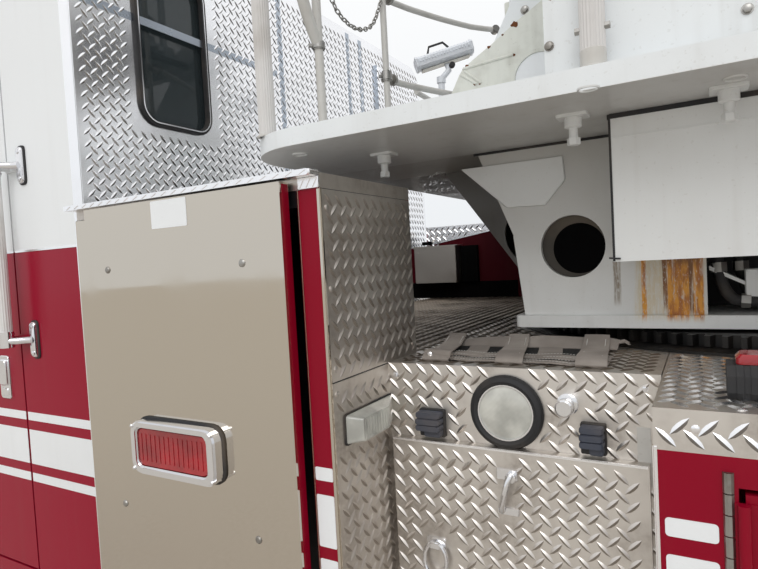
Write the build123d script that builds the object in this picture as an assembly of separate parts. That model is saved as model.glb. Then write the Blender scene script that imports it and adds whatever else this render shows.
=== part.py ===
"""Mid-mount ladder fire truck, in millimetres.

+X is forward, +Y is the truck's left, +Z is up. The origin is on the ground below the middle of the
whole object. Lengthwise places are stations: distances back from the front of the bumper.
"""
from build123d import *
from math import cos, radians, sin, tan
import os

# Overall
LENGTH = 11900.0
BODY_WIDTH = 2540.0
MOVE_GAP = 6.0
PANEL_SEAM = 2.0
SEAT = 0.3
PIN_GAP = 0.3
HINGE_RADIUS = 8.0
HINGE_LEAF = 3.0
HINGE_SPAN = 24.0
HINGE_EDGE = 6.0

# Frame rails and cross members
RAIL_HALF = 432.0
RAIL_BOTTOM = 640.0
RAIL_HEIGHT = 260.0
RAIL_WEB = 10.0
RAIL_FLANGE = 80.0
RAIL_FRONT = 60.0
RAIL_REAR = 11000.0
CROSS_DEPTH = 180.0
CROSS_LENGTH = 90.0
CROSS_STATIONS = (400.0, 3300.0, 5100.0, 7400.0, 9600.0, 10850.0)
OUTRIGGER_LENGTH = 60.0
OUTRIGGER_STATIONS = (5750.0, 7250.0, 9650.0, 10800.0)
TOW_PLATE = 25.0
TOW_HOLE = 30.0
TOW_LOW = 385.0
TANK_FRONT = 10000.0
TANK_REAR = 10760.0
TANK_BOTTOM = 425.0
TANK_CORNER = 70.0
FLAP_WALL = 12.0
FLAP_BOTTOM = 230.0
FLAP_TOP = 520.0
FLAPS = ((2925.0, 1130.0), (8962.0, 1200.0))

# Wheels and axles
FRONT_AXLE = 2230.0
REAR_AXLE = 8300.0
TYRE_RADIUS = 538.0
TYRE_WIDTH = 300.0
TYRE_SHOULDER = 46.0
RIM_RADIUS = 288.0
RIM_WALL = 9.0
TWIN_GAP = 34.0
TRACK_OUTER = 1215.0
KINGPIN_INSET = 370.0
KINGPIN_HALF = TRACK_OUTER - KINGPIN_INSET
KINGPIN_RADIUS = 32.0
KINGPIN_HEIGHT = 150.0
YOKE_WALL = 40.0
SPINDLE_RADIUS = 62.0
HUB_RADIUS = 120.0
BEAM_WIDTH = 110.0
BEAM_DEPTH = 120.0
BEAM_DROP = 110.0
BEAM_NECK = 70.0
SPRING_WIDTH = 90.0
SPRING_HALF = 390.0
SPRING_LENGTH = 1300.0
DISC_WALL = 14.0
STUD_COUNT = 10
STUD_CIRCLE = 168.0
STUD_HOLE = 14.0

# Engine
ENGINE_FRONT = 1560.0
ENGINE_REAR = 2780.0
ENGINE_HALF = 330.0
ENGINE_BOTTOM = 620.0
ENGINE_TOP = 1300.0
ENGINE_FEET = (1700.0, 2600.0)
ENGINE_FOOT = 120.0
ENGINE_PAD = 30.0
GEARBOX_RADIUS = 175.0
GEARBOX_LENGTH = 440.0
SHAFT_RADIUS = 45.0
SHAFT_HEIGHT = RAIL_BOTTOM + RAIL_HEIGHT / 2
SHAFT_JOINT = 6950.0
SHAFT_ROOM = 25.0

# Cab
CAB_FRONT = 500.0
CAB_REAR = 4100.0
CAB_WIDTH = 2320.0
CAB_BOTTOM = 560.0
CAB_WALL = 50.0
CAB_CORNER = 220.0
CAB_EDGE = 130.0
SILL_HEIGHT = 1520.0
BROW_STATION = 650.0
BROW_HEIGHT = 2440.0
LOW_ROOF = 2500.0
STEP_STATION = 1500.0
STEP_RUN = 280.0
HIGH_ROOF = 2760.0
ROOF_JOINT = 2420.0
FRONT_JOINT = 720.0
FLOOR_HEIGHT = 1000.0
FLOOR_PLATE = 40.0
TUNNEL_HALF = 420.0
TUNNEL_FRONT = 1380.0
TUNNEL_REAR = 3020.0
TUNNEL_TOP = 1380.0
TUNNEL_WALL = 20.0
WELL_INNER = 470.0
WELL_TOP = 1250.0
STEP_DEPTH = 260.0
ARCH_RADIUS = 670.0
ARCH_LIP = 12.0
ARCH_REACH = 68.0
GRAB_STATIONS = (1632.0, 3735.0)
GRAB_RADIUS = 16.0
GRAB_REACH = 52.0
GRAB_BOTTOM = 1376.0
GRAB_TOP = 1955.0
DOOR_BOTTOM = 620.0
DOOR_TOP = 2380.0
FRONT_DOOR = (740.0, 1545.0)
CREW_DOOR = (2915.0, 3720.0)
DOOR_RANGE_GAP = 8.0
WINDOW_MARGIN = 90.0
WINDOW_SILL = 1720.0
WINDOW_TOP = 2290.0
WINDOW_CORNER = 60.0
SIDE_WINDOW = (1720.0, 2740.0)
SHIELD_SILL = 1600.0
SHIELD_TOP = 2340.0
SHIELD_HALF = 1010.0
SHIELD_POST = 40.0
REAR_WINDOW = (645.0, 946.0)
REAR_WINDOW_SILL = 2060.0
REAR_WINDOW_TOP = 2600.0
GLASS_INSET = 18.0
GLASS_WALL = 6.0
GRILLE_HALF = 520.0
GRILLE_BOTTOM = 940.0
GRILLE_TOP = 1460.0
GRILLE_FRAME = 40.0
GRILLE_BARS = 7
GRILLE_BAR = 26.0

# Bumper, lamps, light bar and mirrors
BUMPER_INSET = 70.0
BUMPER_HALF = BODY_WIDTH / 2 - BUMPER_INSET
BUMPER_BOTTOM = 480.0
BUMPER_TOP = 780.0
BUMPER_WALL = 12.0
BUMPER_CORNER = 160.0
LAMP_INNER = 620.0
LAMP_OUTER = 920.0
LAMP_BOTTOM = 960.0
LAMP_TOP = 1140.0
LAMP_DEPTH = 26.0
RAIL_NOTCH = 18.0
DASH_BOTTOM = 1280.0
DASH_TOP = 1540.0
DASH_DEPTH = 330.0
DASH_HALF = 900.0
COLUMN_TILT = 55.0
COLUMN_REACH = 380.0
STEER_Y = 790.0
STEER_STATION = 1080.0
STEER_HEIGHT = 1600.0
BAR_FRONT = 860.0
BAR_LENGTH = 300.0
BAR_HALF = 880.0
BAR_HEIGHT = 130.0
MIRROR_REACH = 260.0
MIRROR_HEIGHT = 420.0
MIRROR_WIDTH = 190.0
MIRROR_DEPTH = 90.0
ARM_RADIUS = 14.0

# Seats and steering wheel
SEAT_WIDTH = 460.0
SEAT_DEPTH = 460.0
SEAT_CUSHION = 130.0
SEAT_BACK = 720.0
SEAT_BOX = 260.0
SEAT_PLACES = (
    # station of the cushion's front, inner side, height
    (1750.0, 560.0, WELL_TOP),
    (3560.0, 150.0, FLOOR_HEIGHT + FLOOR_PLATE + SEAT_BOX),
    (3560.0, 640.0, FLOOR_HEIGHT + FLOOR_PLATE + SEAT_BOX),
)
WHEEL_RADIUS = 230.0
WHEEL_RIM = 15.0

# Body
BODY_FRONT = 5575.0
BODY_REAR = 11100.0
BODY_BOTTOM = 560.0
BODY_TOP = 1283.0
BODY_DEPTH = 670.0
BODY_INNER = BODY_WIDTH / 2 - BODY_DEPTH
BODY_WALL = 40.0
BODY_ARCH = 640.0
DECK_TOP = 1345.0
UPPER_FRONT = 7700.0
UPPER_TOP = 2250.0
RECESS_DEPTH = 234.0
RECESS_WALL = BODY_WIDTH / 2 - RECESS_DEPTH
DECK_FRONT = 5005.0
RING_HOLE = 540.0
CAP_WALL = 6.0
LOCKER_PAN = 40.0
LOCKERS = (("front", 5680.0, 6600.0, 1240.0), ("rear", 9560.0, 10960.0, 1240.0))
SHUTTERS = ((6680.0, 7420.0, 620.0, 1240.0), (7820.0, 9280.0, 1420.0, 2150.0), (9400.0, 10960.0, 1420.0, 2150.0))
SHUTTER_WALL = 22.0
SLAT_PITCH = 46.0
SLAT_GROOVE = 5.0
BODY_LIP = 15.0
RUB_RAIL = 34.0
RUB_REACH = 16.0
CRADLE_FRONT = 10360.0
CRADLE_LENGTH = 80.0
CRADLE_ARM = 692.0
CRADLE_BEAM = 80.0
REAR_GRAB_Y = 540.0
TAILBOARD = 40.0
LOCKER_SILL = 620.0
RECESS_DOOR = (5040.0, 5530.0)
RECESS_DOOR_SILL = 660.0
RECESS_DOOR_TOP = 1155.0
RECESS_DOOR_WALL = 22.0
RECESS_LAP = 25.0
STEP_REAR = 11360.0

# Stabilizers
COLUMN_FRONT = 4230.0
COLUMN_SETBACK = 2.0
COLUMN_DEPTH = 383.0
COLUMN_FACE = BODY_WIDTH / 2 - COLUMN_SETBACK
COLUMN_INNER = COLUMN_FACE - COLUMN_DEPTH
COLUMN_BOTTOM = 640.0
COLUMN_TOP = 1728.0
COLUMN_WALL = 34.0
COLUMN_CAP = 30.0
COVER_INSET = 70.0
COVER_LENGTH = 620.0
COVER_BOTTOM = 600.0
COVER_TOP = 1745.0
COVER_DEPTH = 28.0
COVER_SKIN = 4.0
BEAM_STATIONS = {"left": 4450.0, "right": 4770.0}
SLEEVE_OUTER = 216.0
SLEEVE_INNER = 186.0
SLEEVE_INSET = 390.0
SLEEVE_HALF = BODY_WIDTH / 2 - SLEEVE_INSET
SLEEVE_BOTTOM = 400.0
ARM_OUTER = 174.0
ARM_INNER = 150.0
ARM_SETBACK = 40.0
ARM_TAIL = SLEEVE_HALF - ARM_SETBACK
JACK_INSET = 140.0
JACK_Y = BODY_WIDTH / 2 - JACK_INSET
JACK_OUTER = 190.0
JACK_INNER = 162.0
JACK_TOP = 1660.0
JACK_BOTTOM = 410.0
LEG_SIDE = 150.0
LEG_TOP = 1450.0
FOOT_SIDE = 250.0
FOOT_PLATE = 32.0
FOOT_BOTTOM = 335.0
REAR_JACK = 9240.0
REAR_JACK_INSET = 230.0
REAR_JACK_Y = BODY_WIDTH / 2 - REAR_JACK_INSET
REAR_JACK_TOP = 1240.0

# Turntable
TURN_STATION = 5900.0
RING_RADIUS = 500.0
RING_BORE = 380.0
TORQUE_HALF = 600.0
TORQUE_FRONT = 5280.0
TORQUE_REAR = 6520.0
TORQUE_WALL = 30.0
BASE_BOTTOM = 1390.0
BASE_PLATE = 30.0
BASE_HALF_X = 670.0
BASE_HALF_Y = 730.0
BASE_WALL = 16.0
BASE_FRAME_X = 600.0
BASE_FRAME_Y = 715.0
BASE_TAPER = 170.0
BASE_HOLE = 77.0
BASE_HOLE_S = 5364.0
BASE_HOLE_Z = 1590.0
TABLE_BOTTOM = 1850.0
TABLE_PLATE = 40.0
TABLE_HALF_X = 1250.0
TABLE_INSET = 124.0
TABLE_HALF_Y = BODY_WIDTH / 2 - TABLE_INSET
TABLE_CORNER = 200.0
BOX_OUTER = 930.0
BOX_BOTTOM = 1552.0
BOX_FRONT = 5485.0
BOX_REAR = 6500.0
SIDE_OPENING = (5650.0, 6150.0)
WEB_INNER = 440.0
WEB_WALL = 14.0
WEB_REACH = 374.0
WEB_HOLE = 100.0
CONSOLE_FRONT = 5400.0
CONSOLE_REAR = 6250.0
CONSOLE_DEPTH = 150.0
CONSOLE_INSET = 190.0
CONSOLE_HEIGHT = 760.0
HEEL_STATION = 5350.0
HEEL_HEIGHT = 3000.0
HEEL_PIN = 42.0
HEEL_BOSS = 120.0
UPRIGHT_INNER = 620.0
UPRIGHT_WALL = 30.0
POST_RADIUS = 20.0
RAIL_RADIUS = 17.0
POST_HEIGHT = 1000.0

# Lift cylinders
FOOT_PIN_S = 6200.0
FOOT_PIN_Z = 2260.0
HEAD_PIN_S = 7950.0
HEAD_PIN_Z = 3060.0
LIFT_Y = 745.0
LIFT_NECK = 150.0
LIFT_EYE = 78.0
LIFT_PIN = 35.0
LIFT_EYE_WIDTH = 70.0
BARREL_RADIUS = 85.0
BARREL_WALL = 12.0
LIFT_LENGTH = ((HEAD_PIN_S - FOOT_PIN_S) ** 2 + (HEAD_PIN_Z - FOOT_PIN_Z) ** 2) ** 0.5
BARREL_HEAD_GAP = 86.0
BARREL_LENGTH = LIFT_LENGTH - LIFT_EYE - BARREL_HEAD_GAP
ROD_RADIUS = 48.0
LUG_WALL = 24.0
HEAD_BOSS = 62.0
HEAD_PLATE = 20.0
LEDGE = 34.0
TRACK_PAD = 5.7

# Ladder
HEEL_RISE = 130.0
LADDER_BOTTOM = HEEL_HEIGHT - HEEL_RISE
LADDER_HALF = 560.0
LADDER_HEIGHT = 680.0
TIP_STEP = 100.0
RAIL_STEP = 20.0
SECTIONS = tuple(
    (name, HEEL_STATION + heel, LENGTH - TIP_STEP * inner, LADDER_HALF - inset, LADDER_BOTTOM + rise,
     LADDER_BOTTOM + LADDER_HEIGHT - RAIL_STEP * (3 - inner))
    # name, sections inside it, heel back of the pin, narrower by, chord higher by
    for name, inner, heel, inset, rise in (
        ("ladder_base", 3, -100.0, 0.0, 0.0),
        ("ladder_second", 2, 130.0, 80.0, 92.0),
        ("ladder_third", 1, 210.0, 160.0, 166.0),
        ("ladder_fly", 0, 290.0, 238.0, 238.0),
    )
)
CHORD_WIDTH = 62.0
CHORD_HEIGHT = 66.0
RAIL_SIDE = 44.0
BRACE_WALL = 30.0
BRACE_WIDTH = 34.0
BAY = 700.0
RUNG_RADIUS = 18.0
RUNG_PITCH = 355.0

FRONT_X = LENGTH / 2


def X(station):
    """Frame coordinate of a station."""
    return FRONT_X - station


def block(s0, s1, y0, y1, z0, z1):
    """Box between two stations, two widths and two heights."""
    centre = ((X(s0) + X(s1)) / 2, (y0 + y1) / 2, (z0 + z1) / 2)
    return Pos(*centre) * Box(abs(s1 - s0), abs(y1 - y0), abs(z1 - z0))


def mirrored(solid):
    """The same solid on the truck's other side."""
    return mirror(solid, Plane.XZ)


def rod_x(s0, s1, y, z, radius):
    """Round bar along the truck."""
    bar = Cylinder(radius, abs(s1 - s0), rotation=(0, 90, 0))
    return Pos((X(s0) + X(s1)) / 2, y, z) * bar


def rod_y(s, z, radius, y0, y1):
    """Round bar across the truck."""
    bar = Cylinder(radius, abs(y1 - y0), rotation=(90, 0, 0))
    return Pos(X(s), (y0 + y1) / 2, z) * bar


def rod_z(s, y, radius, z0, z1):
    """Upright round bar."""
    return Pos(X(s), y, (z0 + z1) / 2) * Cylinder(radius, abs(z1 - z0))


def side_plate(points, y0, y1):
    """Plate across y0 to y1 with an outline of station and height pairs."""
    corners = [(X(s), y0, z) for s, z in points]
    face = make_face(Polyline(*corners, close=True))
    return extrude(face, amount=y1 - y0, dir=(0, 1, 0))


def cross_plate(points, s0, s1):
    """Plate between two stations with an outline of width and height pairs."""
    corners = [(X(s1), y, z) for y, z in points]
    face = make_face(Polyline(*corners, close=True))
    return extrude(face, amount=s1 - s0, dir=(1, 0, 0))


def tube_z(s, y, outer, inner, z0, z1):
    """Upright square tube."""
    solid = block(s - outer / 2, s + outer / 2, y - outer / 2, y + outer / 2, z0, z1)
    return solid - block(s - inner / 2, s + inner / 2, y - inner / 2, y + inner / 2, z0 - 1, z1 + 1)


def hinge_z(s, face, z0, z1):
    """Fixed half and moving half of an upright piano hinge on a side face."""
    fixed = rod_z(s, face + HINGE_RADIUS, HINGE_RADIUS, z0, z1)
    fixed += block(s - HINGE_SPAN, s, face, face + HINGE_LEAF, z0, z1)
    reach = ((HINGE_RADIUS + SEAT) ** 2 - (HINGE_RADIUS - HINGE_LEAF) ** 2) ** 0.5
    moving = block(s + reach, s + reach + HINGE_SPAN, face, face + HINGE_LEAF, z0, z1)
    return fixed, moving


def hinge_x(z, face, s0, s1):
    """Fixed half and moving half of a level piano hinge above a door."""
    fixed = rod_x(s0, s1, face + HINGE_RADIUS, z, HINGE_RADIUS)
    fixed += block(s0, s1, face, face + HINGE_LEAF, z, z + HINGE_SPAN)
    reach = ((HINGE_RADIUS + SEAT) ** 2 - (HINGE_RADIUS - HINGE_LEAF) ** 2) ** 0.5
    moving = block(s0, s1, face, face + HINGE_LEAF, z - reach - HINGE_SPAN, z - reach)
    return fixed, moving


def jack_tube(s, y, top):
    """Upright jack tube with guide pads for its leg at the lower end."""
    tube = tube_z(s, y, JACK_OUTER, JACK_INNER, JACK_BOTTOM, top)
    for way in (1, -1):
        a = y + way * (LEG_SIDE / 2 + SEAT)
        b = y + way * (JACK_INNER / 2 + 1)
        tube += block(s - 50, s + 50, min(a, b), max(a, b), JACK_BOTTOM, JACK_BOTTOM + 70)
    return tube


def save(name, pieces):
    """Write one node from its list of pieces."""
    solids = []
    for piece in pieces:
        solids += list(piece.solids())
    whole = solids[0] if len(solids) == 1 else Compound(children=solids)
    export_step(whole, f"parts/{name}.step")


def frame_pieces():
    """Rails, cross members, torque box, slewing ring and fixed stabilizer tubes."""
    top = RAIL_BOTTOM + RAIL_HEIGHT
    rail = block(RAIL_FRONT, RAIL_REAR, RAIL_HALF - RAIL_FLANGE, RAIL_HALF, RAIL_BOTTOM, top)
    rail -= block(
        RAIL_FRONT - 1, RAIL_REAR + 1, RAIL_HALF - RAIL_FLANGE - 1, RAIL_HALF - RAIL_WEB,
        RAIL_BOTTOM + RAIL_WEB, top - RAIL_WEB,
    )
    pieces = [rail, mirrored(rail)]
    middle = RAIL_BOTTOM + RAIL_HEIGHT / 2
    shaft = engine_shaft(SHAFT_RADIUS + SHAFT_ROOM)
    shaft += axle_shaft(SHAFT_RADIUS + SHAFT_ROOM)
    for s in CROSS_STATIONS:
        web = RAIL_HALF - RAIL_WEB
        cross = block(s, s + CROSS_LENGTH, -web, web, middle - CROSS_DEPTH / 2, middle + CROSS_DEPTH / 2)
        pieces.append(cross - shaft)
    tank = block(TANK_FRONT, TANK_REAR, -RAIL_HALF, RAIL_HALF, TANK_BOTTOM, RAIL_BOTTOM)
    tank = fillet(tank.edges().filter_by(Axis.X).group_by(Axis.Z)[0], TANK_CORNER)
    pieces.append(tank)
    for s, reach in FLAPS:
        flap = mud_flap(s, reach)
        pieces += [flap, mirrored(flap)]
    for s in OUTRIGGER_STATIONS:
        arm = block(s, s + OUTRIGGER_LENGTH, RAIL_HALF, BODY_INNER, RAIL_BOTTOM + 60, top - 40)
        pieces += [arm, mirrored(arm)]
    for s in (700.0, 3500.0):
        pad = block(s, s + 120, RAIL_HALF - RAIL_FLANGE, RAIL_HALF, top, FLOOR_HEIGHT)
        pieces += [pad, mirrored(pad)]
    tow = block(RAIL_REAR, RAIL_REAR + 240, RAIL_HALF - TOW_PLATE, RAIL_HALF, RAIL_BOTTOM, RAIL_BOTTOM + 160)
    tow -= rod_y(RAIL_REAR + 165, RAIL_BOTTOM + 80, TOW_HOLE, 0, BODY_WIDTH)
    pieces += [tow, mirrored(tow)]
    tow = block(RAIL_FRONT, RAIL_FRONT + 190, RAIL_HALF - TOW_PLATE, RAIL_HALF, TOW_LOW, RAIL_BOTTOM)
    tow -= rod_y(RAIL_FRONT + 95, TOW_LOW + 55, TOW_HOLE, 0, BODY_WIDTH)
    pieces += [tow, mirrored(tow)]

    box = block(TORQUE_FRONT, TORQUE_REAR, -TORQUE_HALF, TORQUE_HALF, top, BODY_TOP)
    box -= block(
        TORQUE_FRONT + TORQUE_WALL, TORQUE_REAR - TORQUE_WALL, -TORQUE_HALF + TORQUE_WALL,
        TORQUE_HALF - TORQUE_WALL, top + TORQUE_WALL, BODY_TOP - TORQUE_WALL,
    )
    ring = rod_z(TURN_STATION, 0, RING_RADIUS, BODY_TOP, BASE_BOTTOM - SEAT)
    ring -= rod_z(TURN_STATION, 0, RING_BORE, BODY_TOP, BASE_BOTTOM)
    pieces += [box, ring]

    sleeve_top = SLEEVE_BOTTOM + SLEEVE_OUTER
    hollow = (SLEEVE_OUTER - SLEEVE_INNER) / 2
    for s in BEAM_STATIONS.values():
        tube = block(s - SLEEVE_OUTER / 2, s + SLEEVE_OUTER / 2, -SLEEVE_HALF, SLEEVE_HALF,
                     SLEEVE_BOTTOM, sleeve_top)
        tube -= block(s - SLEEVE_INNER / 2, s + SLEEVE_INNER / 2, -SLEEVE_HALF - 1, SLEEVE_HALF + 1,
                      SLEEVE_BOTTOM + hollow, sleeve_top - hollow)
        lift = (SLEEVE_INNER - ARM_OUTER) / 2 - SEAT
        for y in (SLEEVE_HALF - 110, -SLEEVE_HALF + 10):
            tube += block(s - 60, s + 60, y, y + 100, SLEEVE_BOTTOM + hollow - 1, SLEEVE_BOTTOM + hollow + lift)
        pieces.append(tube)
    bolster = block(COLUMN_FRONT, DECK_FRONT, -SLEEVE_HALF, SLEEVE_HALF, sleeve_top, RAIL_BOTTOM)
    wing = block(COLUMN_FRONT, DECK_FRONT, RAIL_HALF, COLUMN_INNER, RAIL_BOTTOM, RAIL_BOTTOM + 120)
    pieces += [bolster, wing, mirrored(wing)]

    cross = block(REAR_JACK - 90, REAR_JACK + 90, -REAR_JACK_Y + JACK_OUTER / 2, REAR_JACK_Y - JACK_OUTER / 2,
                  SLEEVE_BOTTOM + 60, RAIL_BOTTOM)
    leg = jack_tube(REAR_JACK, REAR_JACK_Y, REAR_JACK_TOP)
    pieces += [cross, leg, mirrored(leg)]
    return pieces


def mud_flap(s, reach):
    """Rubber flap behind a wheel, on an arm from the frame rail."""
    back = s + 2 * FLAP_WALL
    flap = block(s, back, RAIL_HALF, reach, FLAP_TOP, FLAP_TOP + 2 * FLAP_WALL)
    flap += block(s, back, RAIL_HALF, RAIL_HALF + 2 * FLAP_WALL, FLAP_TOP, RAIL_BOTTOM + 4 * FLAP_WALL)
    inner = reach - TYRE_WIDTH * 1.5
    flap += block(s + FLAP_WALL / 2, s + 1.5 * FLAP_WALL, inner, reach, FLAP_BOTTOM, FLAP_TOP + 1)
    return flap


def engine_shaft(radius):
    """Drive shaft from the gearbox to the middle joint."""
    return rod_x(ENGINE_REAR + GEARBOX_LENGTH - 1, SHAFT_JOINT, 0, SHAFT_HEIGHT, radius)


def axle_shaft(radius):
    """Sloping drive shaft from the middle joint to the rear axle."""
    start = Vector(X(SHAFT_JOINT + SEAT), 0, SHAFT_HEIGHT)
    end = Vector(X(REAR_AXLE - 325), 0, TYRE_RADIUS)
    profile = Plane(origin=end, z_dir=start - end) * Circle(radius)
    return extrude(profile, amount=(end - start).length - radius / 2)


def leaf_spring(axle):
    """Stack of leaves below a rail, with a hanger at each end and the axle's seat."""
    half = SPRING_WIDTH / 2
    top = RAIL_BOTTOM
    arc = [
        (axle - SPRING_LENGTH / 2, top - 20), (axle - 200, top - 55), (axle + 200, top - 55),
        (axle + SPRING_LENGTH / 2, top - 20), (axle + SPRING_LENGTH / 2, top),
        (axle + SPRING_LENGTH / 2 - 70, top), (axle + 200, top - 34), (axle - 200, top - 34),
        (axle - SPRING_LENGTH / 2 + 70, top), (axle - SPRING_LENGTH / 2, top),
    ]
    return side_plate(arc, SPRING_HALF - half, SPRING_HALF + half)


def front_axle_pieces():
    """Dropped beam with a boss at each kingpin, and its springs."""
    low = TYRE_RADIUS - BEAM_DROP
    points = [
        (-KINGPIN_HALF, TYRE_RADIUS + KINGPIN_HEIGHT / 2), (-KINGPIN_HALF, TYRE_RADIUS - KINGPIN_HEIGHT / 2),
        (-KINGPIN_HALF + BEAM_NECK, TYRE_RADIUS - KINGPIN_HEIGHT / 2),
        (-KINGPIN_HALF + 260, low - BEAM_DEPTH / 2), (KINGPIN_HALF - 260, low - BEAM_DEPTH / 2),
        (KINGPIN_HALF - BEAM_NECK, TYRE_RADIUS - KINGPIN_HEIGHT / 2),
        (KINGPIN_HALF, TYRE_RADIUS - KINGPIN_HEIGHT / 2), (KINGPIN_HALF, TYRE_RADIUS + KINGPIN_HEIGHT / 2),
        (KINGPIN_HALF - 200, low + BEAM_DEPTH / 2), (-KINGPIN_HALF + 200, low + BEAM_DEPTH / 2),
    ]
    beam = cross_plate(points, FRONT_AXLE - BEAM_WIDTH / 2, FRONT_AXLE + BEAM_WIDTH / 2)
    z0 = TYRE_RADIUS - KINGPIN_HEIGHT / 2
    z1 = TYRE_RADIUS + KINGPIN_HEIGHT / 2
    for y in (KINGPIN_HALF, -KINGPIN_HALF):
        beam += rod_z(FRONT_AXLE, y, BEAM_WIDTH / 2, z0, z1)
        beam -= rod_z(FRONT_AXLE, y, KINGPIN_RADIUS + PIN_GAP, z0 - 1, z1 + 1)
    half = SPRING_WIDTH / 2
    seat = block(FRONT_AXLE - 120, FRONT_AXLE + 120, SPRING_HALF - half, SPRING_HALF + half,
                 low + BEAM_DEPTH / 2, RAIL_BOTTOM - 55)
    spring = leaf_spring(FRONT_AXLE)
    return [beam, seat, mirrored(seat), spring, mirrored(spring)]


def rear_axle_pieces():
    """Banjo housing with the tubes that carry the twin wheels, and its springs."""
    tube_end = TRACK_OUTER - 2 * TYRE_WIDTH - TWIN_GAP - 60
    housing = rod_y(REAR_AXLE, TYRE_RADIUS, 85, -tube_end, tube_end)
    ball = Pos(X(REAR_AXLE), 0, TYRE_RADIUS) * Sphere(220)
    housing += ball & block(REAR_AXLE - 220, REAR_AXLE + 220, -150, 150, 0, 2 * TYRE_RADIUS)
    housing += rod_x(REAR_AXLE - 330, REAR_AXLE, 0, TYRE_RADIUS, 95)
    for side in (1, -1):
        stub = rod_y(REAR_AXLE, TYRE_RADIUS, SPINDLE_RADIUS, side * tube_end, side * (TRACK_OUTER - 215))
        housing += stub
    housing += axle_shaft(SHAFT_RADIUS)
    half = SPRING_WIDTH / 2
    seat = block(REAR_AXLE - 110, REAR_AXLE + 110, SPRING_HALF - half, SPRING_HALF + half,
                 TYRE_RADIUS, RAIL_BOTTOM - 55)
    seat -= rod_y(REAR_AXLE, TYRE_RADIUS, 85, 0, BODY_WIDTH)
    spring = leaf_spring(REAR_AXLE)
    return [housing, seat, mirrored(seat), spring, mirrored(spring)]


def knuckle(side):
    """Yoke around the kingpin boss with the spindle that carries the wheel."""
    z0 = TYRE_RADIUS - KINGPIN_HEIGHT / 2 - PIN_GAP
    z1 = TYRE_RADIUS + KINGPIN_HEIGHT / 2 + PIN_GAP
    half = BEAM_WIDTH / 2
    back = KINGPIN_HALF + half + MOVE_GAP
    yoke = block(FRONT_AXLE - half, FRONT_AXLE + half, back, back + YOKE_WALL, z0 - YOKE_WALL, z1 + YOKE_WALL)
    for low, high in ((z0 - YOKE_WALL, z0), (z1, z1 + YOKE_WALL)):
        yoke += rod_z(FRONT_AXLE, KINGPIN_HALF, half, low, high)
        yoke += block(FRONT_AXLE - half, FRONT_AXLE + half, KINGPIN_HALF, back + 1, low, high)
    yoke += rod_z(FRONT_AXLE, KINGPIN_HALF, KINGPIN_RADIUS, z0 - YOKE_WALL, z1 + YOKE_WALL)
    yoke += rod_y(FRONT_AXLE, TYRE_RADIUS, SPINDLE_RADIUS, back, TRACK_OUTER - 80)
    return yoke if side > 0 else mirrored(yoke)


def tyre_ring(axle, outer_face):
    """One tyre, from its outer face inward."""
    half = TYRE_WIDTH / 2
    centre = outer_face - half
    profile = [
        (-half + 30, RIM_RADIUS), (-half, RIM_RADIUS + 34), (-half + 2, TYRE_RADIUS - TYRE_SHOULDER - 60),
        (-half + TYRE_SHOULDER, TYRE_RADIUS), (half - TYRE_SHOULDER, TYRE_RADIUS),
        (half - 2, TYRE_RADIUS - TYRE_SHOULDER - 60), (half, RIM_RADIUS + 34), (half - 30, RIM_RADIUS),
    ]
    points = [(X(axle), centre + w, TYRE_RADIUS + r) for w, r in profile]
    face = make_face(Polyline(*points, close=True))
    return revolve(face, axis=Axis((X(axle), 0, TYRE_RADIUS), (0, 1, 0)))


def rim_profile(axle, points):
    """Turned piece of a wheel from width and radius pairs."""
    corners = [(X(axle), y, TYRE_RADIUS + r) for y, r in points]
    face = make_face(Polyline(*corners, close=True))
    return revolve(face, axis=Axis((X(axle), 0, TYRE_RADIUS), (0, 1, 0)))


def rim(axle, outer_face, disc_out, hub_out, bore):
    """Rim barrel with a dished disc and a hub."""
    width = TYRE_WIDTH
    r1 = RIM_RADIUS - SEAT
    inner = outer_face - width
    barrel = rim_profile(axle, [
        (inner + 22, r1), (outer_face - 22, r1), (outer_face - 22, r1 - RIM_WALL), (inner + 22, r1 - RIM_WALL),
    ])
    disc = rim_profile(axle, [
        (disc_out, bore), (disc_out, 215.0), (outer_face - 60, r1 - RIM_WALL), (outer_face - 60 - DISC_WALL - 10, r1 - RIM_WALL),
        (disc_out - DISC_WALL, 205.0), (disc_out - DISC_WALL, bore),
    ])
    hub = rim_profile(axle, [
        (inner + 60, bore), (inner + 60, HUB_RADIUS), (hub_out - 30, HUB_RADIUS), (hub_out, HUB_RADIUS - 30),
        (hub_out, 0.0), (hub_out - 14, 0.0), (hub_out - 14, bore),
    ])
    solid = barrel + disc + hub
    for i in range(STUD_COUNT):
        angle = 360.0 / STUD_COUNT * i
        s = axle + STUD_CIRCLE * cos(radians(angle))
        z = TYRE_RADIUS + STUD_CIRCLE * sin(radians(angle))
        solid += rod_y(s, z, STUD_HOLE, disc_out - 2, disc_out + 26)
    return solid


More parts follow.
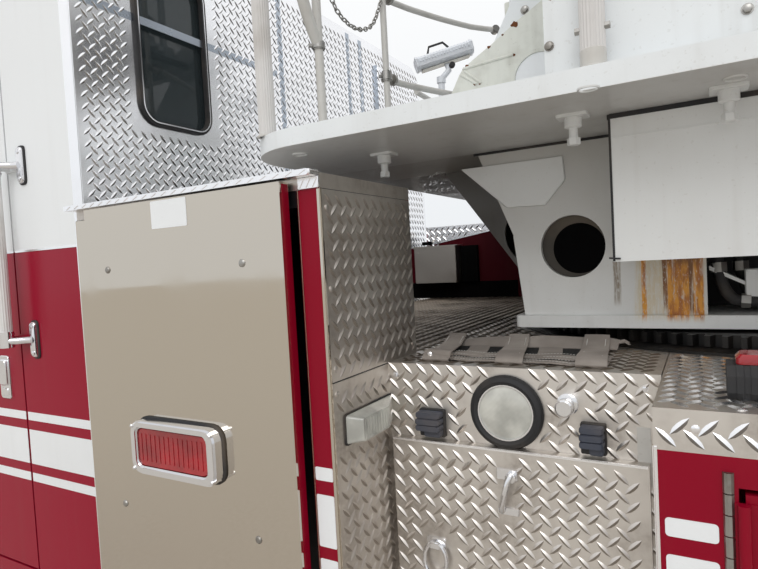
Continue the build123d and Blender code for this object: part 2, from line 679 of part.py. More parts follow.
def cab_solid(inset):
    """Outer form of the cab, drawn in by an inset."""
    half = CAB_WIDTH / 2 - inset
    front = CAB_FRONT + inset
    rear = CAB_REAR - inset
    plan = block(front, rear, -half, half, CAB_BOTTOM, HIGH_ROOF)
    plan = fillet(plan.edges().filter_by(Axis.Z).group_by(Axis.X)[-1], CAB_CORNER - inset)
    top = HIGH_ROOF - inset
    crown = block(front, rear, -half, half, CAB_BOTTOM, top)
    crown = fillet(crown.edges().filter_by(Axis.X).group_by(Axis.Z)[-1], CAB_EDGE - inset)
    rake = (BROW_STATION - CAB_FRONT) / (BROW_HEIGHT - SILL_HEIGHT)
    slope = (HIGH_ROOF - LOW_ROOF) / STEP_RUN
    brow = BROW_STATION + rake * (LOW_ROOF - BROW_HEIGHT)
    low = LOW_ROOF - inset
    outline = [
        (front, CAB_BOTTOM), (front, SILL_HEIGHT), (brow + inset - rake * inset, low),
        (STEP_STATION + slope * inset / 3, low), (STEP_STATION + STEP_RUN + slope * inset / 3, top),
        (rear, top), (rear, CAB_BOTTOM),
    ]
    return plan & crown & side_plate(outline, -half, half)


def window_block(s0, s1, z0, z1, y0, y1):
    """Cutter with rounded corners for a side window."""
    cutter = block(s0, s1, y0, y1, z0, z1)
    return fillet(cutter.edges().filter_by(Axis.Y), WINDOW_CORNER)


OUTER = cab_solid(0.0)
SHELL = OUTER - cab_solid(CAB_WALL) - block(
    CAB_FRONT + CAB_WALL, CAB_REAR - CAB_WALL, -CAB_WIDTH / 2 + CAB_WALL, CAB_WIDTH / 2 - CAB_WALL,
    CAB_BOTTOM - 1, SILL_HEIGHT,
)
GLASS_LAYER = cab_solid(GLASS_INSET) - cab_solid(GLASS_INSET + GLASS_WALL)
DOORS = {"front": FRONT_DOOR, "crew": CREW_DOOR}


def cab_openings():
    """Everything that is cut from the cab's shell."""
    half = CAB_WIDTH / 2
    cuts = []
    for s0, s1 in DOORS.values():
        cuts.append(block(s0, s1, half - 2 * CAB_WALL, half + 10, DOOR_BOTTOM, DOOR_TOP))
    cuts.append(window_block(*SIDE_WINDOW, WINDOW_SILL, WINDOW_TOP, half - 2 * CAB_WALL, half + 10))
    arch = rod_y(FRONT_AXLE, TYRE_RADIUS, ARCH_RADIUS, half - 2 * CAB_WALL, half + 10)
    cuts.append(arch)
    cuts.append(block(FRONT_AXLE - ARCH_RADIUS, FRONT_AXLE + ARCH_RADIUS, half - 2 * CAB_WALL, half + 10,
                      CAB_BOTTOM - 10, TYRE_RADIUS + 40))
    shield = block(CAB_FRONT - 10, FRONT_JOINT, SHIELD_POST / 2, SHIELD_HALF, SHIELD_SILL, SHIELD_TOP)
    cuts.append(shield)
    rear = block(CAB_REAR - 2 * CAB_WALL, CAB_REAR + 10, *REAR_WINDOW, REAR_WINDOW_SILL, REAR_WINDOW_TOP)
    cuts.append(fillet(rear.edges().filter_by(Axis.X), WINDOW_CORNER))
    cuts += [mirrored(cut) for cut in list(cuts)]
    cuts.append(block(CAB_FRONT - 10, CAB_FRONT + 2 * CAB_WALL, -GRILLE_HALF, GRILLE_HALF,
                      GRILLE_BOTTOM, GRILLE_TOP))
    notch = RAIL_HALF + RAIL_NOTCH
    for s in (CAB_FRONT, CAB_REAR):
        cuts.append(block(s - 2 * CAB_WALL, s + 2 * CAB_WALL, -notch, notch, CAB_BOTTOM - 10,
                          RAIL_BOTTOM + RAIL_HEIGHT + RAIL_NOTCH))
    return cuts


def cab_parts():
    """Front mask, roof, sides, rear wall and glass of the cab."""
    half = CAB_WIDTH / 2
    cuts = cab_openings()
    shell = SHELL
    for cut in cuts:
        shell -= cut
    regions = {
        "cab_roof": block(CAB_FRONT - 5, CAB_REAR - CAB_WALL, -half - 5, half + 5, ROOF_JOINT, HIGH_ROOF + 5),
        "cab_front": block(CAB_FRONT - 5, FRONT_JOINT, -half - 5, half + 5, CAB_BOTTOM - 5, ROOF_JOINT),
        "cab_sides": block(FRONT_JOINT, CAB_REAR - CAB_WALL, -half - 5, half + 5, CAB_BOTTOM - 5, ROOF_JOINT),
        "cab_rear_wall": block(CAB_REAR - CAB_WALL, CAB_REAR + 5, -half - 5, half + 5, CAB_BOTTOM - 5,
                               HIGH_ROOF + 5),
    }
    for name, region in regions.items():
        piece = shell & region
        if name == "cab_sides":
            for s0, s1 in DOORS.values():
                fixed, moving = hinge_z(s0 + HINGE_EDGE, half, DOOR_BOTTOM + 40, DOOR_TOP - 40)
                piece += fixed
                piece += mirrored(fixed)
            trims = [grab_bar(s) for s in GRAB_STATIONS]
            trims.append(arch_lip(FRONT_AXLE, ARCH_RADIUS, half, ARCH_REACH, CAB_BOTTOM))
            for trim in trims:
                piece += trim
                piece += mirrored(trim)
        save(name, [piece])

    panes = []
    shield = block(CAB_FRONT - 10, FRONT_JOINT, SHIELD_POST / 2, SHIELD_HALF, SHIELD_SILL, SHIELD_TOP)
    side = window_block(*SIDE_WINDOW, WINDOW_SILL, WINDOW_TOP, half - 2 * CAB_WALL, half + 10)
    rear = block(CAB_REAR - 2 * CAB_WALL, CAB_REAR + 10, *REAR_WINDOW, REAR_WINDOW_SILL, REAR_WINDOW_TOP)
    rear = fillet(rear.edges().filter_by(Axis.X), WINDOW_CORNER)
    for opening in (shield, side, rear):
        pane = GLASS_LAYER & opening
        panes += [pane, mirrored(pane)]
    save("cab_glass", panes)

    for place, (s0, s1) in DOORS.items():
        gap = DOOR_RANGE_GAP
        leaf = block(s0 + gap, s1 - gap, half - CAB_WALL - 5, half + 5, DOOR_BOTTOM + gap, DOOR_TOP - gap)
        door = (OUTER - block(CAB_FRONT - 5, CAB_REAR + 5, -half, half - CAB_WALL, 0, HIGH_ROOF + 5)) & leaf
        door -= rod_y(FRONT_AXLE, TYRE_RADIUS, ARCH_RADIUS + gap, 0, half + 10)
        window = window_block(s0 + WINDOW_MARGIN, s1 - WINDOW_MARGIN, WINDOW_SILL, WINDOW_TOP,
                              half - 2 * CAB_WALL, half + 10)
        door -= window
        fixed, moving = hinge_z(s0 + HINGE_EDGE, half, DOOR_BOTTOM + 40, DOOR_TOP - 40)
        door += moving
        pane = block(s0 + WINDOW_MARGIN, s1 - WINDOW_MARGIN, half - GLASS_INSET - GLASS_WALL,
                     half - GLASS_INSET, WINDOW_SILL, WINDOW_TOP)
        pane = fillet(pane.edges().filter_by(Axis.Y), WINDOW_CORNER)
        save(f"{place}_door_left", [door])
        save(f"{place}_door_right", [mirrored(door)])
        save(f"{place}_glass_left", [pane])
        save(f"{place}_glass_right", [mirrored(pane)])


def grab_bar(s):
    """Upright hand bar beside a door, on two brackets."""
    face = CAB_WIDTH / 2
    bar = rod_z(s, face + GRAB_REACH, GRAB_RADIUS, GRAB_BOTTOM, GRAB_TOP)
    for z in (GRAB_BOTTOM + GRAB_RADIUS, GRAB_TOP - GRAB_RADIUS):
        bar += rod_y(s, z, GRAB_RADIUS - 3, face - 1, face + GRAB_REACH)
        bar += block(s - GRAB_RADIUS, s + 5 * GRAB_RADIUS, face - 1, face + 8, z - GRAB_RADIUS, z + GRAB_RADIUS)
    return bar


def arch_lip(axle, radius, face, reach, bottom):
    """Raised lip round a wheel arch, down to the panel's lower edge."""
    lip = rod_y(axle, TYRE_RADIUS, radius + ARCH_LIP, face - 1, face + reach)
    lip -= rod_y(axle, TYRE_RADIUS, radius, 0, face + reach + 1)
    return lip - block(axle - 2 * radius, axle + 2 * radius, 0, face + reach + 1, -radius, bottom)


def cab_floor_pieces():
    """Floor plate with the engine tunnel, the wheel wells and the entry steps."""
    inner = CAB_WIDTH / 2 - CAB_WALL
    s0 = CAB_FRONT + CAB_WALL
    s1 = CAB_REAR - CAB_WALL
    arch0 = FRONT_AXLE - ARCH_RADIUS
    arch1 = FRONT_AXLE + ARCH_RADIUS
    top = FLOOR_HEIGHT + FLOOR_PLATE
    floor = block(CAB_FRONT + CAB_CORNER, s1, -inner, inner, FLOOR_HEIGHT, top)
    nose = CAB_WIDTH / 2 - CAB_CORNER
    floor += block(s0, CAB_FRONT + CAB_CORNER + 1, -nose, nose, FLOOR_HEIGHT, top)
    tunnel = block(TUNNEL_FRONT, TUNNEL_REAR, -TUNNEL_HALF, TUNNEL_HALF, FLOOR_HEIGHT, TUNNEL_TOP)
    well = block(arch0, arch1, WELL_INNER, inner, FLOOR_HEIGHT, WELL_TOP)
    floor += tunnel + well + mirrored(well)
    floor -= block(TUNNEL_FRONT + TUNNEL_WALL, TUNNEL_REAR - TUNNEL_WALL, -TUNNEL_HALF + TUNNEL_WALL,
                   TUNNEL_HALF - TUNNEL_WALL, FLOOR_HEIGHT - 1, TUNNEL_TOP - TUNNEL_WALL)
    hole = block(arch0 + TUNNEL_WALL, arch1 - TUNNEL_WALL, WELL_INNER + TUNNEL_WALL, inner + 1,
                 FLOOR_HEIGHT - 1, WELL_TOP - TUNNEL_WALL)
    floor -= hole
    floor -= mirrored(hole)
    for s in (TUNNEL_FRONT, TUNNEL_REAR):
        ahead = s - PANEL_SEAM if s == TUNNEL_FRONT else s
        floor -= block(ahead, ahead + PANEL_SEAM, -inner - 1, inner + 1, FLOOR_HEIGHT - 1, TUNNEL_TOP + 1)
    pieces = list(floor.solids())
    outer = inner - DOOR_RANGE_GAP
    for s0, s1 in DOORS.values():
        a = s0 + 30
        b = s1 - 60
        steps = block(a, b, outer - STEP_DEPTH, outer, DOOR_BOTTOM - 50, DOOR_BOTTOM - 20)
        steps += block(a, b, outer - STEP_DEPTH, outer - 60, DOOR_BOTTOM + 150, DOOR_BOTTOM + 180)
        for end in (a, b - TUNNEL_WALL):
            steps += block(end, end + TUNNEL_WALL, outer - STEP_DEPTH, outer, DOOR_BOTTOM - 50, FLOOR_HEIGHT)
        pieces += [steps, mirrored(steps)]
    return pieces


def dash_pieces():
    """Dashboard with the steering column and wheel."""
    s0 = CAB_FRONT + CAB_WALL + SEAT
    outline = [(s0, DASH_BOTTOM), (s0 + DASH_DEPTH, DASH_BOTTOM), (s0 + DASH_DEPTH, DASH_TOP - 120),
               (s0 + DASH_DEPTH / 2, DASH_TOP), (s0, DASH_TOP - 25)]
    dash = side_plate(outline, -DASH_HALF, DASH_HALF)
    tilt = radians(COLUMN_TILT)
    way = Vector(-cos(tilt), 0, sin(tilt))
    hub = Plane(origin=(X(STEER_STATION), STEER_Y, STEER_HEIGHT), z_dir=way)
    dash += extrude(hub * Circle(28), amount=-COLUMN_REACH)
    dash += hub.location * Torus(WHEEL_RADIUS, WHEEL_RIM)
    dash += hub.location * Box(2 * WHEEL_RADIUS - WHEEL_RIM, 36, 14)
    return [dash]


def grille_pieces():
    """Frame and level bars that fill the opening in the cab's nose."""
    s0 = CAB_FRONT - 20
    s1 = CAB_FRONT + CAB_WALL
    frame = block(s0, s1, -GRILLE_HALF, GRILLE_HALF, GRILLE_BOTTOM, GRILLE_TOP)
    frame -= block(s0 - 1, s1 + 1, -GRILLE_HALF + GRILLE_FRAME, GRILLE_HALF - GRILLE_FRAME,
                   GRILLE_BOTTOM + GRILLE_FRAME, GRILLE_TOP - GRILLE_FRAME)
    span = GRILLE_TOP - GRILLE_BOTTOM - 2 * GRILLE_FRAME
    pitch = span / GRILLE_BARS
    for i in range(GRILLE_BARS):
        z = GRILLE_BOTTOM + GRILLE_FRAME + pitch * (i + 0.5)
        frame += block(s0 + 8, s1, -GRILLE_HALF + GRILLE_FRAME - 1, GRILLE_HALF - GRILLE_FRAME + 1,
                       z - GRILLE_BAR / 2, z + GRILLE_BAR / 2)
    return [frame]


def bumper_pieces():
    """Wrapped bumper channel with its top gravel plate."""
    shape = block(0, CAB_FRONT - 30, -BUMPER_HALF, BUMPER_HALF, BUMPER_BOTTOM, BUMPER_TOP)
    shape = fillet(shape.edges().filter_by(Axis.Z).group_by(Axis.X)[-1], BUMPER_CORNER)
    inner = block(RAIL_FRONT, CAB_FRONT, -BUMPER_HALF + RAIL_FRONT, BUMPER_HALF - RAIL_FRONT,
                  BUMPER_BOTTOM - 1, BUMPER_TOP - BUMPER_WALL)
    inner = fillet(inner.edges().filter_by(Axis.Z).group_by(Axis.X)[-1], BUMPER_CORNER - RAIL_FRONT)
    shape -= inner
    well = block(RAIL_FRONT - 1, CAB_FRONT, -RAIL_HALF - 8, RAIL_HALF + 8, RAIL_BOTTOM - 8, BUMPER_TOP + 1)
    return [shape - well]


def lamp_pieces():
    """Pairs of headlamp housings on the nose, and tail lamps at the rear."""
    pieces = []
    for z0, z1 in ((LAMP_BOTTOM, LAMP_TOP), (LAMP_TOP + 20, LAMP_TOP + 200)):
        lamp = block(CAB_FRONT - LAMP_DEPTH, CAB_FRONT, LAMP_INNER, LAMP_OUTER, z0, z1)
        lamp = fillet(lamp.edges().filter_by(Axis.X), 24)
        pieces += [lamp, mirrored(lamp)]
    for z in (860.0, 1010.0, 1160.0):
        lamp = block(BODY_REAR, BODY_REAR + LAMP_DEPTH, 900, 1120, z, z + 120)
        lamp = fillet(lamp.edges().filter_by(Axis.X), 20)
        pieces += [lamp, mirrored(lamp)]
    return pieces


def light_bar_pieces():
    """Roof light bar with tapered ends on two feet."""
    z0 = LOW_ROOF + 20
    z1 = LOW_ROOF + BAR_HEIGHT
    points = [(-BAR_HALF, z0), (BAR_HALF, z0), (BAR_HALF, z0 + 50), (BAR_HALF - 120, z1),
              (-BAR_HALF + 120, z1), (-BAR_HALF, z0 + 50)]
    bar = cross_plate(points, BAR_FRONT, BAR_FRONT + BAR_LENGTH)
    foot = block(BAR_FRONT + 60, BAR_FRONT + BAR_LENGTH - 60, 500, 600, LOW_ROOF, z0)
    return [bar + foot + mirrored(foot)]


def mirror_pieces():
    """Mirror heads on two arms at the cab's front corners."""
    root = CAB_WIDTH / 2
    s = CAB_FRONT + 150
    out = root + MIRROR_REACH
    head = block(s - MIRROR_DEPTH / 2, s + MIRROR_DEPTH / 2, out - MIRROR_WIDTH, out, 1780, 1780 + MIRROR_HEIGHT)
    head = fillet(head.edges().filter_by(Axis.X), 30)
    arm = None
    for z in (1850.0, 2130.0):
        bar = rod_y(s, z, ARM_RADIUS, root - CAB_WALL / 2, out - MIRROR_WIDTH + 20)
        bar -= OUTER
        head += bar
    return [head, mirrored(head)]


def seat_pieces():
    """Front seats on the wheel wells and crew seats against the rear wall."""
    pieces = []
    for s, y, z in SEAT_PLACES:
        outline = [(s, z), (s + SEAT_DEPTH, z), (s + SEAT_DEPTH + 20, z + SEAT_BACK),
                   (s + SEAT_DEPTH - 90, z + SEAT_BACK), (s + SEAT_DEPTH - 120, z + SEAT_CUSHION),
                   (s, z + SEAT_CUSHION)]
        seat = side_plate(outline, y, y + SEAT_WIDTH)
        base = FLOOR_HEIGHT + FLOOR_PLATE
        if z > base + 1 and s > TUNNEL_REAR:
            seat += block(s + 60, s + SEAT_DEPTH - 20, y + 40, y + SEAT_WIDTH - 40, base, z)
        pieces += [seat, mirrored(seat)]
    return pieces


def body_half():
    """Left half of the hollow body, with its locker openings and wheel arch."""
    outer = BODY_WIDTH / 2
    wall = BODY_WALL
    body = block(BODY_FRONT, BODY_REAR, BODY_INNER, outer, BODY_BOTTOM, BODY_TOP)
    body += block(UPPER_FRONT, BODY_REAR, BODY_INNER, outer, BODY_TOP - 1, UPPER_TOP)
    liner = rod_y(REAR_AXLE, TYRE_RADIUS, BODY_ARCH + wall, 0, outer)
    jack = block(REAR_JACK - 170, REAR_JACK + 170, BODY_INNER - 1, outer - wall, BODY_BOTTOM - 1, BODY_TOP)
    low = block(BODY_FRONT + wall, BODY_REAR - wall, BODY_INNER + wall, outer - wall,
                BODY_BOTTOM + wall, BODY_TOP - wall)
    low -= liner
    low -= block(REAR_JACK - 170 - wall, REAR_JACK + 170 + wall, 0, outer, 0, UPPER_TOP)
    high = block(UPPER_FRONT + wall, BODY_REAR - wall, BODY_INNER + wall, outer - wall,
                 DECK_TOP, UPPER_TOP - wall)
    body -= low
    body -= high
    body -= jack
    body -= rod_y(REAR_AXLE, TYRE_RADIUS, BODY_ARCH, 0, outer + 1)
    for name, s0, s1, top in LOCKERS:
        body -= block(s0, s1, outer - wall - 1, outer + 1, LOCKER_SILL, top)
    for s0, s1, z0, z1 in SHUTTERS:
        body -= block(s0, s1, outer - wall - 1, outer + 1, z0, z1)
    return body


def locker_hinge(name):
    """Hinge halves of a lower locker: upright in front of the first, level above the second."""
    outer = BODY_WIDTH / 2
    for place, s0, s1, top in LOCKERS:
        if place == name == "front":
            return hinge_z(s0 + HINGE_EDGE, outer, LOCKER_SILL + 20, top - 20)
        if place == name:
            return hinge_x(top - HINGE_EDGE, outer, s0 + 20, s1 - 20)


def body_pieces():
    """Both halves, the shutters of the upper lockers and the rear wall."""
    outer = BODY_WIDTH / 2
    half = body_half()
    for name, s0, s1, top in LOCKERS:
        half += locker_hinge(name)[0]
    half += arch_lip(REAR_AXLE, BODY_ARCH, outer, BODY_LIP, BODY_BOTTOM)
    ends = REAR_AXLE - BODY_ARCH - ARCH_LIP, REAR_AXLE + BODY_ARCH + ARCH_LIP
    for s0, s1 in ((BODY_FRONT + RUB_REACH, ends[0] - RUB_REACH), (ends[1] + RUB_REACH, BODY_REAR - RUB_REACH)):
        half += block(s0, s1, outer - 1, outer + RUB_REACH, BODY_BOTTOM + 4, BODY_BOTTOM + 4 + RUB_RAIL)
    sill = RAIL_BOTTOM + RAIL_HEIGHT + 20
    top = 1600.0
    rear = block(BODY_REAR - BODY_WALL, BODY_REAR, -BODY_INNER, BODY_INNER, sill, top)
    for y in (REAR_GRAB_Y, -REAR_GRAB_Y):
        rear += rod_z(BODY_REAR + GRAB_REACH, y, GRAB_RADIUS, sill + 60, top - 60)
        for z in (sill + 80, top - 80):
            rear += rod_x(BODY_REAR - 1, BODY_REAR + GRAB_REACH, y, z, GRAB_RADIUS - 3)
    return [half, mirrored(half), rear]


def locker_doors():
    """Pan doors of the lower lockers, one leaf a side and place."""
    outer = BODY_WIDTH / 2
    gap = DOOR_RANGE_GAP
    for name, s0, s1, top in LOCKERS:
        door = block(s0 + gap, s1 - gap, outer - LOCKER_PAN, outer, LOCKER_SILL + gap, top - gap)
        door -= block(s0 + gap + 30, s1 - gap - 30, outer - LOCKER_PAN - 1, outer - 6,
                      LOCKER_SILL + gap + 30, top - gap - 30)
        door += locker_hinge(name)[1]
        save(f"locker_{name}_left", [door])
        save(f"locker_{name}_right", [mirrored(door)])


def shutter(s0, s1, z0, z1):
    """Roll-up shutter of level slats with a lift bar at its foot."""
    inner = BODY_WIDTH / 2 - BODY_WALL
    face = inner + SHUTTER_WALL
    count = round((z1 - z0) / SLAT_PITCH)
    pitch = (z1 - z0) / count
    outline = [(inner, z0), (face - SLAT_GROOVE, z0)]
    for i in range(count):
        z = z0 + pitch * i
        outline += [(face, z + SLAT_GROOVE), (face, z + pitch - 2 * SLAT_GROOVE), (face - SLAT_GROOVE, z + pitch - SLAT_GROOVE)]
    outline += [(face - SLAT_GROOVE, z1), (inner, z1)]
    slats = cross_plate(outline, s0, s1)
    middle = (s0 + s1) / 2
    return slats + block(middle - 4 * SLAT_PITCH, middle + 4 * SLAT_PITCH, face - SLAT_GROOVE, face + 3 * SLAT_GROOVE,
                         z0 + pitch, z0 + 1.6 * pitch)


def deck_pieces():
    """Chequer plate decks, recess walls, caps and shutters."""
    outer = BODY_WIDTH / 2
    ahead = block(DECK_FRONT, BODY_FRONT - PANEL_SEAM, -RECESS_WALL, RECESS_WALL, BODY_TOP, DECK_TOP)
    deck = block(BODY_FRONT, UPPER_FRONT, -outer, outer, BODY_TOP, DECK_TOP)
    hole = rod_z(TURN_STATION, 0, RING_HOLE, BODY_TOP - 1, DECK_TOP + 1)
    ahead -= hole
    deck -= hole
    bed = block(UPPER_FRONT, BODY_REAR - BODY_WALL, -BODY_INNER, BODY_INNER, BODY_TOP, DECK_TOP)
    pieces = [ahead, deck, bed]
    wall = block(DECK_FRONT, BODY_FRONT, RECESS_WALL - BODY_WALL, RECESS_WALL, BODY_BOTTOM, BODY_TOP)
    wall -= block(*RECESS_DOOR, RECESS_WALL - BODY_WALL - 1, RECESS_WALL + 1, RECESS_DOOR_SILL, RECESS_DOOR_TOP)
    low = RECESS_DOOR_SILL - RECESS_LAP - HINGE_RADIUS - SEAT
    wall += rod_x(*RECESS_DOOR, RECESS_WALL + HINGE_RADIUS, low, HINGE_RADIUS)
    wall += block(*RECESS_DOOR, RECESS_WALL, RECESS_WALL + HINGE_LEAF, low - HINGE_SPAN, low)
    cap = block(COLUMN_FRONT, DECK_FRONT, COLUMN_INNER, COLUMN_FACE, COLUMN_TOP, COLUMN_TOP + COLUMN_CAP)
    pieces += [wall, mirrored(wall), cap, mirrored(cap)]
    for place in SHUTTERS:
        slats = shutter(*place)
        pieces += [slats, mirrored(slats)]
    arm = block(CRADLE_FRONT, CRADLE_FRONT + CRADLE_LENGTH, CRADLE_ARM - CRADLE_BEAM, CRADLE_ARM, UPPER_TOP,
                LADDER_BOTTOM - 2 * CRADLE_BEAM)
    beam = block(CRADLE_FRONT, CRADLE_FRONT + CRADLE_LENGTH, -CRADLE_ARM, CRADLE_ARM,
                 LADDER_BOTTOM - 2 * CRADLE_BEAM - 1, LADDER_BOTTOM - CRADLE_BEAM)
    pad = block(CRADLE_FRONT + 10, CRADLE_FRONT + CRADLE_LENGTH - 10, LADDER_HALF - CRADLE_BEAM, LADDER_HALF,
                LADDER_BOTTOM - CRADLE_BEAM - 1, LADDER_BOTTOM - MOVE_GAP - 1)
    pieces.append(beam + arm + mirrored(arm) + pad + mirrored(pad))
    pieces.append(block(BODY_REAR, STEP_REAR, -outer + 40, outer - 40, BODY_BOTTOM, BODY_BOTTOM + TAILBOARD))
    return pieces


def recess_door():
    """Flat drop door over the opening in the recess wall."""
    s0, s1 = RECESS_DOOR
    return block(s0 - 20, s1 + 20, RECESS_WALL + 0.5, RECESS_WALL + 0.5 + RECESS_DOOR_WALL,
                 RECESS_DOOR_SILL - RECESS_LAP, RECESS_DOOR_TOP + RECESS_LAP)


def column():
    """Hollow stabilizer housing, open to the outside and below."""
    solid = block(COLUMN_FRONT, DECK_FRONT, COLUMN_INNER, COLUMN_FACE, COLUMN_BOTTOM, COLUMN_TOP)
    solid -= block(COLUMN_FRONT + COLUMN_WALL, DECK_FRONT - COLUMN_WALL, COLUMN_INNER + COLUMN_WALL,
                   COLUMN_FACE + 1, COLUMN_BOTTOM - 1, COLUMN_TOP - COLUMN_WALL)
    return solid


def stabilizer(side):
    """Sliding beam with its jack tube, and its cover and leg."""
    s = BEAM_STATIONS[side]
    z = SLEEVE_BOTTOM + SLEEVE_OUTER / 2
    y_end = JACK_Y - JACK_OUTER / 2
    beam = block(s - ARM_OUTER / 2, s + ARM_OUTER / 2, -ARM_TAIL, y_end + 2, z - ARM_OUTER / 2, z + ARM_OUTER / 2)
    beam -= block(s - ARM_INNER / 2, s + ARM_INNER / 2, -ARM_TAIL - 1, y_end - 8, z - ARM_INNER / 2,
                  z + ARM_INNER / 2)
    beam += jack_tube(s, JACK_Y, JACK_TOP)
    back = COLUMN_FACE + MOVE_GAP + 2
    for zb in (760.0, 1540.0):
        beam += block(s - 60, s + 60, JACK_Y + JACK_OUTER / 2 - 1, back + COVER_DEPTH - COVER_SKIN, zb, zb + 60)
    s0 = DECK_FRONT - COVER_INSET - COVER_LENGTH
    cover = block(s0, s0 + COVER_LENGTH, back, back + COVER_DEPTH, COVER_BOTTOM, COVER_TOP)
    cover -= block(s0 + COVER_SKIN, s0 + COVER_LENGTH - COVER_SKIN, back - 1,
                   back + COVER_DEPTH - COVER_SKIN, COVER_BOTTOM + COVER_SKIN, COVER_TOP - COVER_SKIN)
    leg = jack_leg(s, JACK_Y, LEG_TOP)
    pieces = (beam, cover, leg)
    if side == "right":
        pieces = tuple(mirrored(piece) for piece in pieces)
    save(f"stabilizer_beam_{side}", [pieces[0]])
    save(f"stabilizer_cover_{side}", [pieces[1]])
    save(f"jack_front_{side}", [pieces[2]])


def jack_leg(s, y, top):
    """Square leg with a foot plate."""
    half = LEG_SIDE / 2
    leg = block(s - half, s + half, y - half, y + half, FOOT_BOTTOM + FOOT_PLATE - 1, top)
    foot = block(s - FOOT_SIDE / 2, s + FOOT_SIDE / 2, y - FOOT_SIDE / 2, y + FOOT_SIDE / 2,
                 FOOT_BOTTOM, FOOT_BOTTOM + FOOT_PLATE)
    foot = fillet(foot.edges().filter_by(Axis.Z), 40)
    return leg + foot


def turntable_pieces():
    """Rotating base, deck plate, uprights, pins and cylinder lugs."""
    s = TURN_STATION
    plate_top = BASE_BOTTOM + BASE_PLATE
    deck_top = TABLE_BOTTOM + TABLE_PLATE
    base = block(s - BASE_HALF_X, s + BASE_HALF_X, -BASE_HALF_Y, BASE_HALF_Y, BASE_BOTTOM, plate_top)
    s0 = s - BASE_FRAME_X
    s1 = s + BASE_FRAME_X
    side = side_plate([(s0, plate_top), (s1, plate_top), (s1, TABLE_BOTTOM), (s0 - BASE_TAPER, TABLE_BOTTOM)],
                      BASE_FRAME_Y - BASE_WALL, BASE_FRAME_Y)
    side -= rod_y(BASE_HOLE_S, BASE_HOLE_Z, BASE_HOLE, 0, BASE_HALF_Y)
    side -= block(*SIDE_OPENING, 0, BASE_HALF_Y, plate_top, BOX_BOTTOM)
    web = side_plate([(s0 - WEB_REACH, TABLE_BOTTOM), (s0 + 1, TABLE_BOTTOM), (s0 + 1, plate_top),
                      (s - BASE_HALF_X + 5, plate_top)], WEB_INNER, WEB_INNER + WEB_WALL)
    web -= rod_y(s0 - 85, BASE_HOLE_Z + 50, WEB_HOLE, 0, BASE_HALF_Y) & block(0, s0 - 12, 0, BASE_HALF_Y, 0, 2000)
    front = block(s0, s0 + BASE_WALL, -BASE_FRAME_Y + BASE_WALL, BASE_FRAME_Y - BASE_WALL, plate_top, TABLE_BOTTOM)
    rear = block(s1 - BASE_WALL, s1, -BASE_FRAME_Y + BASE_WALL, BASE_FRAME_Y - BASE_WALL, plate_top, TABLE_BOTTOM)
    deck = block(s - TABLE_HALF_X, s + TABLE_HALF_X, -TABLE_HALF_Y, TABLE_HALF_Y, TABLE_BOTTOM, deck_top)
    deck = fillet(deck.edges().filter_by(Axis.Z), TABLE_CORNER)
    box = block(BOX_FRONT, BOX_REAR, BASE_FRAME_Y, BOX_OUTER, BOX_BOTTOM, TABLE_BOTTOM)
    whole = base + side + mirrored(side) + front + rear + deck + box + mirrored(box) + web + mirrored(web)
    face = TABLE_HALF_Y - CONSOLE_INSET / 3
    shelf = deck_top + CONSOLE_HEIGHT
    whole += cross_plate([(face - CONSOLE_DEPTH, deck_top), (face, deck_top), (face, shelf - CONSOLE_INSET),
                          (face - CONSOLE_DEPTH / 2, shelf), (face - CONSOLE_DEPTH, shelf)],
                         CONSOLE_FRONT, CONSOLE_REAR)

    upright = side_plate([
        (HEEL_STATION - 290, deck_top), (FOOT_PIN_S + 280, deck_top), (FOOT_PIN_S + 280, deck_top + 170),
        (HEEL_STATION + 220, HEEL_HEIGHT + 20), (HEEL_STATION + 90, HEEL_HEIGHT + 110),
        (HEEL_STATION - 90, HEEL_HEIGHT + 110), (HEEL_STATION - 130, HEEL_HEIGHT + 20),
        (HEEL_STATION - 115, deck_top + 800), (HEEL_STATION - 135, deck_top + 345),
        (HEEL_STATION - 190, deck_top + 245), (HEEL_STATION - 275, deck_top + 165),
    ], UPRIGHT_INNER, UPRIGHT_INNER + UPRIGHT_WALL)
    heel_in = SECTIONS[0][3] - 10
    pin = rod_y(HEEL_STATION, HEEL_HEIGHT, HEEL_PIN, heel_in, UPRIGHT_INNER + UPRIGHT_WALL + 40)
    brace = rod_y(HEEL_STATION + 60, deck_top + 300, 70, -UPRIGHT_INNER, UPRIGHT_INNER)
    whole += upright + mirrored(upright) + pin + mirrored(pin) + brace
    inner = LIFT_Y - LIFT_EYE_WIDTH / 2 - MOVE_GAP
    outer = LIFT_Y + LIFT_EYE_WIDTH / 2 + MOVE_GAP
    for y0, y1 in ((inner - LUG_WALL, inner), (outer, outer + LUG_WALL)):
        lug = side_plate([
            (FOOT_PIN_S - 130, deck_top), (FOOT_PIN_S + 130, deck_top), (FOOT_PIN_S + 70, FOOT_PIN_Z + 60),
            (FOOT_PIN_S - 70, FOOT_PIN_Z + 60),
        ], y0, y1)
        whole += lug + mirrored(lug)
    pin = rod_y(FOOT_PIN_S, FOOT_PIN_Z, LIFT_PIN, inner - LUG_WALL, outer + LUG_WALL)
    whole += pin + mirrored(pin)
    return [whole]


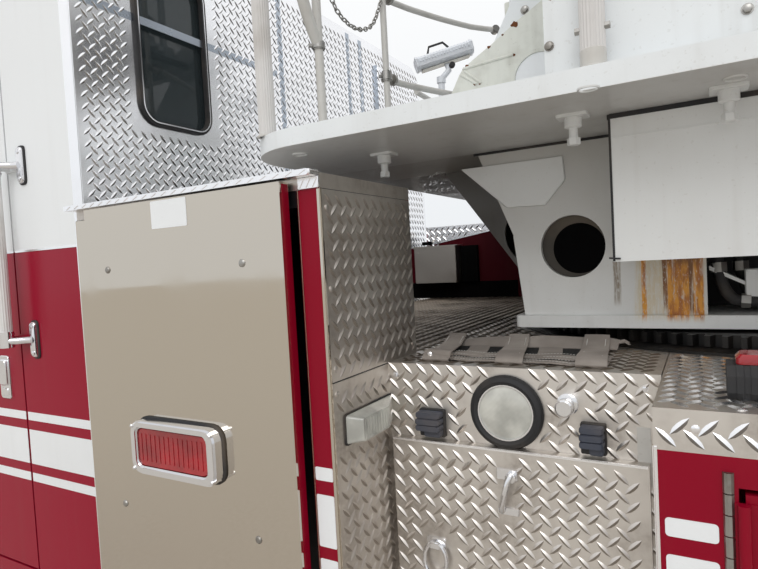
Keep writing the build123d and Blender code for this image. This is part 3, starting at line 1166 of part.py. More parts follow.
def turntable_rail_pieces():
    """Round posts and handrails on the deck."""
    z0 = TABLE_BOTTOM + TABLE_PLATE
    z1 = z0 + POST_HEIGHT
    edge_y = TABLE_HALF_Y - 30
    front = TURN_STATION - TABLE_HALF_X + 40
    back = TURN_STATION + TABLE_HALF_X - 40
    left_front = rod_z(4770.0, edge_y - 16, POST_RADIUS, z0, z1)
    left_mid = rod_z(5490.0, edge_y, POST_RADIUS, z0, z1)
    pieces = [left_front, left_mid]
    corner = TABLE_CORNER
    for y_a, y_b in ((-edge_y + corner, 380.0),):
        loop = rod_z(front, y_a, POST_RADIUS, z0, z1) + rod_z(front, y_b, POST_RADIUS, z0, z1)
        for z in (z0 + 350, z0 + 650, z1 - RAIL_RADIUS):
            loop += rod_y(front, z, RAIL_RADIUS, y_a, y_b)
        pieces.append(loop)
    pieces.append(rod_z(front, 790.0, POST_RADIUS, z0, z1))
    side = rod_z(front + corner + 30, -edge_y, POST_RADIUS, z0, z1) + rod_z(5600.0, -edge_y, POST_RADIUS, z0, z1)
    for z in (z0 + 500, z1 - RAIL_RADIUS):
        side += rod_x(front + corner + 30, 5600.0, -edge_y, z, RAIL_RADIUS)
    pieces.append(side)
    return pieces


def lift_frame():
    """Angle and length of a lift cylinder at rest."""
    dx = HEAD_PIN_S - FOOT_PIN_S
    dz = HEAD_PIN_Z - FOOT_PIN_Z
    line = Vector(-dx, 0, dz)
    return line.length, line.normalized()


def along_lift(distance, y):
    """Point on a cylinder's line."""
    length, way = lift_frame()
    return Vector(X(FOOT_PIN_S), y, FOOT_PIN_Z) + way * distance


def lift_bar(a, b, y, radius):
    """Round bar along the cylinder's line between two distances."""
    length, way = lift_frame()
    plane = Plane(origin=along_lift(a, y), z_dir=way)
    return extrude(plane * Circle(radius), amount=b - a)


def lift_barrel(y):
    """Barrel with its foot eye."""
    tube = lift_bar(LIFT_NECK, BARREL_LENGTH, y, BARREL_RADIUS)
    tube -= lift_bar(LIFT_NECK + 30, BARREL_LENGTH - 60, y, BARREL_RADIUS - BARREL_WALL)
    tube -= lift_bar(BARREL_LENGTH - 61, BARREL_LENGTH + 1, y, ROD_RADIUS + PIN_GAP)
    half = LIFT_EYE_WIDTH / 2
    tube += lift_bar(LIFT_EYE - 20, LIFT_NECK + 1, y, half)
    tube += rod_y(FOOT_PIN_S, FOOT_PIN_Z, LIFT_EYE, y - half, y + half)
    tube -= rod_y(FOOT_PIN_S, FOOT_PIN_Z, LIFT_PIN + PIN_GAP, y - BARREL_RADIUS - 5, y + BARREL_RADIUS + 5)
    return tube


def lift_rod(y):
    """Rod with its piston and head eye."""
    length, way = lift_frame()
    piston = LIFT_NECK + 36
    bar = lift_bar(piston, length - LIFT_EYE + 14, y, ROD_RADIUS)
    bar += lift_bar(piston, piston + 60, y, BARREL_RADIUS - BARREL_WALL - PIN_GAP)
    half = LIFT_EYE_WIDTH / 2
    eye = rod_y(HEAD_PIN_S, HEAD_PIN_Z, LIFT_EYE, y - half, y + half)
    way = 1 if y > 0 else -1
    eye += rod_y(HEAD_PIN_S, HEAD_PIN_Z, LIFT_PIN + 18, y, y + way * (half + 16))
    return bar + eye


def ladder_section(s0, s1, half, bottom, top, ledge_top):
    """Floor frame with rungs, and a braced side frame on each chord."""
    chord_top = bottom + CHORD_HEIGHT
    chord = block(s0, s1, half - CHORD_WIDTH, half, bottom, chord_top)
    floor = chord + mirrored(chord)
    count = int((s1 - s0 - 200) / RUNG_PITCH)
    rungs = [rod_y(s0 + 150 + RUNG_PITCH * i, bottom + CHORD_HEIGHT / 2, RUNG_RADIUS, -half + 10, half - 10)
             for i in range(count + 1)]
    floor += rungs
    if ledge_top:
        inner = half - CHORD_WIDTH
        ledge = block(s0 + 30, s1 - 30, inner - LEDGE, inner + 1, chord_top - 24, ledge_top)
        floor += ledge
        floor += mirrored(ledge)
    middle = half - CHORD_WIDTH / 2
    y0 = middle - BRACE_WALL / 2
    y1 = middle + BRACE_WALL / 2
    bays = max(2, round((s1 - s0 - 120) / BAY))
    step = (s1 - s0 - 120) / bays
    rail = block(s0 + 40, s1 - 40, middle - RAIL_SIDE / 2, middle + RAIL_SIDE / 2, top - RAIL_SIDE, top)
    bars = []
    for i in range(bays + 1):
        s = s0 + 60 + step * i
        bars.append(block(s - BRACE_WIDTH / 2, s + BRACE_WIDTH / 2, y0, y1, chord_top, top - RAIL_SIDE / 2))
    for i in range(bays):
        a = s0 + 60 + step * i
        b = a + step
        if i % 2:
            a, b = b, a
        w = BRACE_WIDTH / 2 * (1 if b > a else -1)
        bars.append(side_plate([(a - w, chord_top), (a + w, chord_top), (b + w, top - RAIL_SIDE / 2),
                                (b - w, top - RAIL_SIDE / 2)], y0, y1))
    side = rail + bars
    return floor, side


def ladder_pieces():
    """All sections, with heel lugs and lift lugs on the base section."""
    for i, (name, s0, s1, half, bottom, top) in enumerate(SECTIONS):
        ledge_top = SECTIONS[i + 1][4] - SEAT if i + 1 < len(SECTIONS) else None
        floor, side = ladder_section(s0, s1, half, bottom, top, ledge_top)
        if name == "ladder_base":
            outer = UPRIGHT_INNER - MOVE_GAP
            lug = side_plate([
                (HEEL_STATION - HEEL_BOSS, bottom), (HEEL_STATION + 300, bottom),
                (HEEL_STATION + 300, bottom + 120), (HEEL_STATION + 90, HEEL_HEIGHT + 90),
                (HEEL_STATION - 90, HEEL_HEIGHT + 90), (HEEL_STATION - HEEL_BOSS, HEEL_HEIGHT),
            ], half, outer)
            lug -= rod_y(HEEL_STATION, HEEL_HEIGHT, HEEL_PIN + PIN_GAP, half - 20, outer + 1)
            head = side_plate([
                (HEAD_PIN_S - 260, bottom), (HEAD_PIN_S + 260, bottom), (HEAD_PIN_S + 80, HEAD_PIN_Z + 90),
                (HEAD_PIN_S - 80, HEAD_PIN_Z + 90),
            ], half, half + HEAD_PLATE)
            boss_end = LIFT_Y - LIFT_EYE_WIDTH / 2 - MOVE_GAP
            head += rod_y(HEAD_PIN_S, HEAD_PIN_Z, HEAD_BOSS, half, boss_end)
            for piece in (lug, head):
                floor += piece
                floor += mirrored(piece)
        save(name, [floor, side, mirrored(side)])


def main():
    os.makedirs("parts", exist_ok=True)
    save("chassis_frame", frame_pieces())
    save("front_axle", front_axle_pieces())
    save("rear_axle", rear_axle_pieces())
    rail_top = RAIL_BOTTOM + RAIL_HEIGHT
    engine = block(ENGINE_FRONT, ENGINE_REAR, -ENGINE_HALF, ENGINE_HALF, ENGINE_BOTTOM, ENGINE_TOP)
    reach = RAIL_HALF - MOVE_GAP
    feet = [block(s, s + ENGINE_FOOT, -reach, reach, rail_top, rail_top + ENGINE_PAD) for s in ENGINE_FEET]
    gearbox = rod_x(ENGINE_REAR - 1, ENGINE_REAR + GEARBOX_LENGTH * 0.7, 0, SHAFT_HEIGHT, GEARBOX_RADIUS)
    gearbox += rod_x(ENGINE_REAR, ENGINE_REAR + GEARBOX_LENGTH, 0, SHAFT_HEIGHT, GEARBOX_RADIUS * 0.6)
    save("engine", [engine + feet + gearbox + engine_shaft(SHAFT_RADIUS)])
    cab_parts()
    save("cab_floor", cab_floor_pieces() + dash_pieces())
    save("grille", grille_pieces())
    save("front_bumper", bumper_pieces())
    save("lamps", lamp_pieces())
    save("light_bar", light_bar_pieces())
    save("mirrors", mirror_pieces())
    save("seats", seat_pieces())
    save("body_sides", body_pieces())
    locker_doors()
    save("body_decks", deck_pieces())
    door = recess_door()
    save("recess_door_left", [door])
    save("recess_door_right", [mirrored(door)])
    housing = column()
    save("stabilizer_housings", [housing, mirrored(housing)])
    for side in BEAM_STATIONS:
        stabilizer(side)
    leg = jack_leg(REAR_JACK, REAR_JACK_Y, REAR_JACK_TOP - 60)
    save("jack_rear_left", [leg])
    save("jack_rear_right", [mirrored(leg)])

    for side, sign in (("left", 1), ("right", -1)):
        save(f"knuckle_{side}", [knuckle(sign)])
        front_tyre = tyre_ring(FRONT_AXLE, TRACK_OUTER)
        front_rim = rim(FRONT_AXLE, TRACK_OUTER, TRACK_OUTER - 50, TRACK_OUTER - 10, SPINDLE_RADIUS + SEAT)
        outer_tyre = tyre_ring(REAR_AXLE, TRACK_OUTER)
        inner_face = TRACK_OUTER - TYRE_WIDTH - TWIN_GAP
        inner_tyre = tyre_ring(REAR_AXLE, inner_face)
        outer_rim = rim(REAR_AXLE, TRACK_OUTER, TRACK_OUTER - 200, TRACK_OUTER - 60, SPINDLE_RADIUS + SEAT)
        r1 = RIM_RADIUS - SEAT
        inner_rim = rim_profile(REAR_AXLE, [
            (inner_face - TYRE_WIDTH + 22, r1), (TRACK_OUTER - 160, r1), (TRACK_OUTER - 160, r1 - RIM_WALL),
            (inner_face - TYRE_WIDTH + 22, r1 - RIM_WALL),
        ])
        groups = {
            f"tyre_front_{side}": [front_tyre], f"rim_front_{side}": [front_rim],
            f"tyres_rear_{side}": [outer_tyre, inner_tyre], f"rims_rear_{side}": [outer_rim + inner_rim],
        }
        for name, solids in groups.items():
            save(name, solids if sign > 0 else [mirrored(solid) for solid in solids])

    save("turntable", turntable_pieces())
    save("turntable_rails", turntable_rail_pieces())
    save("lift_barrels", [lift_barrel(LIFT_Y), lift_barrel(-LIFT_Y)])
    save("lift_rods", [lift_rod(LIFT_Y), lift_rod(-LIFT_Y)])
    ladder_pieces()


main()
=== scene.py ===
"""Looks of the mid-mount ladder fire truck, in metres: +X forward, +Y left, +Z up.

Lengthwise places are stations, metres back from the front of the bumper. A Face is a flat face of the
truck with its own across, up and out directions, and a Work gathers the shapes of one joined piece.
"""
import random
from math import cos, hypot, pi, radians, sin

import bpy
from mathutils import Matrix, Vector


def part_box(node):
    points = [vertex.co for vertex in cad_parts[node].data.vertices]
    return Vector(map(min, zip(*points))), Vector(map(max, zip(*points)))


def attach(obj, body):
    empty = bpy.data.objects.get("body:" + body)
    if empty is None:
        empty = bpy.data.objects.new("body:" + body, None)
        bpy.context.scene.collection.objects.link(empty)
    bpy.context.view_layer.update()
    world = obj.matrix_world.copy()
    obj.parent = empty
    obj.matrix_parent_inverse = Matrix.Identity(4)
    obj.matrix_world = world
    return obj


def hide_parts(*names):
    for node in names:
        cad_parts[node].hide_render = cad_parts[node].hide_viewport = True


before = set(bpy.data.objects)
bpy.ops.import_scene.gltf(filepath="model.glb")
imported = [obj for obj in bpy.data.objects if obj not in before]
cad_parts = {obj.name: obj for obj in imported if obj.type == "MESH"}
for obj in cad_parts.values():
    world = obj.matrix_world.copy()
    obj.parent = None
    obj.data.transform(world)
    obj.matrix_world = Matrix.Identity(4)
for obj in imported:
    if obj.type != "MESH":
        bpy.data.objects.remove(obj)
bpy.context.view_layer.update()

NOSE = 5.95
SIDES = (("left", 1), ("right", -1))
CAB_SIDE = 1.16
CAB_BACK = 4.1
BODY_SIDE = 1.27
COLUMN_SIDE = 1.268
COLUMN_BACK = 5.005
RECESS = 1.036
COVER = 1.304
DECK = 1.345
TABLE_TOP = 1.89
TABLE_UNDER = 1.85
WHEEL_HEIGHT = 0.538
FRONT_AXLE = 2.23
REAR_AXLE = 8.3
COLUMN_LOW = 0.645
COLUMN_HIGH = 1.7265
BODY_BACK = 11.1
BOX_TOP = 2.2515
CONSOLE_SIDE = 1.0827
LUG_PITCH = 0.036
LUG_HALF = 0.0188
LUG_WIDTH = 0.0053
LUG_HEIGHT = 0.0028
AHEAD = (1, 0, 0)
BACK = (-1, 0, 0)
LEFT = (0, 1, 0)
RIGHT = (0, -1, 0)
UP = (0, 0, 1)
DOWN = (0, 0, -1)


def rgb(red, green, blue):
    """Linear colour of a 0 to 255 screen colour."""
    return tuple(((c / 255 + 0.055) / 1.055) ** 2.4 if c > 10 else c / 255 / 12.92 for c in (red, green,
                                                                                             blue))


RED = rgb(142, 6, 36)
CAB_RED = rgb(151, 7, 42)
WHITE = rgb(238, 241, 243)
TABLE_WHITE = rgb(233, 237, 239)
DUST = rgb(126, 112, 96)
RUST = rgb(212, 122, 10)
ALLOY = rgb(226, 226, 228)


# Shapes
class Face:
    """A flat face with an origin and its across, up and out directions."""

    def __init__(self, origin, across, up, out):
        self.origin, self.across, self.up, self.out = (Vector(v) for v in (origin, across, up, out))
        self.flips = self.across.cross(self.up).dot(self.out) < 0

    def at(self, a, b, c=0):
        return self.origin + self.across * a + self.up * b + self.out * c


def side_face(y):
    """Station, height and outward."""
    return Face((NOSE, y, 0), BACK, UP, LEFT)


def inner_face(y):
    """Station, height and towards the middle."""
    return Face((NOSE, y, 0), BACK, UP, RIGHT)


def rear_face(s):
    """Width, height and backward."""
    return Face((NOSE - s, 0, 0), LEFT, UP, BACK)


def front_face(s):
    """Width, height and forward."""
    return Face((NOSE - s, 0, 0), LEFT, UP, AHEAD)


def top_face(z):
    """Station, width and upward."""
    return Face((NOSE, 0, z), BACK, LEFT, UP)


def under_face(z):
    """Station, width and downward."""
    return Face((NOSE, 0, z), BACK, LEFT, DOWN)


def spot(s, y, z):
    """Point from a station, width and height."""
    return Vector((NOSE - s, y, z))


class Work:
    """Points and polygons of one joined piece."""

    def __init__(self):
        self.points, self.polygons = [], []

    def add(self, face, points, polygons):
        start = len(self.points)
        self.points += [face.at(*p) for p in points] if face else [Vector(p) for p in points]
        flips = face is not None and face.flips
        for polygon in polygons:
            order = list(polygon)[::-1] if flips else polygon
            self.polygons.append([start + i for i in order])

    def mirrored(self):
        other = Work()
        other.points = [Vector((p.x, -p.y, p.z)) for p in self.points]
        other.polygons = [polygon[::-1] for polygon in self.polygons]
        return other

    def doubled(self):
        other = self.mirrored()
        start = len(self.points)
        both = Work()
        both.points = self.points + other.points
        both.polygons = self.polygons + [[start + i for i in polygon] for polygon in other.polygons]
        return both


def rounded(a0, a1, b0, b1, radius, steps=4):
    """Outline of a rectangle with round corners."""
    outline = []
    corners = ((a1, b0, -90), (a1, b1, 0), (a0, b1, 90), (a0, b0, 180))
    for a, b, start in corners:
        ca = a - radius if a == a1 else a + radius
        cb = b - radius if b == b1 else b + radius
        for i in range(steps + 1):
            turn = radians(start + 90 * i / steps)
            outline.append((ca + radius * cos(turn), cb + radius * sin(turn)))
    return outline


def slab(work, face, outline, c0, c1, edge=0):
    """Plate of an outline from c0 out to c1, its outer edge chamfered by edge."""
    count = len(outline)
    levels = [(c0, 0), (c1 - edge, 0)] + ([(c1, edge)] if edge else [])
    ca = sum(a for a, b in outline) / count
    cb = sum(b for a, b in outline) / count
    points = []
    for c, inset in levels:
        for a, b in outline:
            reach = max(hypot(a - ca, b - cb), 1e-6)
            shrink = 1 - inset / reach
            points.append((ca + (a - ca) * shrink, cb + (b - cb) * shrink, c))
    polygons = [list(range(count))[::-1], [count * (len(levels) - 1) + i for i in range(count)]]
    for k in range(len(levels) - 1):
        for i in range(count):
            j = (i + 1) % count
            polygons.append([count * k + i, count * k + j, count * (k + 1) + j, count * (k + 1) + i])
    work.add(face, points, polygons)


def bar(work, face, a0, a1, b0, b1, c0, c1, edge=0):
    """Rectangular bar standing on a face."""
    if edge:
        slab(work, face, rounded(a0, a1, b0, b1, edge, 2), c0, c1, edge * 0.7)
    else:
        slab(work, face, [(a0, b0), (a1, b0), (a1, b1), (a0, b1)], c0, c1)


def band(work, face, outer, inner, c0, c1):
    """Closed frame between two outlines with the same number of points."""
    count = len(outer)
    points = [(a, b, c) for c in (c0, c1) for ring in (outer, inner) for a, b in ring]
    polygons = []
    for i in range(count):
        j = (i + 1) % count
        o0, o1, n0, n1 = i, j, count + i, count + j
        t = 2 * count
        polygons += [[o0, o1, t + o1, t + o0], [n1, n0, t + n0, t + n1], [t + o0, t + o1, t + n1, t + n0],
                     [o1, o0, n0, n1]]
    work.add(face, points, polygons)


def gasket(work, face, a0, a1, b0, b1, radius, width, c0, c1):
    """Rubber frame around a window opening."""
    band(work, face, rounded(a0 - width, a1 + width, b0 - width, b1 + width, radius + width, 6),
         rounded(a0, a1, b0, b1, radius, 6), c0, c1)


def turned(work, face, a, b, profile, turns=28):
    """Round shape about a face's outward axis, from radius and height pairs."""
    points, polygons = [], []
    for r, c in profile:
        for i in range(turns):
            angle = 2 * pi * i / turns
            points.append((a + r * cos(angle), b + r * sin(angle), c))
    for k in range(len(profile) - 1):
        for i in range(turns):
            j = (i + 1) % turns
            polygons.append([turns * k + i, turns * k + j, turns * (k + 1) + j, turns * (k + 1) + i])
    polygons.append(list(range(turns))[::-1])
    polygons.append([turns * (len(profile) - 1) + i for i in range(turns)])
    work.add(face, points, polygons)


def ring(work, face, a, b, profile, turns=32):
    """Round shape about a face's outward axis with a closed profile."""
    count = len(profile)
    points = [(a + r * cos(2 * pi * i / turns), b + r * sin(2 * pi * i / turns), c)
              for r, c in profile for i in range(turns)]
    polygons = []
    for k in range(count):
        m = (k + 1) % count
        for i in range(turns):
            j = (i + 1) % turns
            polygons.append([turns * k + i, turns * k + j, turns * m + j, turns * m + i])
    work.add(face, points, polygons)


def tube(work, path, radius, sides=12, flutes=0):
    """Round or fluted bar along a path of points."""
    path = [Vector(p) for p in path]
    points, polygons = [], []
    way = (path[1] - path[0]).normalized()
    side = way.orthogonal().normalized()
    for k, p in enumerate(path):
        before = path[max(k - 1, 0)]
        after = path[min(k + 1, len(path) - 1)]
        along = (after - before).normalized()
        side = (side - along * side.dot(along)).normalized()
        other = along.cross(side)
        for i in range(sides):
            angle = 2 * pi * i / sides
            r = radius - (flutes if i % 2 else 0)
            points.append(p + side * (r * cos(angle)) + other * (r * sin(angle)))
    for k in range(len(path) - 1):
        for i in range(sides):
            j = (i + 1) % sides
            polygons.append([sides * k + i, sides * k + j, sides * (k + 1) + j, sides * (k + 1) + i])
    polygons.append(list(range(sides))[::-1])
    polygons.append([sides * (len(path) - 1) + i for i in range(sides)])
    work.add(None, points, polygons)


def arc_path(start, corner, end, steps=6):
    """Points of a smooth bend from start to end around a corner."""
    start, corner, end = Vector(start), Vector(corner), Vector(end)
    return [start.lerp(corner, t).lerp(corner.lerp(end, t), t) for t in (i / steps for i in range(steps + 1))]


def screw(work, face, a, b, radius=0.006, height=0.003):
    """Domed fastener head."""
    turned(work, face, a, b, [(radius, 0), (radius, height * 0.4), (radius * 0.7, height * 0.85),
                              (radius * 0.2, height)], 10)


def hex_bolt(work, face, a, b, radius, height, base=0):
    """Six-sided head on a washer."""
    turned(work, face, a, b, [(radius * 1.35, base), (radius * 1.35, base + height * 0.18)], 14)
    turned(work, face, a, b, [(radius, base + height * 0.18), (radius, base + height * 0.9),
                              (radius * 0.8, base + height)], 6)


def tread_lugs(work, face, a0, a1, b0, b1, keep=None, pitch=LUG_PITCH):
    """Raised lugs of chequer plate, in two crossing directions."""
    edge = 0.012
    t_steps = ((-0.5, 0.8, 0.85), (0, 1, 1), (0.5, 0.8, 0.85))
    for k in (0, 1):
        turn = radians(45 if k else -45)
        ca, cb = cos(turn), sin(turn)
        i = 0
        while True:
            a = a0 + edge + pitch * (i + 0.5 * k)
            i += 1
            if a > a1 - edge:
                break
            j = 0
            while True:
                b = b0 + edge + pitch * (j + 0.5 * k)
                j += 1
                if b > b1 - edge:
                    break
                if keep and not keep(a, b):
                    continue
                points = [(-LUG_HALF, 0, 0), (LUG_HALF, 0, 0)]
                for t, w, h in t_steps:
                    points += [(t * LUG_HALF, LUG_WIDTH * w, 0), (t * LUG_HALF, 0, LUG_HEIGHT * h),
                               (t * LUG_HALF, -LUG_WIDTH * w, 0)]
                placed = [(a + x * ca - y * cb, b + x * cb + y * ca, z) for x, y, z in points]
                polygons = [[0, 3, 2], [0, 4, 3], [1, 8, 9], [1, 9, 10]]
                for m in (2, 5):
                    polygons += [[m, m + 1, m + 4, m + 3], [m + 1, m + 2, m + 5, m + 4]]
                work.add(face, placed, polygons)


def outside(boxes, margin=0.012):
    """Test that keeps lugs off some rectangles."""
    def keep(a, b):
        return not any(a0 - margin < a < a1 + margin and b0 - margin < b < b1 + margin for a0, a1, b0,
                       b1 in boxes)
    return keep


def around(circles, boxes):
    """Test that keeps lugs off some circles and rectangles."""
    off = outside(boxes, 0.006)

    def keep(a, b):
        return off(a, b) and not any(hypot(a - x, b - y) < r + 0.012 for x, y, r in circles)
    return keep


def make(name, work, material, body="chassis", slot=None, sharp=35):
    """Object of a gathered piece, riding on a body. The slot is worked out but not used."""
    slot = slot or SLOT_OF[material.name]
    mesh = bpy.data.meshes.new(name)
    mesh.from_pydata(work.points, [], work.polygons)
    mesh.validate()
    mesh.materials.append(material)
    mesh.shade_smooth()
    mesh.set_sharp_from_angle(angle=radians(sharp))
    piece = bpy.data.objects.new(name, mesh)
    bpy.context.scene.collection.objects.link(piece)
    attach(piece, body)
    return piece


def make_both(name, work, material, body="chassis", slot=None, sharp=35):
    """The piece on the truck's left and its mirror image on the right."""
    if body.endswith("_left"):
        make(name + "_left", work, material, body, slot, sharp)
        make(name + "_right", work.mirrored(), material, body[:-4] + "right", slot, sharp)
    else:
        make(name, work.doubled(), material, body, slot, sharp)


# Finishes
def new_group(name, inputs, outputs):
    """Node group with named sockets, its input node and its output node."""
    tree = bpy.data.node_groups.new(name, "ShaderNodeTree")
    for socket, kind, value in inputs:
        made = tree.interface.new_socket(socket, in_out="INPUT", socket_type="NodeSocket" + kind)
        made.default_value = value
    for socket, kind in outputs:
        tree.interface.new_socket(socket, in_out="OUTPUT", socket_type="NodeSocket" + kind)
    return tree, tree.nodes.new("NodeGroupInput"), tree.nodes.new("NodeGroupOutput")


def feed(tree, socket, value):
    """Another socket, a number or a colour into a socket."""
    if isinstance(value, bpy.types.NodeSocket):
        tree.links.new(value, socket)
    else:
        socket.default_value = (*value, 1) if isinstance(value, tuple) else value


def math(tree, operation, a, b=None, clamp=False):
    """Value of a math node on sockets or numbers."""
    node = tree.nodes.new("ShaderNodeMath")
    node.operation = operation
    node.use_clamp = clamp
    feed(tree, node.inputs[0], a)
    if b is not None:
        feed(tree, node.inputs[1], b)
    return node.outputs[0]


def plus(tree, a, b):
    """Sum of two values."""
    return math(tree, "ADD", a, b)


def times(tree, a, b, clamp=False):
    """Product of two values."""
    return math(tree, "MULTIPLY", a, b, clamp)


def blend_colour(tree, factor, a, b):
    """Mix of two colours by a factor."""
    node = tree.nodes.new("ShaderNodeMix")
    node.data_type = "RGBA"
    for place, value in ((0, factor), (6, a), (7, b)):
        feed(tree, node.inputs[place], value)
    return node.outputs[2]


def between(tree, value, low, high):
    """Value mapped smoothly from low..high to 0..1."""
    node = tree.nodes.new("ShaderNodeMapRange")
    node.interpolation_type = "SMOOTHSTEP"
    for socket, given in (("Value", value), ("From Min", low), ("From Max", high)):
        feed(tree, node.inputs[socket], given)
    return node.outputs["Result"]


def own_place(tree):
    """The truck's own coordinates."""
    return tree.nodes.new("ShaderNodeTexCoord").outputs["Object"]


def part_of(tree, vector, axis):
    """One number of a vector."""
    split = tree.nodes.new("ShaderNodeSeparateXYZ")
    tree.links.new(vector, split.inputs[0])
    return split.outputs[axis]


def coordinate(tree, axis):
    """One of the truck's own coordinates."""
    return part_of(tree, own_place(tree), axis)


def facing_down(tree, low, high):
    """1 on faces that look down and 0 on those that look up."""
    normal = tree.nodes.new("ShaderNodeNewGeometry").outputs["Normal"]
    return math(tree, "SUBTRACT", 1, between(tree, part_of(tree, normal, 2), low, high))


def noise(tree, scale, stretch=(1, 1, 1), detail=3, sharpen=None):
    """Noise value over the truck's own coordinates, stretched and sharpened."""
    mapping = tree.nodes.new("ShaderNodeMapping")
    mapping.inputs["Scale"].default_value = stretch
    tree.links.new(own_place(tree), mapping.inputs["Vector"])
    node = tree.nodes.new("ShaderNodeTexNoise")
    node.inputs["Detail"].default_value = detail
    feed(tree, node.inputs["Scale"], scale)
    tree.links.new(mapping.outputs["Vector"], node.inputs["Vector"])
    return between(tree, node.outputs["Fac"], *sharpen) if sharpen else node.outputs["Fac"]


def waves(tree, direction, scale):
    """Wave texture over the truck's own coordinates."""
    node = tree.nodes.new("ShaderNodeTexWave")
    node.bands_direction = direction
    node.inputs["Scale"].default_value = scale
    tree.links.new(own_place(tree), node.inputs["Vector"])
    return node


def bump(tree, shader, height, strength, distance):
    """Relief on a shader from a height value."""
    node = tree.nodes.new("ShaderNodeBump")
    node.inputs["Strength"].default_value = strength
    node.inputs["Distance"].default_value = distance
    tree.links.new(height, node.inputs["Height"])
    tree.links.new(node.outputs["Normal"], shader.inputs["Normal"])


def weather_group():
    """Dust film and dirt runs over a paint, with a slight orange peel."""
    tree, start, end = new_group(
        "weathered paint",
        [("Paint", "Color", (0.8, 0.8, 0.8, 1)), ("Dirt", "Color", (*DUST, 1)), ("Dirt Amount", "Float", 0.3),
         ("Roughness", "Float", 0.25), ("Patch Scale", "Float", 2.5)],
        [("Color", "Color"), ("Roughness", "Float"), ("Height", "Float")])
    patches = noise(tree, start.outputs["Patch Scale"], detail=6, sharpen=(0.42, 0.78))
    runs = noise(tree, 26, (1, 1, 0.07), 4, (0.52, 0.8))
    specks = noise(tree, 140, (1, 1, 1), 2, (0.66, 0.72))
    film = plus(tree, times(tree, patches, 0.5), times(tree, runs, 0.45))
    film = plus(tree, film, times(tree, specks, 0.35))
    mask = times(tree, film, start.outputs["Dirt Amount"], clamp=True)
    tree.links.new(blend_colour(tree, mask, start.outputs["Paint"], start.outputs["Dirt"]),
                   end.inputs["Color"])
    rough = plus(tree, start.outputs["Roughness"], times(tree, mask, 0.45))
    tree.links.new(rough, end.inputs["Roughness"])
    tree.links.new(noise(tree, 260, detail=1), end.inputs["Height"])
    return tree


def metal_group():
    """Bare metal with cloudy tone, fine brushing and grime in patches."""
    tree, start, end = new_group(
        "bare metal",
        [("Metal", "Color", (*ALLOY, 1)), ("Grime", "Color", (*DUST, 1)), ("Grime Amount", "Float", 0.2),
         ("Roughness", "Float", 0.25), ("Patch Scale", "Float", 5)],
        [("Color", "Color"), ("Roughness", "Float"), ("Height", "Float")])
    patches = noise(tree, start.outputs["Patch Scale"], detail=6, sharpen=(0.38, 0.74))
    fine = noise(tree, 90, (1, 1, 1), 4)
    brush = noise(tree, 40, (1, 1, 24), 2)
    mask = times(tree, times(tree, patches, fine), start.outputs["Grime Amount"])
    mask = times(tree, mask, 2, clamp=True)
    tree.links.new(blend_colour(tree, mask, start.outputs["Metal"], start.outputs["Grime"]),
                   end.inputs["Color"])
    rough = plus(tree, start.outputs["Roughness"], times(tree, patches, 0.1))
    rough = plus(tree, rough, times(tree, fine, 0.06))
    tree.links.new(rough, end.inputs["Roughness"])
    tree.links.new(brush, end.inputs["Height"])
    return tree


def two_tone_group():
    """Lower colour under a level break and upper colour above it."""
    tree, start, end = new_group(
        "two tone", [("Below", "Color", (*RED, 1)), ("Above", "Color", (*WHITE, 1)),
                     ("Break", "Float", 1.673)],
        [("Color", "Color")])
    height = coordinate(tree, 2)
    mask = math(tree, "GREATER_THAN", height, start.outputs["Break"])
    tree.links.new(blend_colour(tree, mask, start.outputs["Below"], start.outputs["Above"]),
                   end.inputs["Color"])
    return tree


def rust_group():
    """Rust runs down an upright face, between two stations and two heights."""
    tree, start, end = new_group(
        "rust runs",
        [("Along", "Float", 0.3), ("Half Width", "Float", 0.1), ("Top", "Float", 1.6),
         ("Bottom", "Float", 1.4),
         ("Amount", "Float", 1)],
        [("Mask", "Float")])
    x = coordinate(tree, 0)
    z = coordinate(tree, 2)
    away = math(tree, "ABSOLUTE", math(tree, "SUBTRACT", x, start.outputs["Along"]))
    across = math(tree, "SUBTRACT", 1, between(tree,
                                                 math(tree, "DIVIDE", away, start.outputs["Half Width"]),
                                                 0.1, 1))
    down = math(tree, "SUBTRACT", 1, between(tree, z, start.outputs["Top"],
                                               plus(tree, start.outputs["Top"], 0.004)))
    up = between(tree, z, start.outputs["Bottom"], plus(tree, start.outputs["Bottom"], 0.03))
    runs = between(tree, times(tree, noise(tree, 40, (1, 1, 0.12), 6), across), 0.18, 0.36)
    runs = times(tree, runs, noise(tree, 170, (1, 1, 0.1), 6, (0.16, 0.6)))
    runs = times(tree, runs, noise(tree, 330, (1, 1, 0.3), 4, (0.2, 0.52)))
    mask = times(tree, times(tree, down, up), runs)
    tree.links.new(times(tree, mask, start.outputs["Amount"], clamp=True), end.inputs["Mask"])
    return tree


WEATHER = weather_group()
BARE = metal_group()
TWO_TONE = two_tone_group()
RUST_RUNS = rust_group()


def finish(name, colour, metallic=0, roughness=0.4, coat=0, **sockets):
    """Material with its shader, ready for groups."""
    made = bpy.data.materials.new(name)
    made.use_nodes = True
    shader = made.node_tree.nodes["Principled BSDF"]
    shader.inputs["Base Color"].default_value = (*colour, 1)
    shader.inputs["Metallic"].default_value = metallic
    shader.inputs["Roughness"].default_value = roughness
    shader.inputs["Coat Weight"].default_value = coat
    for socket, value in sockets.items():
        shader.inputs[socket.replace("_", " ")].default_value = value
    made.diffuse_color = (*colour, 1)
    return made, shader


def place_group(made, group, **values):
    """One of the shared groups in a material, with its own values."""
    node = made.node_tree.nodes.new("ShaderNodeGroup")
    node.node_tree = group
    for socket, value in values.items():
        feed(made.node_tree, node.inputs[socket.replace("_", " ")], value)
    return node


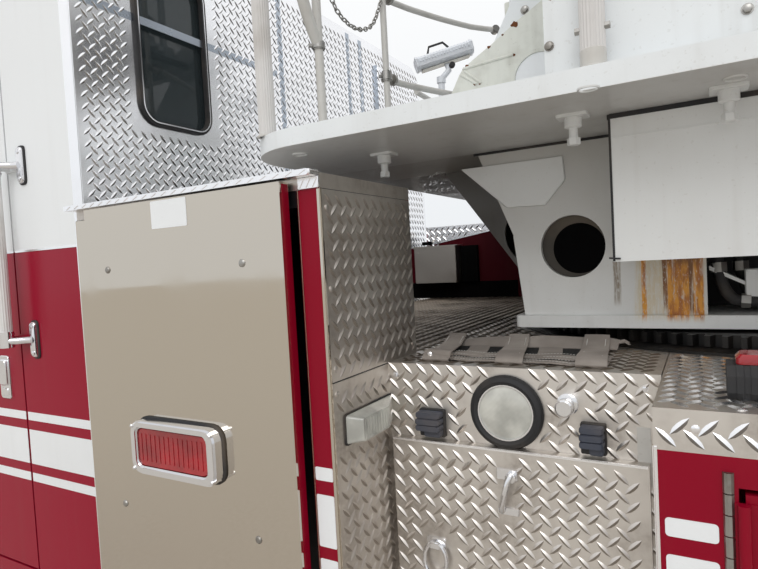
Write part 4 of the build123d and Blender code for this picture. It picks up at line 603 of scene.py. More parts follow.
def wire(made, shader, node, height=0, distance=0.001, colour=True):
    """A group's colour, roughness and height on the shader."""
    links = made.node_tree.links
    if colour:
        links.new(node.outputs["Color"], shader.inputs["Base Color"])
    links.new(node.outputs["Roughness"], shader.inputs["Roughness"])
    if height:
        bump(made.node_tree, shader, node.outputs["Height"], height, distance)


def painted(name, colour, dirt=0.2, roughness=0.22, coat=0.6, dust=DUST, patch=2.5, peel=0.06, shine=0.5):
    """Paint with a weathered film."""
    made, shader = finish(name, colour, 0, roughness, coat, Coat_Roughness=0.06, Specular_IOR_Level=shine)
    node = place_group(made, WEATHER, Paint=colour, Dirt=dust, Dirt_Amount=dirt, Roughness=roughness,
                       Patch_Scale=patch)
    wire(made, shader, node, peel, 0.0006)
    return made


def cab_paint():
    """Red below the break and white above it."""
    made, shader = finish("cab_paint", CAB_RED, 0, 0.26, 0.04, Coat_Roughness=0.05, Specular_IOR_Level=0.16)
    tone = place_group(made, TWO_TONE, Below=CAB_RED, Above=WHITE, Break=1.673)
    node = place_group(made, WEATHER, Dirt=DUST, Dirt_Amount=0.06, Roughness=0.22, Patch_Scale=1.5)
    made.node_tree.links.new(tone.outputs["Color"], node.inputs["Paint"])
    wire(made, shader, node, 0.05, 0.0006)
    return made


def housing_paint():
    """Red outside and black inside the stabilizer columns."""
    made, shader = finish("housing_paint", RED, 0, 0.3, 0.2, Specular_IOR_Level=0.35)
    tree = made.node_tree
    side = math(tree, "ABSOLUTE", coordinate(tree, 1))
    covered = math(tree, "MAXIMUM", math(tree, "LESS_THAN", side, 1.2655),
                   math(tree, "GREATER_THAN", coordinate(tree, 0), 0.996))
    within = times(tree, math(tree, "GREATER_THAN", side, 0.905), covered)
    node = place_group(made, WEATHER, Paint=RED, Dirt=DUST, Dirt_Amount=0.1, Roughness=0.28, Patch_Scale=2.5)
    colour = blend_colour(tree, within, node.outputs["Color"], rgb(20, 20, 22))
    tree.links.new(colour, shader.inputs["Base Color"])
    wire(made, shader, node, 0.05, 0.0006, colour=False)
    return made


def table_paint():
    """White turntable paint with grime, rust flecks and rust runs under the side boxes, and painted shade
    under the deck, in the middle of the base and on faces that look down.
    """
    made, shader = finish("table_paint", TABLE_WHITE, 0, 0.38, 0.15)
    tree = made.node_tree
    node = place_group(made, WEATHER, Paint=TABLE_WHITE, Dirt=rgb(140, 128, 108), Dirt_Amount=0.3,
                       Roughness=0.36, Patch_Scale=4)
    colour = node.outputs["Color"]
    brown = rgb(122, 66, 12)
    bloom = rgb(216, 194, 146)
    mottled = blend_colour(tree, noise(tree, 110, (1, 1, 0.22), 5, (0.4, 0.6)),
                           rgb(176, 98, 10),
                           rgb(230, 156, 30))
    for along, half, bottom, amount, stain in (
            # forward place, half width, lower end, strength, colour
            (0.375, 0.13, 1.4, 0.6, bloom),
            (0.358, 0.042, 1.4, 1.6, mottled),
            (0.318, 0.02, 1.4, 1.5, mottled),
            (0.428, 0.01, 1.4, 1.2, mottled),
            (0.384, 0.009, 1.42, 1.1, brown),
            (0.331, 0.008, 1.41, 1.2, brown),
            (-0.27, 0.07, 1.4, 0.8, RUST),
            (0.486, 0.016, 1.435, 0.9, DUST),
            (0.352, 0.07, 1.522, 1.2, brown)):
        run = place_group(made, RUST_RUNS, Along=along, Half_Width=half, Top=1.5472, Bottom=bottom,
                          Amount=amount)
        colour = blend_colour(tree, run.outputs["Mask"], colour, stain)
    height = coordinate(tree, 2)
    out = math(tree, "ABSOLUTE", coordinate(tree, 1))
    base = math(tree, "LESS_THAN", height, 1.851)
    plate = times(tree, base, math(tree, "LESS_THAN", out, 0.7155))
    # Painted shade on the base's side plates under the deck.
    film = times(tree, times(tree, between(tree, height, 1.46, 1.8), plate), 0.34)
    # Painted shade: the middle of the base under the deck is strongly darkened.
    middle = times(tree, base, math(tree, "LESS_THAN", out, 0.456))
    # Painted shade on faces that look down, just under the deck.
    down_facing_shade = times(tree, facing_down(tree, -0.9, -0.5), between(tree, height, 1.84, 1.86))
    flecks = times(tree, noise(tree, 17, (1, 1, 1), 5, (0.665, 0.7)), between(tree, height, 1.98, 2.06))
    for mask, stain in ((film, rgb(104, 90, 68)),
                        (times(tree, base, 0.13), rgb(158, 134, 84)),
                        (times(tree, middle, 0.72), rgb(70, 64, 58)),
                        (times(tree, down_facing_shade, 0.62), rgb(108, 98, 86)),
                        (flecks, rgb(120, 66, 24))):
        colour = blend_colour(tree, mask, colour, stain)
    tree.links.new(colour, shader.inputs["Base Color"])
    wire(made, shader, node, 0.1, 0.0008, colour=False)
    return made


def metal(name, colour, roughness=0.25, grime=0.2, grime_colour=DUST, height=0.05, patch=5):
    """Bare metal finish."""
    made, shader = finish(name, colour, 1, roughness)
    node = place_group(made, BARE, Metal=colour, Grime=grime_colour, Grime_Amount=grime, Roughness=roughness,
                       Patch_Scale=patch)
    wire(made, shader, node, height, 0.0006)
    return made


def lugs_with_painted_shade(name, colour, dark, roughness, grime):
    """Chequer plate lugs, with painted shade on the sides that face down."""
    made = metal(name, colour, roughness, grime, DUST, 0)
    tree = made.node_tree
    shader = tree.nodes["Principled BSDF"]
    given = shader.inputs["Base Color"].links[0].from_socket
    # Painted shade: the given dark colour goes on the sides that face down.
    down_facing_shade = facing_down(tree, -0.28, 0.02)
    tree.links.new(blend_colour(tree, down_facing_shade, given, dark), shader.inputs["Base Color"])
    return made


def mirror_sheet():
    """Polished stainless sheet with slight waves."""
    made, shader = finish("mirror_sheet", rgb(204, 196, 184), 1, 0.05)
    tree = made.node_tree
    haze = noise(tree, 7, (1, 1, 1), 5, (0.35, 0.75))
    tree.links.new(plus(tree, times(tree, haze, 0.09), 0.03), shader.inputs["Roughness"])
    bump(tree, shader, noise(tree, 3.2, (1, 1, 1), 1), 0.12, 0.004)
    return made


def rubber(name, colour, roughness=0.7, grain=120):
    """Moulded rubber or plastic with a fine grain."""
    made, shader = finish(name, colour, 0, roughness)
    tree = made.node_tree
    dust = noise(tree, 6, (1, 1, 1), 6, (0.45, 0.8))
    pale = tuple(c * 0.6 + d * 0.4 for c, d in zip(colour, DUST))
    tree.links.new(blend_colour(tree, dust, colour, pale), shader.inputs["Base Color"])
    bump(tree, shader, noise(tree, grain, (1, 1, 1), 3), 0.25, 0.0006)
    return made


def woven(name, colour, scale=420, fading=0.03):
    """Cloth or webbing with a crossing weave."""
    made, shader = finish(name, colour, 0, 0.85)
    tree = made.node_tree
    height = None
    for axis in ("X", "Y", "Z"):
        wave = waves(tree, axis, scale)
        wave.inputs["Distortion"].default_value = 0.6
        height = wave.outputs["Fac"] if height is None else plus(tree, height, wave.outputs["Fac"])
    fade = noise(tree, 9, (1, 1, 1), 5, (0.35, 0.75))
    worn = tuple(min(1, c * 1.35 + fading) for c in colour)
    tree.links.new(blend_colour(tree, fade, colour, worn), shader.inputs["Base Color"])
    bump(tree, shader, height, 0.35, 0.0005)
    return made


def lens(name, colour, roughness=0.12):
    """Moulded lamp lens with flutes."""
    made, shader = finish(name, colour, 0, roughness, 0.8, Coat_Roughness=0.04)
    tree = made.node_tree
    deep = tuple(c * 0.55 for c in colour)
    cloud = noise(tree, 14, (1, 1, 1), 3, (0.3, 0.7))
    tree.links.new(blend_colour(tree, cloud, colour, deep), shader.inputs["Base Color"])
    bump(tree, shader, waves(tree, "DIAGONAL", 60).outputs["Fac"], 0.2, 0.0008)
    return made


def cab_glazing():
    """Tinted glass with a faint film."""
    made, shader = finish("cab_glazing", rgb(96, 108, 112), 0, 0.03, 0, Transmission_Weight=0.75,
                          IOR=1.45)
    tree = made.node_tree
    film = noise(tree, 5, (1, 1, 1), 5, (0.4, 0.8))
    tree.links.new(plus(tree, times(tree, film, 0.06), 0.02), shader.inputs["Roughness"])
    return made


M_CAB = cab_paint()
M_RED = painted("body_red", RED, 0.04, 0.24, 0.04, shine=0.14)
M_HOUSING = housing_paint()
M_WHITE = painted("stripe_white", WHITE, 0.1, 0.35, 0.2)
M_TABLE = table_paint()
M_BLACK = painted("frame_black", rgb(34, 34, 36), 0.45, 0.5, 0, patch=4)
M_GREASE = painted("greased_black", rgb(16, 15, 15), 0.1, 0.45, 0, patch=9, shine=0.3)
M_CAST = painted("cast_grey", rgb(58, 57, 56), 0.6, 0.65, 0, RUST, 6, 0.3)
M_TREAD = metal("tread_alloy", rgb(250, 250, 252), 0.15, 0.05, DUST, 0.04)
# Each lug finish's second colour is painted shade for the lugs' sides that face down.
M_LUG = lugs_with_painted_shade("tread_lug", rgb(252, 252, 254), rgb(146, 143, 140), 0.16, 0.04)
M_DULL_TREAD = metal("tread_dull", rgb(224, 219, 213), 0.36, 0.4, rgb(118, 102, 86), 0.05,
                     9)
M_DULL_LUG = lugs_with_painted_shade("tread_dull_lug", rgb(218, 212, 206), rgb(172, 164, 155), 0.3, 0.16)
# Deck alloy with heavy grime, also made darker as painted shade for the deck under the turntable.
M_DECK = metal("deck_alloy", rgb(146, 136, 124), 0.46, 0.75, rgb(66, 55, 46), 0.05, 7)
M_MIRROR = mirror_sheet()
M_CHROME = metal("chrome", rgb(232, 232, 234), 0.07, 0.04, DUST, 0)
M_LADDER = metal("ladder_alloy", rgb(206, 208, 210), 0.42, 0.25, DUST, 0.06, 3)
M_WHEEL = metal("wheel_alloy", rgb(214, 214, 216), 0.22, 0.25, DUST, 0.02)
M_RAIL = painted("rail_white", rgb(205, 203, 198), 0.35, 0.4, 0.1, patch=12)
M_SLEEVE = rubber("rail_sleeve", rgb(214, 212, 210), 0.5, 90)
M_SLEEVE_WHITE = rubber("grab_sleeve", rgb(226, 226, 224), 0.45, 90)
M_LAMP_BODY = painted("lamp_white", rgb(236, 240, 246), 0.12, 0.35, 0.1, patch=9)
M_STEEL_BOX = metal("brushed_box", rgb(190, 184, 176), 0.3, 0.02, rgb(96, 84, 70), 0.08, 3)
M_STEEL = metal("plain_steel", rgb(168, 166, 162), 0.35, 0.45, rgb(96, 84, 70), 0.05, 12)
# Painted shade: dark red for the columns' inner faces, which lie in shade.
M_SHADE_RED = painted("inner_shade_red", rgb(70, 3, 17), 0.06, 0.4, 0, shine=0.1)
# Painted shadow: near-black for sheets and discs that stand where there is only shadow.
M_SHADOW = painted("inner_shadow_black", rgb(7, 7, 8), 0.02, 0.8, 0, shine=0.05)
M_SEAM = metal("plate_seam", rgb(176, 184, 194), 0.22, 0.05, DUST, 0)
M_HEEL = painted("heel_white", rgb(224, 226, 218), 0.55, 0.36, 0.15, rgb(146, 142, 128), 22)
M_INNER = rubber("inner_grey", rgb(66, 62, 56), 0.7)
M_RUSTY = rubber("rusted_edge", rgb(104, 58, 24), 0.9, 200)
M_RUNG = rubber("rung_sleeve", rgb(52, 52, 54), 0.7, 80)
M_SHUTTER = metal("shutter_alloy", rgb(202, 204, 207), 0.3, 0.1, DUST, 0.05, 2)
M_GLASS_BACK = metal("mirror_glass", rgb(238, 241, 244), 0.03, 0.02, DUST, 0)
M_RUBBER = rubber("black_rubber", rgb(38, 38, 40))
M_TYRE = rubber("tyre_rubber", rgb(40, 39, 38), 0.8, 60)
M_CATCH = rubber("catch_rubber", rgb(62, 67, 80), 0.55)
M_PLASTIC = rubber("cab_plastic", rgb(58, 58, 60), 0.6)
M_CLOTH = woven("seat_cloth", rgb(66, 68, 72))
M_WEBBING = woven("grey_webbing", rgb(142, 134, 127), 700)
# Painted shadow: near-black webbing for the shade beneath the net.
M_NET_SHADOW = woven("net_painted_shadow", rgb(8, 8, 9), 700, 0.001)
M_RED_LENS = lens("red_lens", rgb(176, 12, 30))
M_AMBER = lens("amber_lens", rgb(226, 120, 20))
M_CLEAR = lens("clear_lens", rgb(214, 214, 206), 0.18)
M_GLASS = cab_glazing()

SLOTS = {
    "dark_plastic": (M_RUBBER, M_SHADOW, M_CATCH, M_PLASTIC),
    "chrome": (M_CHROME, M_GLASS_BACK),
    "lens": (M_CLEAR, M_RED_LENS, M_AMBER),
    "treadplate": (M_TREAD, M_LUG, M_DULL_LUG, M_DULL_TREAD, M_SEAM, M_DECK, M_SHUTTER),
    "white_paint": (M_WHITE, M_TABLE, M_HEEL, M_RUSTY, M_LAMP_BODY, M_SLEEVE_WHITE),
    "red_paint": (M_RED, M_SHADE_RED),
    "mirror_steel": (M_MIRROR, M_STEEL_BOX, M_STEEL),
    "rail_alloy": (M_RAIL, M_SLEEVE),
    "ladder_alloy": (M_RUNG,),
    "frame_paint": (M_GREASE,),
    "rubber_tyre": (M_TYRE,),
    "seat_cloth": (M_CLOTH, M_WEBBING, M_NET_SHADOW),
}
SLOT_OF = {material.name: slot for slot, materials in SLOTS.items() for material in materials}

NODE_FINISH = {
    "chassis_frame": M_BLACK, "front_axle": M_CAST, "rear_axle": M_CAST, "engine": M_CAST, "cab_front": M_CAB,
    "cab_roof": M_CAB, "cab_sides": M_CAB, "cab_rear_wall": M_TREAD, "cab_floor": M_PLASTIC,
               "cab_glass": M_GLASS,
    "grille": M_CHROME, "front_bumper": M_MIRROR, "lamps": M_CHROME, "light_bar": M_CHROME,
    "mirrors": M_CHROME, "body_sides": M_RED, "body_decks": M_DULL_TREAD, "stabilizer_housings": M_HOUSING,
    "turntable": M_TABLE, "turntable_rails": M_RAIL, "ladder_base": M_LADDER, "ladder_second": M_LADDER,
    "ladder_third": M_LADDER, "ladder_fly": M_LADDER, "lift_barrels": M_TABLE, "lift_rods": M_CHROME,
    "knuckle": M_CAST, "rim_front": M_WHEEL, "rims_rear": M_WHEEL, "front_door": M_CAB, "crew_door": M_CAB,
    "front_glass": M_GLASS, "crew_glass": M_GLASS, "locker_front": M_RED, "locker_rear": M_RED,
    "recess_door": M_DULL_TREAD, "stabilizer_beam": M_TABLE, "stabilizer_cover": M_MIRROR,
               "jack_front": M_STEEL,
    "jack_rear": M_STEEL, "tyre_front": M_TYRE, "tyres_rear": M_TYRE, "seats": M_CLOTH,
}
for node_name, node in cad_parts.items():
    plain = node_name.rsplit("_", 1)[0] if node_name.endswith(("_left", "_right")) else node_name
    node.data.materials.clear()
    node.data.materials.append(NODE_FINISH[plain])


# Camera, light and floor
def photo_camera():
    """Camera at the photograph's place and angle."""
    yaw, pitch, roll = radians(60.141), radians(-2.351), radians(-3.149)
    ahead = Vector((cos(yaw) * cos(pitch), -sin(yaw) * cos(pitch), sin(pitch)))
    right = ahead.cross(Vector(UP)).normalized()
    up = right.cross(ahead)
    level_right = right * cos(roll) + up * sin(roll)
    level_up = up * cos(roll) - right * sin(roll)
    data = bpy.data.cameras.new("photo_camera")
    data.sensor_width = 36
    data.lens = 572 / 758 * 36
    data.clip_start = 0.02
    camera = bpy.data.objects.new("photo_camera", data)
    matrix = Matrix((level_right, level_up, -ahead)).transposed().to_4x4()
    matrix.translation = (0.3, 2.181, 1.58)
    camera.matrix_world = matrix
    bpy.context.scene.collection.objects.link(camera)
    bpy.context.scene.camera = camera


def studio():
    """Pale floor, even sky and one soft key light."""
    scene = bpy.context.scene
    scene.view_settings.view_transform = "Standard"
    world = bpy.data.worlds.new("even_sky")
    world.use_nodes = True
    tree = world.node_tree
    tree.nodes.clear()
    path = tree.nodes.new("ShaderNodeLightPath")
    seen = math(tree, "MAXIMUM", path.outputs["Is Camera Ray"],
                math(tree, "MAXIMUM", path.outputs["Is Glossy Ray"], path.outputs["Is Transmission Ray"]))
    way = tree.nodes.new("ShaderNodeTexCoord").outputs["Generated"]
    height = between(tree, part_of(tree, way, 2), -0.02, 0.5)
    shown = tree.nodes.new("ShaderNodeBackground")
    tree.links.new(blend_colour(tree, height, rgb(238, 241, 244), rgb(253, 254, 255)),
                   shown.inputs["Color"])
    light = tree.nodes.new("ShaderNodeBackground")
    light.inputs["Color"].default_value = (1, 1, 1, 1)
    light.inputs["Strength"].default_value = 0.8
    mix = tree.nodes.new("ShaderNodeMixShader")
    out = tree.nodes.new("ShaderNodeOutputWorld")
    tree.links.new(seen, mix.inputs[0])
    tree.links.new(light.outputs[0], mix.inputs[1])
    tree.links.new(shown.outputs[0], mix.inputs[2])
    tree.links.new(mix.outputs[0], out.inputs["Surface"])
    scene.world = world

    data = bpy.data.lights.new("soft_key", "SUN")
    data.energy = 0.9
    data.angle = radians(35)
    lamp = bpy.data.objects.new("soft_key", data)
    lamp.rotation_euler = (radians(-48), 0, radians(18))
    scene.collection.objects.link(lamp)

    made, shader = finish("floor_pale", rgb(208, 203, 194), 0, 0.85)
    ground = noise(made.node_tree, 40, (1, 1, 1), 3, (0.3, 0.7))
    colour = blend_colour(made.node_tree, ground, rgb(206, 201, 192), rgb(211, 206, 198))
    made.node_tree.links.new(colour, shader.inputs["Base Color"])
    mesh = bpy.data.meshes.new("floor")
    reach = 60
    mesh.from_pydata([(-reach, -reach, 0), (reach, -reach, 0), (reach, reach, 0), (-reach, reach, 0)], [],
                     [(0, 1, 2, 3)])
    mesh.materials.append(made)
    floor = bpy.data.objects.new("floor", mesh)
    scene.collection.objects.link(floor)


photo_camera()
studio()


# Chequer plate
RING_RADIUS = 0.85
TURN_STATION = 5.9


def clear_ring(a, b):
    """Outside the slewing ring's skirt."""
    return hypot(a - TURN_STATION, b) > RING_RADIUS + 0.014


def chequer_plate():
    """Lugs on every chequer plate surface."""
    wall = Work()
    windows = [(0.615, 0.976, 2.03, 2.63), (-0.99, -0.6, 2.012, 2.648)]
    tread_lugs(wall, rear_face(CAB_BACK), -1.148, 1.148, 1.02, 2.735, outside(windows, 0.008))
    tread_lugs(wall, rear_face(CAB_BACK + 0.0165), -0.998, -0.592, 2.006, 2.654)
    make("cab_wall_lugs", wall, M_LUG)

    columns = Work()
    back = rear_face(COLUMN_BACK)
    sheet = rear_face(COLUMN_BACK + 0.0015)
    lamp = [(1.03, 1.235, 1.207, 1.276)]
    tread_lugs(columns, sheet, 0.888, 1.262, 1.352, 1.722, outside(lamp))
    tread_lugs(columns, sheet, 0.888, 1.262, 0.65, 1.338, outside(lamp))
    make_both("column_lugs", columns, M_DULL_LUG)

    caps = Work()
    tread_lugs(caps, top_face(1.758), 4.235, 5, 0.89, 1.262)
    tread_lugs(caps, side_face(COLUMN_SIDE), 4.235, 5, 1.731, 1.7545)
    tread_lugs(caps, back, 0.89, 1.262, 1.731, 1.7545)
    make_both("cap_lugs", caps, M_LUG)

    recess = Work()
    fittings = [(5.086, 5.142, 1.19, 1.243), (5.431, 5.474, 1.19, 1.243), (5.02, 5.55, 0.6, 1.178),
                (5.529, 5.5525, 1.135, 1.245)]
    tread_lugs(recess, side_face(RECESS), 5.006, 5.574, 0.565, 1.352,
               around([(5.2815, 1.253, 0.077), (5.406, 1.279, 0.021)], fittings))
    tread_lugs(recess, front_face(5.574), RECESS + 0.002, 1.268, 0.6, 1.28)
    make_both("recess_lugs", recess, M_DULL_LUG)

    door = Work()
    hinge = [(5.255, 5.3, 1.03, 1.15), (5.085, 5.17, 0.86, 0.97)]
    tread_lugs(door, side_face(1.0585), 5.022, 5.548, 0.637, 1.178, outside(hinge, 0.004))
    make_both("recess_door_lugs", door, M_DULL_LUG, "recess_door_left")

    edge = Work()
    tread_lugs(edge, top_face(DECK), 5.58, 6.56, 0.6, 1.262, clear_ring)
    tread_lugs(edge, top_face(DECK), 6.56, 7.69, 0.98, 1.262, None, 0.045)
    tread_lugs(edge, side_face(BODY_SIDE), 5.58, 7.69, 1.29, 1.342)
    tread_lugs(edge, top_face(BOX_TOP), 7.71, 11.09, 0.61, 1.262, None, 0.054)
    make_both("body_edge_lugs", edge, M_LUG)

    steps = Work()
    tread_lugs(steps, top_face(0.6), 11.11, 11.35, -1.2, 1.2)
    tread_lugs(steps, top_face(0.78), 0.17, 0.46, -1.15, 1.15, outside([(0, 0.5, -0.45, 0.45)]))
    tread_lugs(steps, rear_face(11.1015), -0.58, 0.58, 0.93, 1.59)
    make("step_lugs", steps, M_LUG)
    sheets = Work()
    bar(sheets, top_face(2.25), 7.702, 11.098, 0.602, 1.2685, 0, 0.0015)
    bar(sheets, front_face(5.575), RECESS + 0.001, 1.2685, 0.562, 1.283, 0, 0.001)
    make_both("body_sheets", sheets, M_TREAD)
    back_sheet = Work()
    bar(back_sheet, rear_face(BODY_BACK), -0.59, 0.59, 0.92, 1.6, 0, 0.0015)
    make("rear_sheet", back_sheet, M_TREAD)


def deck_plates():
    """Chequer deck round the turntable, the plate between the columns and the rails of the hose bed."""
    deck = Work()
    top = top_face(DECK)
    bar(deck, top, 4.236, 5.004, -0.884, 0.884, -0.008, 0)
    for y in (-0.45, 0, 0.45):
        bar(deck, under_face(DECK - 0.008), 4.24, 5, y - 0.02, y + 0.02, 0, 0.05)
    tread_lugs(deck, top, 4.24, 5.575, -0.88, 1.02, lambda a, b: clear_ring(a, b) and (b < 0.88 or a > 5.015))
    tread_lugs(deck, top, 5.01, 5.575, -1.02, -0.88)
    for i in range(30):
        s = 6.62 + 0.036 * i
        bar(deck, top, s, s + 0.014, -0.96, 0.96, 0, 0.003)
    make("deck_plates", deck, M_DECK)


chequer_plate()
deck_plates()

# Stripes
CAB_BANDS = ((0.925, 0.953), (0.983, 1.096), (1.127, 1.154))
BODY_BANDS = ((0.975, 1.005), (1.03, 1.129), (1.156, 1.184))
POST_BANDS = ((0.957, 0.987), (1.012, 1.119), (1.148, 1.175))
STRIPE_RUNS = (
    # piece, body, face, bands, corner, stations
    ("cab_stripes", "chassis", CAB_SIDE, CAB_BANDS, 0.002, ((3.724, 4.084),)),
    ("front_door_stripes", "front_door_left", CAB_SIDE, CAB_BANDS, 0.002, ((0.744, 1.541),)),
    ("crew_door_stripes", "crew_door_left", CAB_SIDE, CAB_BANDS, 0.002, ((2.919, 3.712),)),
    ("post_stripes", "chassis", BODY_SIDE, BODY_BANDS, 0.0055,
     ((5.587, 5.655), (6.606, 6.674), (7.426, 7.652), (8.946, 9.552), (10.966, 11.094))),
    ("locker_front_stripes", "locker_front_left", BODY_SIDE, BODY_BANDS, 0.0055, ((5.686, 6.592),)),
    ("locker_rear_stripes", "locker_rear_left", BODY_SIDE, BODY_BANDS, 0.0055, ((9.568, 10.954),)),
)


def stripes():
    """White reflective bands along the cab, doors, lockers and posts."""
    for name, body, y, bands, corner, stations in STRIPE_RUNS:
        work = Work()
        for s0, s1 in stations:
            for z0, z1 in bands:
                slab(work, side_face(y), rounded(s0, s1, z0, z1, corner), 0, 0.0008)
        make_both(name, work, M_WHITE, body)
    post = Work()
    for z0, z1 in POST_BANDS:
        slab(post, side_face(COLUMN_SIDE + 0.002), rounded(4.9565, 4.9985, z0, z1, 0.003), 0, 0.0008)
    make_both("column_stripes", post, M_WHITE)


# Stabilizer column and its cover
def column_cladding():
    """Chequer sheets, red post, trims and marker lamp of the stabilizer columns."""
    back = rear_face(COLUMN_BACK)
    side = side_face(COLUMN_SIDE)
    sheet = Work()
    for z0, z1 in ((0.645, 1.3425), (1.3455, 1.7265)):
        bar(sheet, back, 0.888, 1.2665, z0, z1, 0, 0.0015)
    for y, z in ((1.25, 1.69), (1.25, 1.53), (1.25, 1.37), (1.25, 1.32), (1.25, 0.95), (1.25, 0.7),
                 (0.905, 1.69), (0.905, 1.37)):
        screw(sheet, rear_face(COLUMN_BACK + 0.0015), y, z, 0.007, 0.003)
    make_both("column_sheets", sheet, M_DULL_TREAD)

    post = Work()
    bar(post, side, 4.9555, 5, COLUMN_LOW, COLUMN_HIGH, 0, 0.002)
    make_both("column_posts", post, M_RED)

    trim = Work()
    bar(trim, side, 5.0005, 5.0065, COLUMN_LOW, COLUMN_HIGH, 0, 0.0045, 0.001)
    bar(trim, side, 4.953, 4.9555, COLUMN_LOW, COLUMN_HIGH, 0, 0.0045)
    bar(trim, back, 1.2665, 1.2705, COLUMN_LOW, COLUMN_HIGH, -0.004, 0.003)
    bar(trim, side, 4.2315, 4.3145, COLUMN_LOW, COLUMN_HIGH, 0, 0.006, 0.002)
    make_both("column_trims", trim, M_MIRROR)
    lip = Work()
    bar(lip, side, 4.229, 5.006, 1.7505, 1.7625, 0, 0.033, 0.004)
    bar(lip, side, 4.956, 5.006, 1.728, 1.7505, 0, 0.006, 0.002)
    bar(lip, front_face(4.23), 0.886, 1.3, 1.7505, 1.7625, -0.002, 0.004)
    for i in range(24):
        s = 4.234 + 0.0322 * i
        slab(lip, side_face(1.301), [(s, 1.753), (s + 0.007, 1.7522), (s + 0.023, 1.7596),
                                     (s + 0.016, 1.7606)], 0, 0.0016)
    for i in range(3):
        s = 4.958 + 0.0155 * i
        slab(lip, side_face(COLUMN_SIDE + 0.006),
             [(s, 1.731), (s + 0.004, 1.73), (s + 0.015, 1.747), (s + 0.011, 1.748)], 0, 0.0018)
    make_both("cap_lips", lip, M_TREAD)

    marker = Work()
    foot = rounded(1.036, 1.23, 1.212, 1.271, 0.006)
    front = rounded(1.105, 1.213, 1.217, 1.264, 0.005)
    count = len(foot)
    points = [(a, b, 0.002) for a, b in foot] + [(a, b, 0.006) for a, b in foot] + [(a, b, 0.036) for a,
                                                                                    b in front]
    polygons = [list(range(count))[::-1], [2 * count + i for i in range(count)]]
    for k in (0, count):
        polygons += [[k + i, k + (i + 1) % count, k + count + (i + 1) % count,
                      k + count + i] for i in range(count)]
    marker.add(back, points, polygons)
    for i in range(9):
        bar(marker, back, 1.112 + 0.011 * i, 1.119 + 0.011 * i, 1.221, 1.26, 0.035, 0.0372)
    make_both("marker_lamps", marker, M_CLEAR)
    holder = Work()
    band(holder, back, rounded(1.033, 1.233, 1.209, 1.274, 0.007),
         rounded(1.037, 1.229, 1.213, 1.27, 0.006), 0, 0.005)
    make_both("marker_frames", holder, M_RUBBER)


def cover_details():
    """Warning light, blank plate, fasteners and edges of the polished stabilizer covers."""
    face = side_face(COVER)
    edge = Work()
    bar(edge, rear_face(4.935), 1.278, 1.2965, 0.603, 1.741, 0, 0.0012)
    bar(edge, front_face(4.315), 1.278, 1.2965, 0.603, 1.741, 0, 0.0012)
    make_both("cover_edges", edge, M_RED, "stabilizer_left")

    rubber_pad = Work()
    slab(rubber_pad, face, rounded(4.468, 4.746, 1.114, 1.247, 0.034), 0, 0.005, 0.001)
    make_both("warning_gaskets", rubber_pad, M_RUBBER, "stabilizer_left")

    bezel = Work()
    band(bezel, face, rounded(4.472, 4.742, 1.118, 1.243, 0.03), rounded(4.492, 4.718, 1.137, 1.226, 0.016),
         0.005, 0.026)
    band(bezel, face, rounded(4.476, 4.738, 1.122, 1.239, 0.027), rounded(4.489, 4.721, 1.134, 1.229, 0.017),
         0.026, 0.031)
    for s, z in ((4.482, 1.131), (4.732, 1.131), (4.482, 1.23), (4.732, 1.23)):
        turned(bezel, face, s, z, [(0.0045, 0), (0.0045, 0.033), (0.003, 0.0345)], 10)
    make_both("warning_bezels", bezel, M_CHROME, "stabilizer_left")

    red = Work()
    slab(red, face, rounded(4.4915, 4.7185, 1.1365, 1.2265, 0.015), 0.005, 0.025, 0.006)
    for i in range(15):
        s = 4.5 + 0.015 * i
        bar(red, face, s, s + 0.0075, 1.15, 1.213, 0.024, 0.0262)
    make_both("warning_lenses", red, M_RED_LENS, "stabilizer_left")

    plate = Work()
    slab(plate, face, rounded(4.562, 4.676, 1.68, 1.742, 0.003), 0, 0.0008)
    make_both("blank_plates", plate, M_WHITE, "stabilizer_left")

    heads = Work()
    for s, z in ((4.393, 1.594), (4.827, 1.591), (4.396, 1.02), (4.824, 1.013)):
        turned(heads, face, s, z, [(0.0085, 0), (0.0085, 0.001), (0.006, 0.0035), (0.002, 0.0042)], 14)
    make_both("cover_rivets", heads, M_STEEL, "stabilizer_left")


